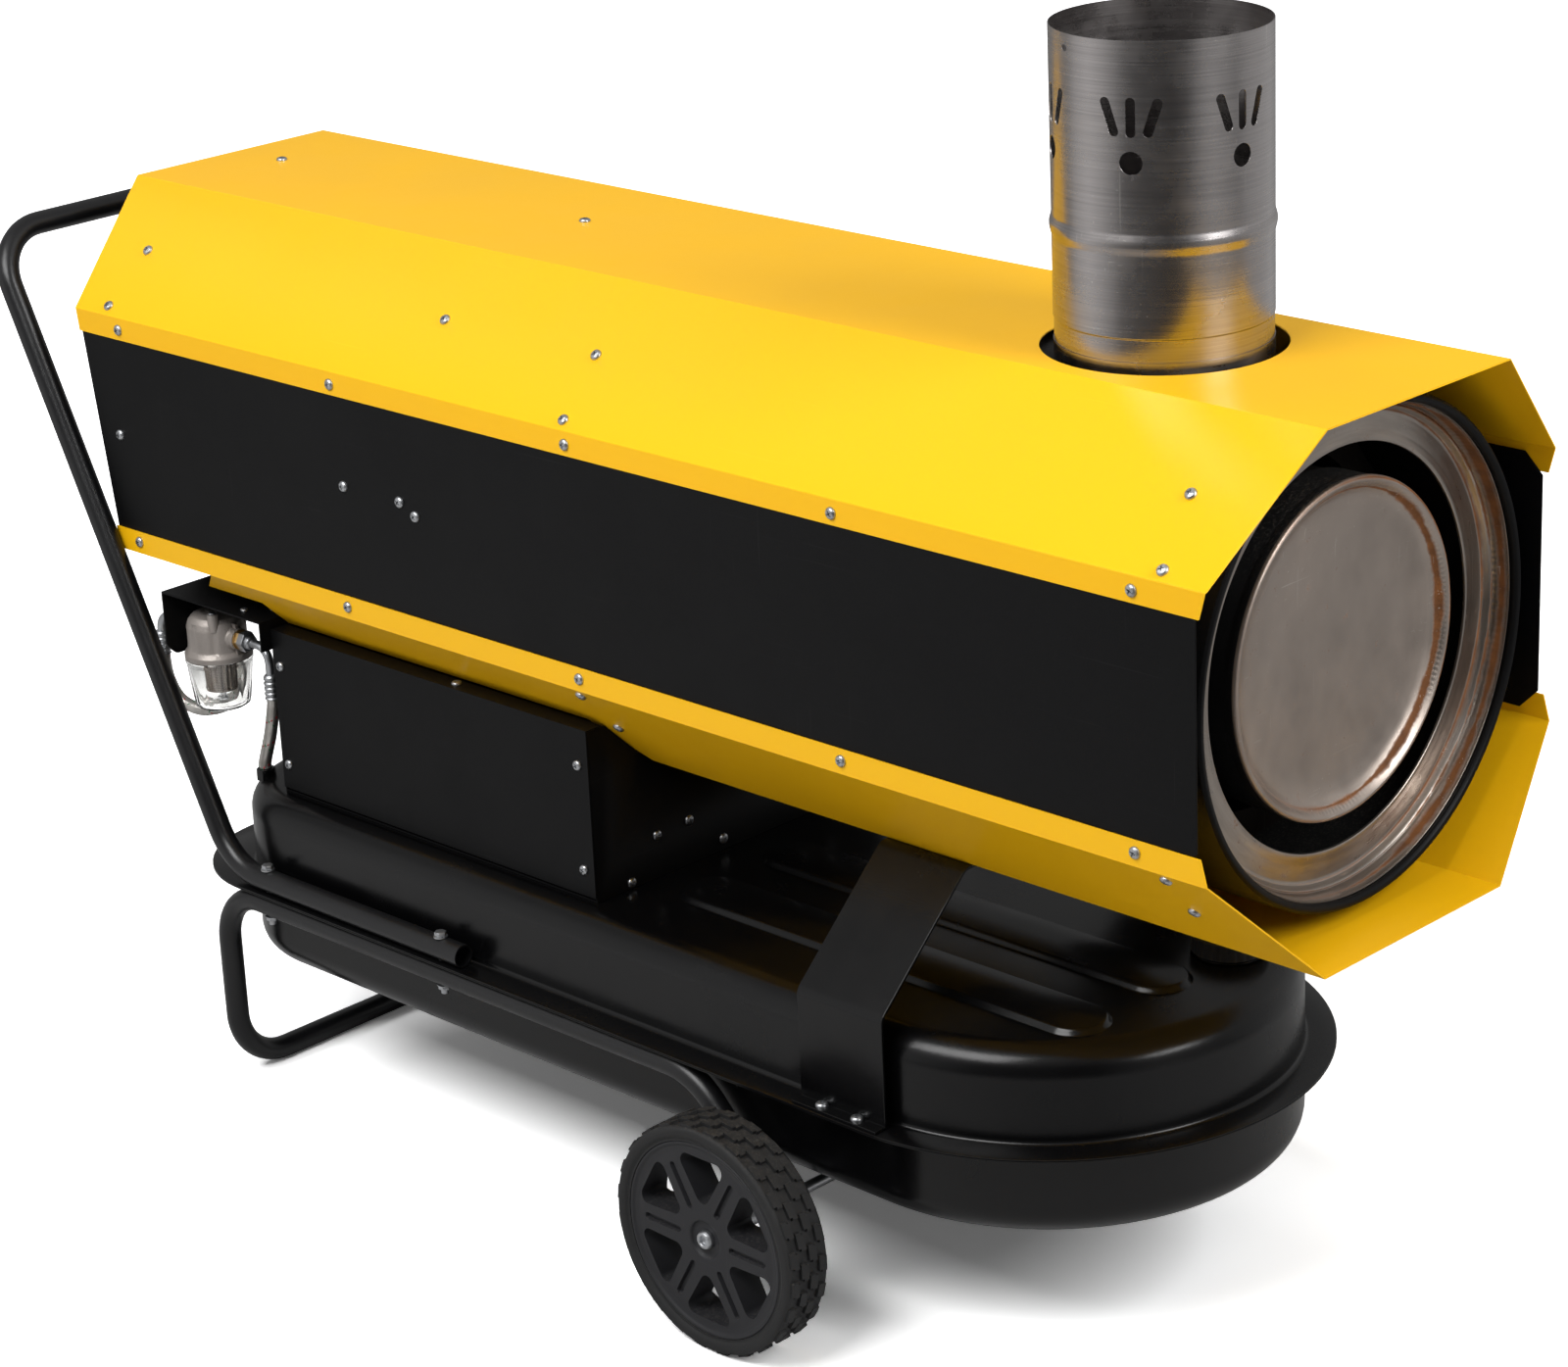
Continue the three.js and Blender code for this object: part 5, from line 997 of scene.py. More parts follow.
rim_levels = [(0.5, 243.5), (0.0, 243.8), (0.0, 244.7), (0.4, SEAM_TOP)]
upper = lofted("shell", half_shell(rim_levels, SEAM_TOP, TANK_TOP, 30.0), tank_paint, 50)
ribs = []
for place in (-120.0, 0.0):
    rise = [(8 * k / 8, 339.0 + 7 * math.sin(math.pi / 2 * k / 8) ** 2) for k in range(9)]
    levels = [(tank_plan(RIB_PLAN, inset, 24, 10), height) for inset, height in rise]
    ribs.append(lofted("rib", levels, tank_paint, 50, (0, place)))
FILLER = (x_at(290), 98.0, 0.0)
NECK_LINE = [(0, 338), (36, 338), (36, 340.6), (32, 342), (32, 354), (29, 354), (29, 344), (0, 344)]
neck = turned("neck", eased(NECK_LINE, 1.0, 3), "Z", FILLER, tank_paint, 64)
UNION = (x_at(1413), -196.0)


def upright(centre):
    return lambda u, v, w: (centre[0] + u, centre[1] + v, w)


union = hexagon("union", 22, 334, 348, upright(UNION), tank_paint, 0.8)
fixed(joined("tank_top", tank_paint, upper, *ribs, neck, union, sharp=50), "tank_paint", "tank_upper_shell")
rim_levels = [(0.4, 243.2), (0.0, 242.9), (0.0, 242.0), (0.4, SEAM_LOW)]
lower = lofted("tank_base", half_shell(rim_levels, SEAM_LOW, TANK_LOW, 34.0)[::-1], tank_paint, 50)
fixed(lower, "tank_paint", "tank_lower_shell")

black_plastic = coated(
    "black_plastic", shade("222224"), 0.5, grain=1600, ripple=0.1, tone=0.12, wiped=0.1, scratched=0.2, dusty=0.1
)


def grip(depth, count, low, high):
    """Flutes round the edge of a moulded cap, or fins along a body."""

    def wave(radius, along, angle, row):
        return radius - (depth * max(0.0, math.cos(count * angle)) if low < along < high else 0.0)

    return wave


cap_line = [
    (0, 354.4), (32.4, 354.4), (32.4, 343), (38, 343), (38, 345), (38, 357), (38, 359.5), (34.5, 363), (30, 363),
    (29, 361.4), (12, 361.4), (11, 363), (0, 363),
]
cap = turned("tank_cap_moulding", cap_line, "Z", FILLER, black_plastic, 216, 40, wave=grip(1.1, 27, 344.0, 358.0))
mounted(cap, "tank_cap", "black_plastic", "filler_cap")

GAUGE = (x_at(640), 150.0, 0.0)
BEZEL_LINE = [(0, 340.3), (24, 340.3), (24, 347), (21, 352.3), (18.5, 352.3), (18, 349.5), (0, 349.5)]
bezel = turned("gauge_bezel", eased(BEZEL_LINE, 0.8, 3), "Z", GAUGE, black_plastic, 72)
fixed(bezel, "black_plastic", "fuel_gauge")
white_plastic = coated("dial_white", shade("dedbd2"), 0.45, grain=1200, ripple=0.03, tone=0.05, scratched=0.0)
fixed(turned("gauge_dial", rod(17.8, 349.4, 349.9), "Z", GAUGE, white_plastic, 48), "black_plastic")
red_plastic = coated("red_plastic", shade("a51e16"), 0.36, grain=1300, ripple=0.05, tone=0.12, scratched=0.15)
needle = prism(
    "gauge_needle", [(-1.6, -5), (1.6, -5), (0.5, 14), (-0.5, 14)], 350.2, 350.8, upright(GAUGE), red_plastic
)
marks = []
bar = [(-0.5, 12.5), (0.5, 12.5), (0.5, 16.5), (-0.5, 16.5)]
for k in range(5):
    turn = math.radians(-60 + 30 * k)
    c, s = math.cos(turn), math.sin(turn)
    tilted = [(u * c - v * s, u * s + v * c) for u, v in bar]
    marks.append(prism("mark", tilted, 349.8, 350.0, upright(GAUGE), black_plastic))
fixed(needle, "red_plastic")
fixed(joined("gauge_marks", black_plastic, *marks), "black_plastic")
DRAIN = (x_at(330), 0, 0)
plug = joined(
    "drain_screw", zinc_plate,
    hexagon("plug", 26, 132.7, 140.2, upright(DRAIN), zinc_plate, 1.0),
    turned("collar", rod(15.5, 140, 142.7, 0.4), "Z", DRAIN, zinc_plate, 48),
)
fixed(plug, "zinc", "drain_plug")

# ---------------------------------------------------------------- front support
# A hoop of bent steel strip carries the front of the casing. Its feet are screwed to the
# tank's flange, and its top is bent to the casing's underside.

fixed(copied("front_support", "hoop", tank_paint, fold=6.0, hem=0.6, sheet=3.0), "tank_paint", "front_support")
hoop_spots = [((x_at(b), side * 269.5, 248.4), (0, 0, 1)) for b in (447, 493) for side in (-1, 1)]
screwed("hoop_screws", hoop_spots, 6.5, 8)

# ---------------------------------------------------------------- control box
# A box of black-coated sheet steel on the tank holds the burner's controls. A folded cover is
# screwed on each side, and the switch panel is at the rear.

fixed(copied("control_box", "box_body", black_paint, fold=2.6, hem=0.35, sheet=2.0), "black_paint", "control_box")
for side in ("left", "right"):
    cover = copied("control_cover_" + side, "box_cover_" + side, black_paint, fold=2.4, hem=0.35)
    fixed(cover, "black_paint", "control_cover_" + side)
corners = [(b, h, side) for b in (1345, 873) for h in (-237, -351) for side in (-1, 1)]
box_spots = [((x_at(b), side * 215.0, AXIS + h), (0, side, 0)) for b, h, side in corners]
box_spots += [((x_at(1066), side * 203.0, 528.0), (0, 0, 1)) for side in (-1, 1)]
front_spots = ((-126, -338), (-80, -336), (-32, -372), (-165, -378), (126, -338), (80, -336))
box_spots += [((x_at(858), y, AXIS + h), (1, 0, 0)) for y, h in front_spots]
screwed("box_screws", box_spots, 5.6, 21)

panel_metal = coated(
    "panel_aluminium", shade("9a9a98"), 0.42, metallic=0.85, grain=900, ripple=0.04, tone=0.12, drift=20,
    scratched=0.3,
)
fixed(copied("control_panel", "switch_panel", panel_metal, hem=0.6, sheet=3.0), "cast_metal", "control_panel")
PANEL_FACE, PANEL_MIDDLE, PANEL_Y = x_at(1360.6), 428.0, 85.0


def on_panel(offset):
    """Centre of a control on the panel, for parts turned about X."""
    return (0.0, PANEL_Y + offset, PANEL_MIDDLE)


def facing_rear(offset):
    return lambda u, v, w: (PANEL_FACE - w, PANEL_Y + offset + u, PANEL_MIDDLE + v)


def from_panel(profile):
    """A profile whose places are distances out from the panel's face."""
    return [(r, PANEL_FACE - height) for r, height in profile]


SWITCH, RESET, LAMP, THERMOSTAT, INLET = -82, -38, -8, 36, 88
knob = joined(
    "switch_lever", red_plastic,
    turned(
        "base", eased(from_panel([(0, 0), (19, 0), (19, 3.4), (17.5, 5), (0, 5)]), 0.6, 3), "X", on_panel(SWITCH),
        red_plastic, 64,
    ),
    eased_edges(prism("bar", oval(34, 9, 8), 4.0, 16.0, facing_rear(SWITCH), red_plastic), 0, 1.0),
)
mounted(knob, "switch_knob", "red_plastic", "main_switch")
pin_line = rod(6, PANEL_FACE - 4.7, PANEL_FACE + 10.3, 0.8, 3)
button = turned("reset_pin", pin_line, "X", on_panel(RESET), red_plastic, 40)
mounted(button, "reset", "red_plastic", "reset_button")
lens, tree = new_material("lamp_lens")
ribbed = put(tree, "ShaderNodeTexWave", {"Scale": 260.0, "Vector": spot_of(tree)}, bands_direction="Y").outputs[1]
glass_red = blended(tree, ribbed, shade("8f1410"), shade("c8281c"))
principled(
    tree, Base_Color=glass_red, Roughness=0.12, Normal=bumped(tree, 0.3, 0.0006, ribbed), Coat_Weight=0.5,
    Transmission_Weight=0.25,
)
dome = [(7 * math.sin(a), PANEL_FACE - 4 - 4 * math.cos(a)) for a in (0.3, 0.6, 0.9, 1.2, 1.57)]
dome = [(0, PANEL_FACE - 8)] + dome + [(7, PANEL_FACE), (0, PANEL_FACE)]
fixed(turned("lamp_cap", dome, "X", on_panel(LAMP), lens, 40), "red_plastic", "pilot_lamp")
mouth = eased(from_panel([(0, 0), (17, 0), (17, 14), (13.4, 14), (13.4, 4), (0, 4)]), 0.8, 3)
flutes = grip(0.5, 24, PANEL_FACE - 12, PANEL_FACE - 3)
shroud = turned("socket_shroud", mouth, "X", on_panel(THERMOSTAT), black_plastic, 64, wave=flutes)
fixed(shroud, "black_plastic", "thermostat_socket")
pins = []
for turn in (0, 90, 180, 270):
    a = math.radians(turn + 90)
    pin = oval(5.5, 1.8, 4, math.radians(turn), (6.5 * math.cos(a), 6.5 * math.sin(a)))
    pins.append(prism("pin", pin, 3.5, 11, facing_rear(THERMOSTAT), zinc_plate))
fixed(joined("socket_pins", zinc_plate, *pins), "zinc")
GLAND_LINE = [(0, 0), (13, 0), (13, 5), (12.2, 6), (12.2, 15), (10, 24), (7.2, 24), (7.2, 4), (0, 4)]
gland = eased(from_panel(GLAND_LINE), 0.7, 3)
flutes = grip(0.8, 12, PANEL_FACE - 20, PANEL_FACE - 7)
inlet = turned("inlet_gland", gland, "X", on_panel(INLET), black_plastic, 72, wave=flutes)
fixed(inlet, "black_plastic", "power_inlet")
corners = [(y, h) for y in (-107, 107) for h in (-34, 34)]
panel_spots = [((PANEL_FACE + 0.3, PANEL_Y + y, PANEL_MIDDLE + h), (-1, 0, 0)) for y, h in corners]
screwed("panel_screws", panel_spots, 4.2, 5)
rings = []
for offset, low, high in ((SWITCH, 20.4, 21.2), (RESET, 8.6, 9.8), (LAMP, 8.4, 9.4)):
    section = from_panel([(low, -0.2), (high, -0.2), (high, 0.4), (low, 0.4)])
    rings.append(turned("ring", section, "X", on_panel(offset), black_plastic, 48))
fixed(joined("panel_rings", black_plastic, *rings), "black_plastic")

# ---------------------------------------------------------------- tube frame and axle
# Two bent steel tubes make the handle and the rear leg, clamped to the tank's flange by bolts
# through both. The leg's front ends carry the axle of the wheels.

TUBE_R, TUBE_BORE, TRACK = 12.5, 10.7, 268.0


def bent_line(corners, radii, steps=14):
    """A line of straight runs and round bends through these corners, in mm."""
    corners = [Vector(c) for c in corners]
    line = [corners[0]]
    for before, corner, after, radius in zip(corners, corners[1:], corners[2:], radii):
        into, onward = (corner - before).normalized(), (after - corner).normalized()
        turn = into.angle(onward)
        start = corner - into * radius * math.tan(turn / 2)
        middle = corner + (onward - into).normalized() * radius / math.cos(turn / 2)
        axis = into.cross(onward).normalized()
        line += [middle + Matrix.Rotation(turn * k / steps, 3, axis) @ (start - middle) for k in range(steps + 1)]
    return line + [corners[-1]]


def piped(name, line, radius, material, sides=28, bore=0.0):
    """A round tube along a line, with open ends where it has a bore."""
    bm = bmesh.new()
    tangents = [(line[min(i + 1, len(line) - 1)] - line[max(i - 1, 0)]).normalized() for i in range(len(line))]
    side = tangents[0].orthogonal().normalized()
    walls = {radius: [], bore: []} if bore else {radius: []}
    for i, (spot, run) in enumerate(zip(line, tangents)):
        if i:
            side = tangents[i - 1].rotation_difference(run) @ side
        across = run.cross(side)
        ways = [side * math.cos(a) + across * math.sin(a) for a in (2 * math.pi * k / sides for k in range(sides))]
        for r, rings in walls.items():
            rings.append([bm.verts.new((spot + way * r) * MM) for way in ways])
    for rings in walls.values():
        skinned(bm, rings)
    for end in (0, -1):
        if bore:
            skinned(bm, [rings[end] for rings in walls.values()])
        else:
            bm.faces.new(walls[radius][end])
    return solid(name, bm, material, 40)


frame_paint = coated(
    "frame_paint", shade("101012"), 0.3, grain=700, ripple=0.1, tone=0.25, wiped=0.12, scratched=0.25, dusty=0.015,
    drift=9, specular=0.45,
)
HANDLE_Z, LEG_Z, AXLE = 257.8, 228.9, (x_at(563), 0.0, 120.0)


def frame_side(side, places):
    return [(x_at(b), side * TRACK, h) for b, h in places]


handle = [(1010, HANDLE_Z), (1390, HANDLE_Z), (1722, 925)]
line = bent_line(frame_side(-1, handle) + frame_side(1, handle)[::-1], [75, 62, 62, 75])
fixed(piped("handle", line, TUBE_R, frame_paint, bore=TUBE_BORE), "tank_paint", "handle_tube")
slope = Vector((669 - 563, LEG_Z - 120)).normalized() * 20
leg = [(563 - slope.x, 120 - slope.y), (669, LEG_Z), (1411, LEG_Z), (1411, TUBE_R)]
line = bent_line(frame_side(-1, leg) + frame_side(1, leg)[::-1], [85, 62, 62, 62, 62, 85])
fixed(piped("rear_leg", line, TUBE_R, frame_paint, bore=TUBE_BORE), "tank_paint", "leg_frame")

half = [(6, 280.8), (9, 280.8), (9, 322.7), (6, 322.7), (6, 362), (5, 363), (0, 363)]
axle_line = [(r, -y) for r, y in reversed(half)] + half
fixed(turned("axle_rod", axle_line, "Y", AXLE, zinc_plate, 48), "zinc", "axle")


def bolt_set(name, x, y):
    """A bolt down through handle, flange and leg: head and washer above, washer and nut below."""
    centre = (x, y, 0.0)
    place = upright(centre)

    def washer(low, high):
        return turned("washer", rod(7.6, low, high, 0.3), "Z", centre, zinc_plate, 32)

    return joined(
        name, zinc_plate,
        hexagon("head", 13, 271.6, 276.6, place, zinc_plate, 0.8), washer(270.2, 271.7),
        hexagon("nut", 13, 210.8, 215.4, place, zinc_plate, 0.8), washer(215.3, 216.3),
        turned("shank", rod(4, 206.2, 272, 0.6), "Z", centre, zinc_plate, 24),
    )


for b, end in ((1045, "front"), (1331, "rear")):
    for side, word in ((-1, "left"), (1, "right")):
        name = f"{end}_{word}"
        fixed(bolt_set("bolt_" + name, x_at(b), side * TRACK), "zinc", "frame_bolt_" + name)

# ---------------------------------------------------------------- wheels
# Each wheel is a moulded rim of black plastic with six windows and a groove in each spoke,
# under a solid rubber tyre with block treads. A zinc cap holds it on the axle.

rim_plastic = coated(
    "rim_plastic", shade("212124"), 0.52, grain=1500, ripple=0.14, tone=0.14, wiped=0.1, scratched=0.25, dusty=0.08,
    drift=12, specular=0.38,
)
rubber = coated(
    "tyre_rubber", shade("151516"), 0.66, grain=1800, ripple=0.35, tone=0.3, wiped=0.14, scratched=0.1, dusty=0.2,
    drift=30, dust="8d877d",
)
RIM_FACE, TYRE_R, TYRE_MIDDLE = 369.0, 120.0, 24.3
RIM_LINE = [
    (6.4, 6), (16.5, 6), (18.5, 5.2), (20, 2.4), (22.5, 2), (84, 2), (91, 2.8), (96.5, 2.2), (99, 0.3), (101.2, 0.2),
    (101.7, 1.2), (101.7, 46), (96.2, 46), (96.2, 14), (22, 14), (22, 46), (6.4, 46),
]
TYRE_LINE = [
    (102, 0), (102, 46), (106, 50), (112, 52), (115.5, 51.4), (117.6, 48), (117, 44), (116.4, 38), (116.4, 10),
    (117, 4.5), (117.6, 0.4), (115.5, -2.4), (112, -3), (107.5, -2.2), (104.5, 0.2), (103.4, 0.4),
]
CAP_LINE = [(0, 363.3), (9.5, 363.3), (9.5, 366.8), (8.2, 369.6), (5.6, 370.3), (4.6, 369.4), (4.4, 366.2), (0, 365.8)]
HALF_TURN, CORNER_R = math.radians(14.05), 81


def window_outline(corner):
    """A spoke window: three round corners, narrow towards the hub."""
    beside, along = CORNER_R * math.sin(HALF_TURN), CORNER_R * math.cos(HALF_TURN)
    centres = [(0.0, 47.0), (-beside, along), (beside, along)]
    points = []
    for i, (u, v) in enumerate(centres):
        after, before = centres[(i + 1) % 3], centres[i - 1]
        first = math.atan2(v - before[1], u - before[0]) + math.pi / 2
        last = math.atan2(after[1] - v, after[0] - u) + math.pi / 2
        while last > first:
            last -= 2 * math.pi
        angles = [first + (last - first) * k / 6 for k in range(7)]
        points += [(u + corner * math.cos(a), v + corner * math.sin(a)) for a in angles]
    return points


def stood_at(tree, whole, rotation, place):
    """Turns the joined geometry about the origin and then moves it to its place."""
    stood = out(tree, "GeometryNodeTransform", {"Geometry": whole.outputs[0], "Rotation": rotation})
    return out(tree, "GeometryNodeTransform", {"Geometry": stood, "Translation": place})


def tread_tree():
    """Geometry Nodes: rows of tread blocks round the wheel, each row turned by half a block."""
    inputs = {"Block": "Object", "Per Turn": "Int", "Radius": "Float", "Row Step": "Float", "Place": "Vector"}
    tree, given = grower("tread_rows", **inputs)
    block = put(tree, "GeometryNodeObjectInfo", {"Object": given["Block"]}).outputs["Geometry"]
    hoop = out(tree, "GeometryNodeMeshCircle", {"Vertices": given["Per Turn"], "Radius": given["Radius"]})
    outward = out(tree, "GeometryNodeInputPosition")
    stood = out(tree, "FunctionNodeAlignRotationToVector", {"Vector": outward}, axis="Z")
    feeds = {"Rotation": stood, "Vector": (0, 0, 1)}
    stood = out(tree, "FunctionNodeAlignRotationToVector", feeds, axis="X", pivot_axis="Z")
    row = out(tree, "GeometryNodeInstanceOnPoints", {"Points": hoop, "Instance": block, "Rotation": stood})
    half_step = sums(tree, "DIVIDE", math.pi, given["Per Turn"])
    whole = put(tree, "GeometryNodeJoinGeometry")
    for k in range(4):
        shift = out(tree, "ShaderNodeCombineXYZ", {"Z": times(tree, given["Row Step"], k - 1.5)})
        turn = out(tree, "ShaderNodeCombineXYZ", {"Z": times(tree, half_step, float(k % 2))})
        moved = out(tree, "GeometryNodeTransform", {"Geometry": row, "Translation": shift, "Rotation": turn})
        tree.links.new(moved, whole.inputs[0])
    return realized(tree, stood_at(tree, whole, (math.pi / 2, 0, 0), given["Place"]), given["Finish"])


BLOCKS_PER_TURN, ROW_STEP = 24, 12.2
BLOCK_LONG, BLOCK_WIDE, BLOCK_HIGH = 19.0, 11.0, 5.2
tread_rows = tread_tree()
shape = [(-1, -0.72), (-0.3, -0.72), (-0.3, -1), (1, -1), (1, 0.72), (0.3, 0.72), (0.3, 1), (-1, 1)]
outline = [(u * BLOCK_WIDE / 2, v * BLOCK_LONG / 2) for u, v in shape]
tread_block = tapered(
    "block", outline, [(u * 0.9, v * 0.94) for u, v in outline], -BLOCK_HIGH, 0, lambda u, v, w: (u, v, w), rubber
)
SIXTHS = [math.radians(60 * k) for k in range(6)]
groove_low, groove_high = oval(50, 7.4, 6, 0, (0, 57.5)), oval(47, 5.0, 6, 0, (0, 57.5))
for side, word in ((-1, "left"), (1, "right")):

    def cutter(name, first, last, low, high, turn, side=side):
        """A body at this turn of the rim; low and high are depths behind its outer face."""
        c, s = math.cos(turn), math.sin(turn)

        def place(u, v, w):
            return (AXLE[0] + u * c + v * s, side * (RIM_FACE - w), AXLE[2] - u * s + v * c)

        return tapered(name, first, last, low, high, place, rim_plastic)

    def from_face(line, ease, side=side):
        return [(r, side * (RIM_FACE - depth)) for r, depth in eased(line, ease, 3, True)]

    rim = turned("rim_" + word, from_face(RIM_LINE, 1.2), "Y", AXLE, rim_plastic, 120)
    collars = [cutter("collar", window_outline(10.2), window_outline(9.0), 13.0, 33.0, turn) for turn in SIXTHS]
    carved(rim, *collars, operation="UNION")
    openings = [cutter("opening", window_outline(8.6), window_outline(6.4), -2.0, 36.0, turn) for turn in SIXTHS]
    grooves = [cutter("groove", groove_low, groove_high, 1.5, 6.2, turn + math.pi / 6) for turn in SIXTHS]
    carved(rim, *openings, *grooves)
    soft = rim.modifiers.new("soft", "BEVEL")
    soft.width, soft.segments, soft.harden_normals = 0.0007, 2, False
    soft.limit_method, soft.angle_limit = "ANGLE", math.radians(38)
    baked(rim)
    smoothed(rim.data, 40)
    mounted(weighted(rim), word + "_wheel", "rim_plastic", "wheel_rim_" + word)

    tyre = turned("carcass", from_face(TYRE_LINE, 1.6), "Y", AXLE, rubber, 144)
    values = {
        "Block": tread_block, "Per Turn": BLOCKS_PER_TURN, "Radius": (TYRE_R - 0.35) * MM, "Row Step": ROW_STEP * MM,
        "Place": Vector((AXLE[0], side * (RIM_FACE - TYRE_MIDDLE), AXLE[2])) * MM, "Finish": rubber,
    }
    blocks = grown("tread", bpy.data.meshes.new("tread"), tread_rows, values)
    treaded = joined("tyre_with_tread_" + word, rubber, tyre, blocks, sharp=35)
    mounted(treaded, word + "_wheel", "tyre", "tyre_" + word)

    cap_line = [(r, side * y) for r, y in eased(CAP_LINE, 0.5, 3)]
    fixed(turned("axle_cap_" + word, cap_line, "Y", AXLE, zinc_plate, 64), "zinc", "hub_cap_" + word)
cleared(tread_block)

# ---------------------------------------------------------------- fuel filter
# The fuel is drawn through a filter with a die-cast head and a clear bowl. It hangs from a
# bracket of black-coated steel on the rear wall of the control box.

FILTER = (x_at(1487), -190.0, 0.0)
PORT_Z = 490.0
bracket = copied("filter_bracket", "bracket", black_paint, fold=3.0, hem=0.4, sheet=2.0)
fixed(bracket, "black_paint", "filter_bracket")
cast_metal = coated(
    "cast_alloy", shade("aaa29c"), 0.42, metallic=0.45, grain=520, ripple=0.4, tone=0.22, wiped=0.15, scratched=0.2,
    drift=30,
)
head_line = [
    (0, 463), (34, 463), (38, 463), (38, 465), (38, 469), (37, 470.5), (34, 474), (33.2, 480), (33.2, 500), (31, 507),
    (26.5, 512.4), (18, 515.5), (11, 516.2), (10.5, 517), (0, 517),
]


def head_wave(radius, along, angle, row):
    """Eight shallow flats above the flange of the head."""
    return radius - 1.5 * max(0.0, math.cos(8 * angle)) ** 3 if 474 < along < 506 else radius


def across(u, v, w):
    """u across the heater, v up and w along X, from the middle of the filter's ports."""
    return (FILTER[0] + w, FILTER[1] + u, PORT_Z + v)


PORT = (FILTER[0], FILTER[1], PORT_Z)
BOSS_LINE = [(0, 20), (14.5, 20), (13.2, 33), (12.2, 34), (12.2, 40.7), (0, 40.7)]
bosses, rib_bars, lugs, spots = [], [], [], []
for way in (-1, 1):
    boss_line = [(r, way * w) for r, w in eased(BOSS_LINE, 0.8, 3)]
    bosses.append(turned("boss", boss_line, "X", PORT, cast_metal, 48))
    web = [(-2.2, -18), (2.2, -18), (2.2, 17), (-2.2, 17)]
    rib_bars.append(prism("web", web, way * 22, way * 37, across, cast_metal))
    lug = (FILTER[0] + 20, FILTER[1] + way * 19, 0)
    lug_line = eased([(0, 500), (6.2, 500), (6.2, 519.5), (5.0, 520.5), (0, 520.5)], 0.6, 2)
    lugs.append(turned("lug", lug_line, "Z", lug, cast_metal, 32))
    spots.append(((lug[0], lug[1], 520.4), (0, 0, 1)))
head = turned("head", eased(head_line, 1.4, 3), "Z", FILTER, cast_metal, 96, 40, wave=head_wave)
casting = joined("filter_casting", cast_metal, head, *bosses, *rib_bars, *lugs, sharp=40)
fixed(casting, "cast_metal", "filter_head")
spots += [((x_at(b), y, 539.0), (0, 0, 1)) for b, y in ((1404, -212), (1404, -168), (1380, -190))]
screwed("filter_screws", spots, 4.4, 12)

clear, tree = new_material("clear_bowl")
where = spot_of(tree)
flow = noise(tree, where, 90.0, 2.0)
cloudy = graded(tree, window(tree, noise(tree, where, 30.0, 4.0), 0.45, 0.75), 0.08, 0.025)
principled(
    tree, Base_Color=blended(tree, flow, shade("fbfbfa"), shade("f3f3f1")), Roughness=cloudy,
    Normal=bumped(tree, 0.12, 0.0006, flow), Transmission_Weight=1.0, IOR=1.42,
)


def bowl_wave(radius, along, angle, row):
    """Moulded ribs that run up the outside of the bowl."""
    return radius + (0.45 * max(0.0, math.cos(10 * angle)) ** 6 if row in BOWL_OUTSIDE else 0.0)


bowl_outer = [(0, 404.7), (13, 404.7), (26, 404.9), (30.2, 407.5), (31.4, 412), (34.0, 432), (36.6, 456)]
bowl_rim = [(37.4, 458.5), (37.8, 459), (37.8, 462.7), (35, 462.7)]
bowl_inner = [(34.2, 456), (31.4, 432), (28.8, 412.5), (27, 409.4), (22, 407.9), (0, 407.7)]
BOWL_OUTSIDE = range(3, len(bowl_outer))
bowl = turned("bowl", bowl_outer + bowl_rim + bowl_inner, "Z", FILTER, clear, 120, 50, wave=bowl_wave)
fixed(bowl, "clear_bowl", "filter_bowl")

mesh_cloth, tree = new_material("strainer_cloth")
where = spot_of(tree)
parts = split(tree, out(tree, "ShaderNodeMapping", {"Vector": where, "Location": [-c * MM for c in FILTER]}))
turn = sums(tree, "ARCTAN2", parts["Y"], parts["X"])
upright_wires = sums(tree, "SINE", times(tree, turn, 64.0))
level_wires = sums(tree, "SINE", times(tree, parts["Z"], 3300.0))
weave = window(tree, sums(tree, "MAXIMUM", upright_wires, level_wires), 0.2, 0.9)
hue = blended(tree, weave, shade("4c4540"), shade("a39a92"))
hue = blended(tree, times(tree, noise(tree, where, 60.0, 3.0), 0.5), hue, shade("6f6056"))
principled(tree, Base_Color=hue, Roughness=0.45, Metallic=0.5, Normal=bumped(tree, 0.5, 0.0004, weave))


def pleat(radius, along, angle, row):
    return radius + (0.8 * math.cos(18 * angle) if radius > 17 and 427 < along < 461 else 0.0)


STRAINER_LINE = [
    (0, 424.7), (19, 424.7), (19, 428), (17.6, 429), (17.6, 459), (19, 460), (19, 462.7), (16, 462.7), (16, 427.7),
    (0, 427.7),
]
strainer = turned("strainer", eased(STRAINER_LINE, 0.6, 2), "Z", FILTER, mesh_cloth, 144, 50, wave=pleat)
fixed(strainer, "strainer", "filter_strainer")
nut = joined(
    "bowl_nut", zinc_plate,
    hexagon("nut", 12, 409.6, 414.0, upright(FILTER), zinc_plate, 0.5),
    turned("stud", rod(2.6, 409, 424.6), "Z", FILTER, zinc_plate, 24),
)
fixed(nut, "zinc")

# ---------------------------------------------------------------- hose unions
# A zinc-plated union is screwed into each port of the filter. From it a bent steel tube runs
# down to the crimped ferrule of a hose.

brass = coated(
    "passivated_brass", shade("c9a871"), 0.32, metallic=1.0, grain=1200, ripple=0.08, tone=0.25, wiped=0.2, drift=50
)
SUCTION_DROP = 1397.0


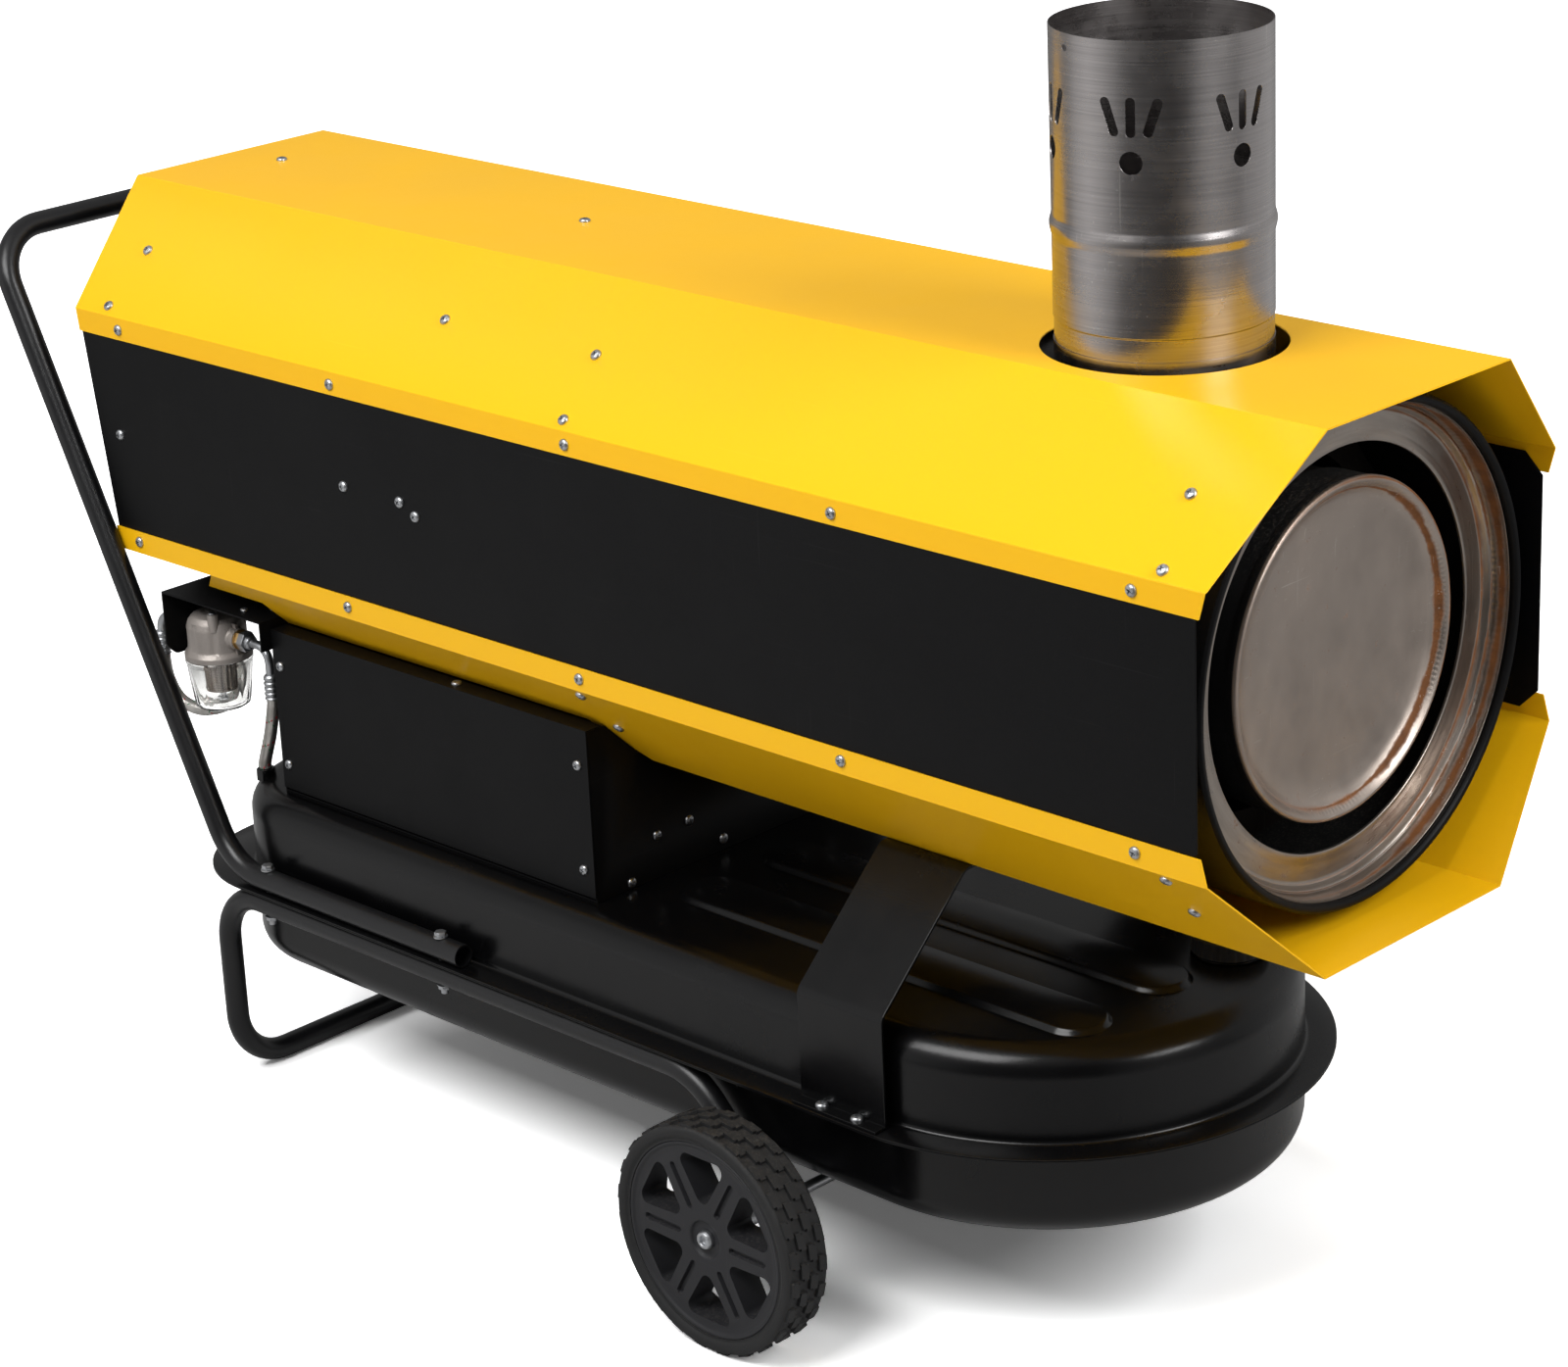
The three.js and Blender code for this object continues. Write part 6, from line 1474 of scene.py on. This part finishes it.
def hose_union(name, way, seat, drop, ferrule_top):
    """way is +1 towards the outlet; seat is where the hexagon starts, drop where the tube turns down."""
    centre = (0.0, FILTER[1], PORT_Z)

    def along(u, v, w):
        return (w, FILTER[1] + u, PORT_Z + v)

    end = seat + way * 16
    turn = (x_at(drop), FILTER[1], PORT_Z)
    line = bent_line([(end - way * 2, FILTER[1], PORT_Z), turn, (turn[0], FILTER[1], ferrule_top - 3)], [18], 12)
    crimp = [(0, ferrule_top), (6.2, ferrule_top), (7.2, ferrule_top - 1)]
    for k in range(4):
        base = ferrule_top - 3 - k * 6
        crimp += [(8.4, base), (8.4, base - 2.6), (7.3, base - 3.6), (7.3, base - 5)]
    crimp += [(8.5, ferrule_top - 27), (8.5, ferrule_top - 28), (0, ferrule_top - 28)]
    collar = [(r, end + way * w) for r, w in eased([(0, -1), (8.4, -1), (7.6, 4.5), (5.8, 6), (0, 6)], 0.6, 2)]
    steel = joined(
        name, zinc_plate,
        turned("shank", rod(6.5, FILTER[0] + way * 29.7, seat), "X", centre, zinc_plate, 32),
        hexagon("hex", 24, seat + way * 6, end, along, zinc_plate, 1.0),
        turned("collar", collar, "X", centre, zinc_plate, 40),
        piped("elbow", line, 5.0, zinc_plate, 24),
        turned("ferrule", eased(crimp, 0.5, 2), "Z", (turn[0], FILTER[1], 0), zinc_plate, 40),
    )
    seal = joined(
        name + "_adaptor", brass,
        turned("washer", rod(11.4, seat, seat + way * 1.6, 0.3), "X", centre, brass, 40),
        hexagon("collar", 22.5, seat + way * 1.5, seat + way * 6.1, along, brass, 0.8),
    )
    fixed(seal, "zinc")
    return steel


suction = hose_union("suction_union", 1, FILTER[0] + 41.0, SUCTION_DROP, 460.0)
fixed(suction, "zinc", "suction_fitting")
supply = hose_union("supply_union", -1, x_at(1530) - 0.3, 1590, 470.0)
fixed(supply, "zinc", "supply_fitting")

# ---------------------------------------------------------------- braided hoses
# Two rubber hoses in a braid of bright steel wire carry the fuel: one down into the tank, and
# one in a bow under the filter to the burner. Both are fastened at both ends.

HOSE_R = 7.5
WIRES, WIRE_PITCH = 16, 30.0
braid_wire, tree = new_material("braid_wire")
where = spot_of(tree)
relief = bumped(tree, 0.25, 0.0003, noise(tree, where, 1500.0, 2.0))
soil = window(tree, noise(tree, where, 55.0, 4.0), 0.35, 0.75)
hue = blended(tree, times(tree, soil, 0.55), shade("c9c6c1"), shade("7b756d"))
principled(tree, Base_Color=hue, Roughness=graded(tree, soil, 0.2, 0.28), Metallic=1.0, Normal=relief)
hose_rubber = coated("hose_rubber", shade("26241f"), 0.7, grain=1400, ripple=0.3, tone=0.25, scratched=0.0)
THREAD = {"grain": 1500, "ripple": 0.2, "tone": 0.2, "scratched": 0.0}
tracer_red = coated("tracer_red", shade("b0232b"), 0.5, **THREAD)
tracer_green = coated("tracer_green", shade("2f7a4d"), 0.5, **THREAD)


def braid_tree():
    """Geometry Nodes: strands wound round a hose's line, spaced evenly, all turning one way."""
    floats = dict.fromkeys(("Turns", "Radius", "Lift", "Crossings", "Start", "Wide", "Thick"), "Float")
    tree, given = grower("braid_strands", Strands="Int", Steps="Int", **floats)

    def vector_step(operation, *values):
        return out(tree, "ShaderNodeVectorMath", dict(enumerate(values)), operation=operation)

    def stretched(vector, length):
        return out(tree, "ShaderNodeVectorMath", {0: vector, "Scale": length}, operation="SCALE")

    line = out(tree, "GeometryNodeMeshToCurve", {0: given["Geometry"]})
    even = out(tree, "GeometryNodeResampleCurve", {"Curve": line, "Count": given["Steps"]})
    copies = put(tree, "GeometryNodeDuplicateElements", {0: even, "Amount": given["Strands"]}, domain="SPLINE")
    share = put(tree, "GeometryNodeSplineParameter").outputs["Factor"]
    phase = sums(tree, "DIVIDE", times(tree, copies.outputs[1], 2 * math.pi), given["Strands"])
    turn = graded(tree, times(tree, share, given["Turns"]), 2 * math.pi, phase)
    turn = sums(tree, "ADD", turn, given["Start"])
    normal = out(tree, "GeometryNodeInputNormal")
    beside = vector_step("CROSS_PRODUCT", out(tree, "GeometryNodeInputTangent"), normal)
    hop = sums(tree, "SINE", times(tree, times(tree, share, given["Crossings"]), math.pi))
    reach = graded(tree, hop, given["Lift"], given["Radius"])
    one = stretched(normal, times(tree, sums(tree, "COSINE", turn), reach))
    two = stretched(beside, times(tree, sums(tree, "SINE", turn), reach))
    kept = put(tree, "GeometryNodeCaptureAttribute", {"Geometry": copies.outputs[0]})
    kept.capture_items.new("VECTOR", "Outward")
    tree.links.new(vector_step("ADD", one, two), kept.inputs["Outward"])
    outward = kept.outputs["Outward"]
    wound = out(tree, "GeometryNodeSetPosition", {"Geometry": kept.outputs[0], "Offset": outward})
    feeds = {"Curve": wound, "Normal": vector_step("NORMALIZE", outward)}
    wound = out(tree, "GeometryNodeSetCurveNormal", feeds, mode="FREE")
    feeds = {"Width": given["Thick"], "Height": given["Wide"]}
    strand = out(tree, "GeometryNodeCurvePrimitiveQuadrilateral", feeds)
    body = out(tree, "GeometryNodeCurveToMesh", {"Curve": wound, "Profile Curve": strand, "Fill Caps": True})
    return realized(tree, body, given["Finish"])


braid_strands = braid_tree()


def smooth_line(points, steps=12):
    """A Catmull-Rom line through these points, in mm."""
    points = [Vector(p) for p in points]
    padded = [points[0] * 2 - points[1]] + points + [points[-1] * 2 - points[-2]]
    line = []
    for a, b, c, d in zip(padded, padded[1:], padded[2:], padded[3:]):
        for k in range(steps):
            t = k / steps
            bend, twist = 2 * a - 5 * b + 4 * c - d, 3 * b - a - 3 * c + d
            line.append(0.5 * (2 * b + (c - a) * t + bend * t**2 + twist * t**3))
    return line + [points[-1]]


def braided(name, points, node):
    """A hose: rubber core, crossing strands of steel wire, and one coloured thread each way."""
    line = smooth_line(points)
    length = sum((b - a).length for a, b in zip(line, line[1:]))
    fixed(piped(name + "_core", line, HOSE_R - 1.1, hose_rubber, 24), "braid")
    turns, steps = length / WIRE_PITCH, int(length / 1.1)
    shared = {"Radius": (HOSE_R - 0.75) * MM, "Steps": steps, "Thick": 0.0005, "Crossings": length / WIRE_PITCH * WIRES}

    def wound(hand, label, **values):
        carrier = bpy.data.meshes.new(name)
        carrier.from_pydata([p * MM for p in line], [(i, i + 1) for i in range(len(line) - 1)], [])
        values = dict(shared, Turns=hand * turns, **values)
        return grown(name + label, carrier, braid_strands, values)

    wires, threads = [], []
    for hand, thread, label in ((1, tracer_red, "_red_tracer"), (-1, tracer_green, "_green_tracer")):
        wires.append(wound(hand, "", Strands=WIRES, Lift=hand * 0.00028, Start=0.0, Wide=0.0014, Finish=braid_wire))
        threads.append(
            wound(hand, label, Strands=1, Lift=hand * 0.0005, Start=0.19 * hand, Wide=0.0015, Finish=thread)
        )
    fixed(joined(name + "_braid", braid_wire, *wires, sharp=50), "braid", node)
    for thread in threads:
        fixed(thread, "braid")


def hose_at(behind, y, height):
    return (x_at(behind), y, height)


SUCTION_TOP, SUPPLY_TOP = 431.7, 441.7
DROP_FORWARD, DROP_ASIDE = 16, 6
BOW_LONG, BOW_WIDE, BOW_DEEP, BOW_START = 82.5, 47, 57, 1590
duct_turn = math.radians(30.4)


def drop(share, height):
    """A point of the suction hose, which shifts sideways on its way down."""
    return hose_at(SUCTION_DROP + DROP_FORWARD * share, FILTER[1] - DROP_ASIDE * share, height)


def bow(run, aside, fall):
    """A point of the supply hose's bow, in shares of its length, width and depth."""
    return hose_at(BOW_START - run * BOW_LONG, FILTER[1] + aside * BOW_WIDE, SUPPLY_TOP - fall * BOW_DEEP)


def to_duct(gap):
    """A point straight out from the duct, where the supply hose enters it."""
    reach = DUCT_OUTER + gap
    return hose_at(1512, -reach * math.sin(duct_turn), AXIS - reach * math.cos(duct_turn))


suction_points = [drop(0, SUCTION_TOP + 3), drop(0, 424.2), drop(0.4, 390.0), drop(1, 355.8), drop(1, 348.3)]
braided("suction", suction_points, "suction_hose")
supply_points = [
    bow(0, 0, -0.05), bow(0, 0, 0.14), bow(0.06, 0, 0.53), bow(0.29, 0.02, 0.9), bow(0.69, 0.17, 1),
    bow(1, 0.64, 0.82), bow(1.02, 1, 0.42), bow(0.97, 0.94, -0.14), to_duct(40), to_duct(0.5),
]
braided("supply", supply_points, "supply_hose")
grommet_line = eased([(0, -2), (11, -2), (11, 5), (9, 8), (0, 8)], 0.8, 3)
grommet = turned("duct_union", grommet_line, "Z", (0, 0, 0), zinc_plate, 40)
lean = Matrix.Rotation(-duct_turn, 4, "X") @ Matrix.Rotation(math.pi, 4, "X")
grommet.data.transform(Matrix.Translation(Vector(to_duct(0.5)) * MM) @ lean)
fixed(grommet, "zinc")

# ---------------------------------------------------------------- intake guard and fan
# A welded wire guard closes the intake at the rear. Behind it an axial fan with five twisted
# blades runs on its motor, which a clamp on four arms holds in the middle of the duct.

GUARD = Vector((x_at(1552), 0, AXIS))


def guard_tree():
    """Geometry Nodes: rings of wire about one centre, on straight bars."""
    inputs = {"Rings": "Int", "First": "Float", "Last": "Float", "Wire": "Float", "Bars": "Int", "Place": "Vector"}
    tree, given = grower("wire_guard", **inputs)
    index = out(tree, "GeometryNodeInputIndex")

    def copies(count, curve, **feeds):
        """Real copies of a curve, one for each point of a count."""
        dots = out(tree, "GeometryNodePoints", {"Count": count})
        copied = out(tree, "GeometryNodeInstanceOnPoints", {"Points": dots, "Instance": curve, **feeds})
        return out(tree, "GeometryNodeRealizeInstances", {"Geometry": copied})

    share = sums(tree, "DIVIDE", index, sums(tree, "SUBTRACT", given["Rings"], 1.0))
    size = graded(tree, share, sums(tree, "SUBTRACT", given["Last"], given["First"]), given["First"])
    ring = out(tree, "GeometryNodeCurvePrimitiveCircle", {"Resolution": 120, "Radius": 1.0})
    rings = copies(given["Rings"], ring, Scale=size)
    wire = out(tree, "GeometryNodeCurvePrimitiveCircle", {"Resolution": 8, "Radius": given["Wire"]})
    ring_wire = out(tree, "GeometryNodeCurveToMesh", {"Curve": rings, "Profile Curve": wire})
    behind = times(tree, given["Wire"], -1.7)
    start, end = (out(tree, "ShaderNodeCombineXYZ", {"X": given[place], "Z": behind}) for place in ("First", "Last"))
    bar = out(tree, "GeometryNodeCurvePrimitiveLine", {"Start": start, "End": end})
    angle = times(tree, sums(tree, "DIVIDE", sums(tree, "ADD", index, 0.5), given["Bars"]), 2 * math.pi)
    bars = copies(given["Bars"], bar, Rotation=out(tree, "ShaderNodeCombineXYZ", {"Z": angle}))
    bar_wire = out(tree, "GeometryNodeCurveToMesh", {"Curve": bars, "Profile Curve": wire, "Fill Caps": True})
    whole = put(tree, "GeometryNodeJoinGeometry", {0: ring_wire})
    tree.links.new(bar_wire, whole.inputs[0])
    return realized(tree, stood_at(tree, whole, (0, math.pi / 2, 0), given["Place"]), given["Finish"])


guard_values = {
    "Rings": 13, "First": 0.038, "Last": 0.2328, "Wire": 0.0017, "Bars": 6, "Place": GUARD * MM, "Finish": black_paint
}
guard = grown("intake_guard", bpy.data.meshes.new("guard"), guard_tree(), guard_values)
guard.data.shade_smooth()
disc_line = eased([(0, -2.4), (39, -2.4), (39, 0), (36, 1.6), (0, 1.6)], 0.8, 3)
boss = turned("badge_disc", disc_line, "X", GUARD, black_paint, 72)
fixed(joined("intake_grille", black_paint, guard, boss, sharp=50), "black_paint", "fan_guard")

FAN_X, FAN_R, HUB_R = x_at(1515), 222.0, 45.0
HUB_PITCH, TIP_PITCH, BLADE_WIDE, CAMBER = 38, 22, 88, 5.0


def fan_blade(turn):
    """A twisted, cambered blade of even thickness, wider and flatter towards its tip."""
    bm = bmesh.new()
    spans, chords, half_thick = 14, 12, 1.5
    c, s = math.cos(turn), math.sin(turn)
    sheets = []
    for face_side in (1, -1):
        rows = []
        for share in (i / spans for i in range(spans + 1)):
            pitch = math.radians(HUB_PITCH + (TIP_PITCH - HUB_PITCH) * share)
            radius = HUB_R - 6 + (FAN_R * 0.975 - HUB_R + 6) * share
            swell = 0.66 + 0.34 * math.sin(math.pi / 2 * min(1.0, share * 1.15))
            width = BLADE_WIDE * swell * (1 - 0.16 * max(0.0, share - 0.88) / 0.12)
            row = []
            for j in range(chords + 1):
                along = (j / chords - 0.5) * width
                edge = math.sin(math.pi * j / chords) ** 0.5 if 0 < j < chords else 0.0
                bulge = CAMBER * (1 - (2 * j / chords - 1) ** 2)
                off = bulge - 3.0 + face_side * half_thick * (0.25 + 0.75 * edge)
                x = off * math.cos(pitch) + along * math.sin(pitch)
                y = along * math.cos(pitch) - off * math.sin(pitch)
                reach = math.sqrt(max(radius**2 - y**2, 1.0))
                spot = ((FAN_X + x) * MM, (y * c - reach * s) * MM, (AXIS + y * s + reach * c) * MM)
                row.append(bm.verts.new(spot))
            rows.append(row)
        sheets.append(rows)
    one, two = sheets
    strips = [pair for rows in sheets for pair in zip(rows, rows[1:])]
    strips += [([row[end] for row in one], [row[end] for row in two]) for end in (0, -1)]
    strips += [(one[end], two[end]) for end in (0, -1)]
    for first, second in strips:
        for i in range(len(first) - 1):
            bm.faces.new((first[i], first[i + 1], second[i + 1], second[i]))
    return solid("blade", bm, black_plastic, 50)


hub_line = eased([(0, 1500), (45, 1500), (45, 1524), (39, 1530), (16, 1530), (15, 1527), (0, 1527)], 1.5, 3)
hub = turned("hub", on_axis(hub_line), "X", ON_AXIS, black_plastic, 72)
shaft = turned("fan_shaft", on_axis(rod(7, 1450, 1528.5)), "X", ON_AXIS, zinc_plate, 32)
blades = [fan_blade(2 * math.pi * k / 5) for k in range(5)]
mounted(joined("fan_wheel", black_plastic, hub, *blades, sharp=50), "fan", "black_plastic", "fan_impeller")
mounted(shaft, "fan", "zinc")


MOTOR_LINE = [
    (0, 1392), (46, 1392), (58, 1398), (60, 1402), (60, 1403), (60, 1470), (57, 1473), (46, 1480), (7.4, 1480),
    (7.4, 1448), (0, 1448),
]
fins = grip(2.4, 36, x_at(1468), x_at(1404))
motor = turned("motor_body", on_axis(eased(MOTOR_LINE, 1.2, 2)), "X", ON_AXIS, cast_metal, 288, 40, wave=fins)
fixed(motor, "cast_metal", "fan_motor")
fixed(copied("motor_mount", "motor_cradle", zinc_plate, hem=0.5, sheet=4.0), "zinc", "motor_mount")

# ---------------------------------------------------------------- chamber and burner
# The combustion chamber and its exchanger stand inside the duct on two spiders, with the
# burner behind them: blower, motor, fuel pump and ignition transformer. Little of it shows.

scaled_steel = bare_steel("fired_steel", shade("4a4440"), 0.5, (12, 90, 12), [], marks=0.8)
# The front spider, seen only deep in the outlet gap, takes the dark duct enamel as painted shade.
for node, finish_of in (
    ("combustion_chamber", scaled_steel), ("heat_exchanger", scaled_steel), ("front_spider", dark_enamel_and_gap_shade),
    ("rear_spider", scaled_steel), ("front_cradle", zinc_plate), ("blast_tube", flue_steel),
    ("burner_housing", cast_metal), ("burner_wheel", zinc_plate), ("burner_motor", black_paint),
    ("fuel_pump", cast_metal), ("ignition_transformer", black_plastic),
):
    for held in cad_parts[node].material_slots:
        held.material = finish_of

# ---------------------------------------------------------------- sizes
# The box of the solids and the box of the finished heater, kept side by side.

cleared(template)
shown_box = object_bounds()
boxes = {"cad": cad_box, "shown": shown_box}
{label: [[float(v) for v in corner] for corner in box] for label, box in boxes.items()}
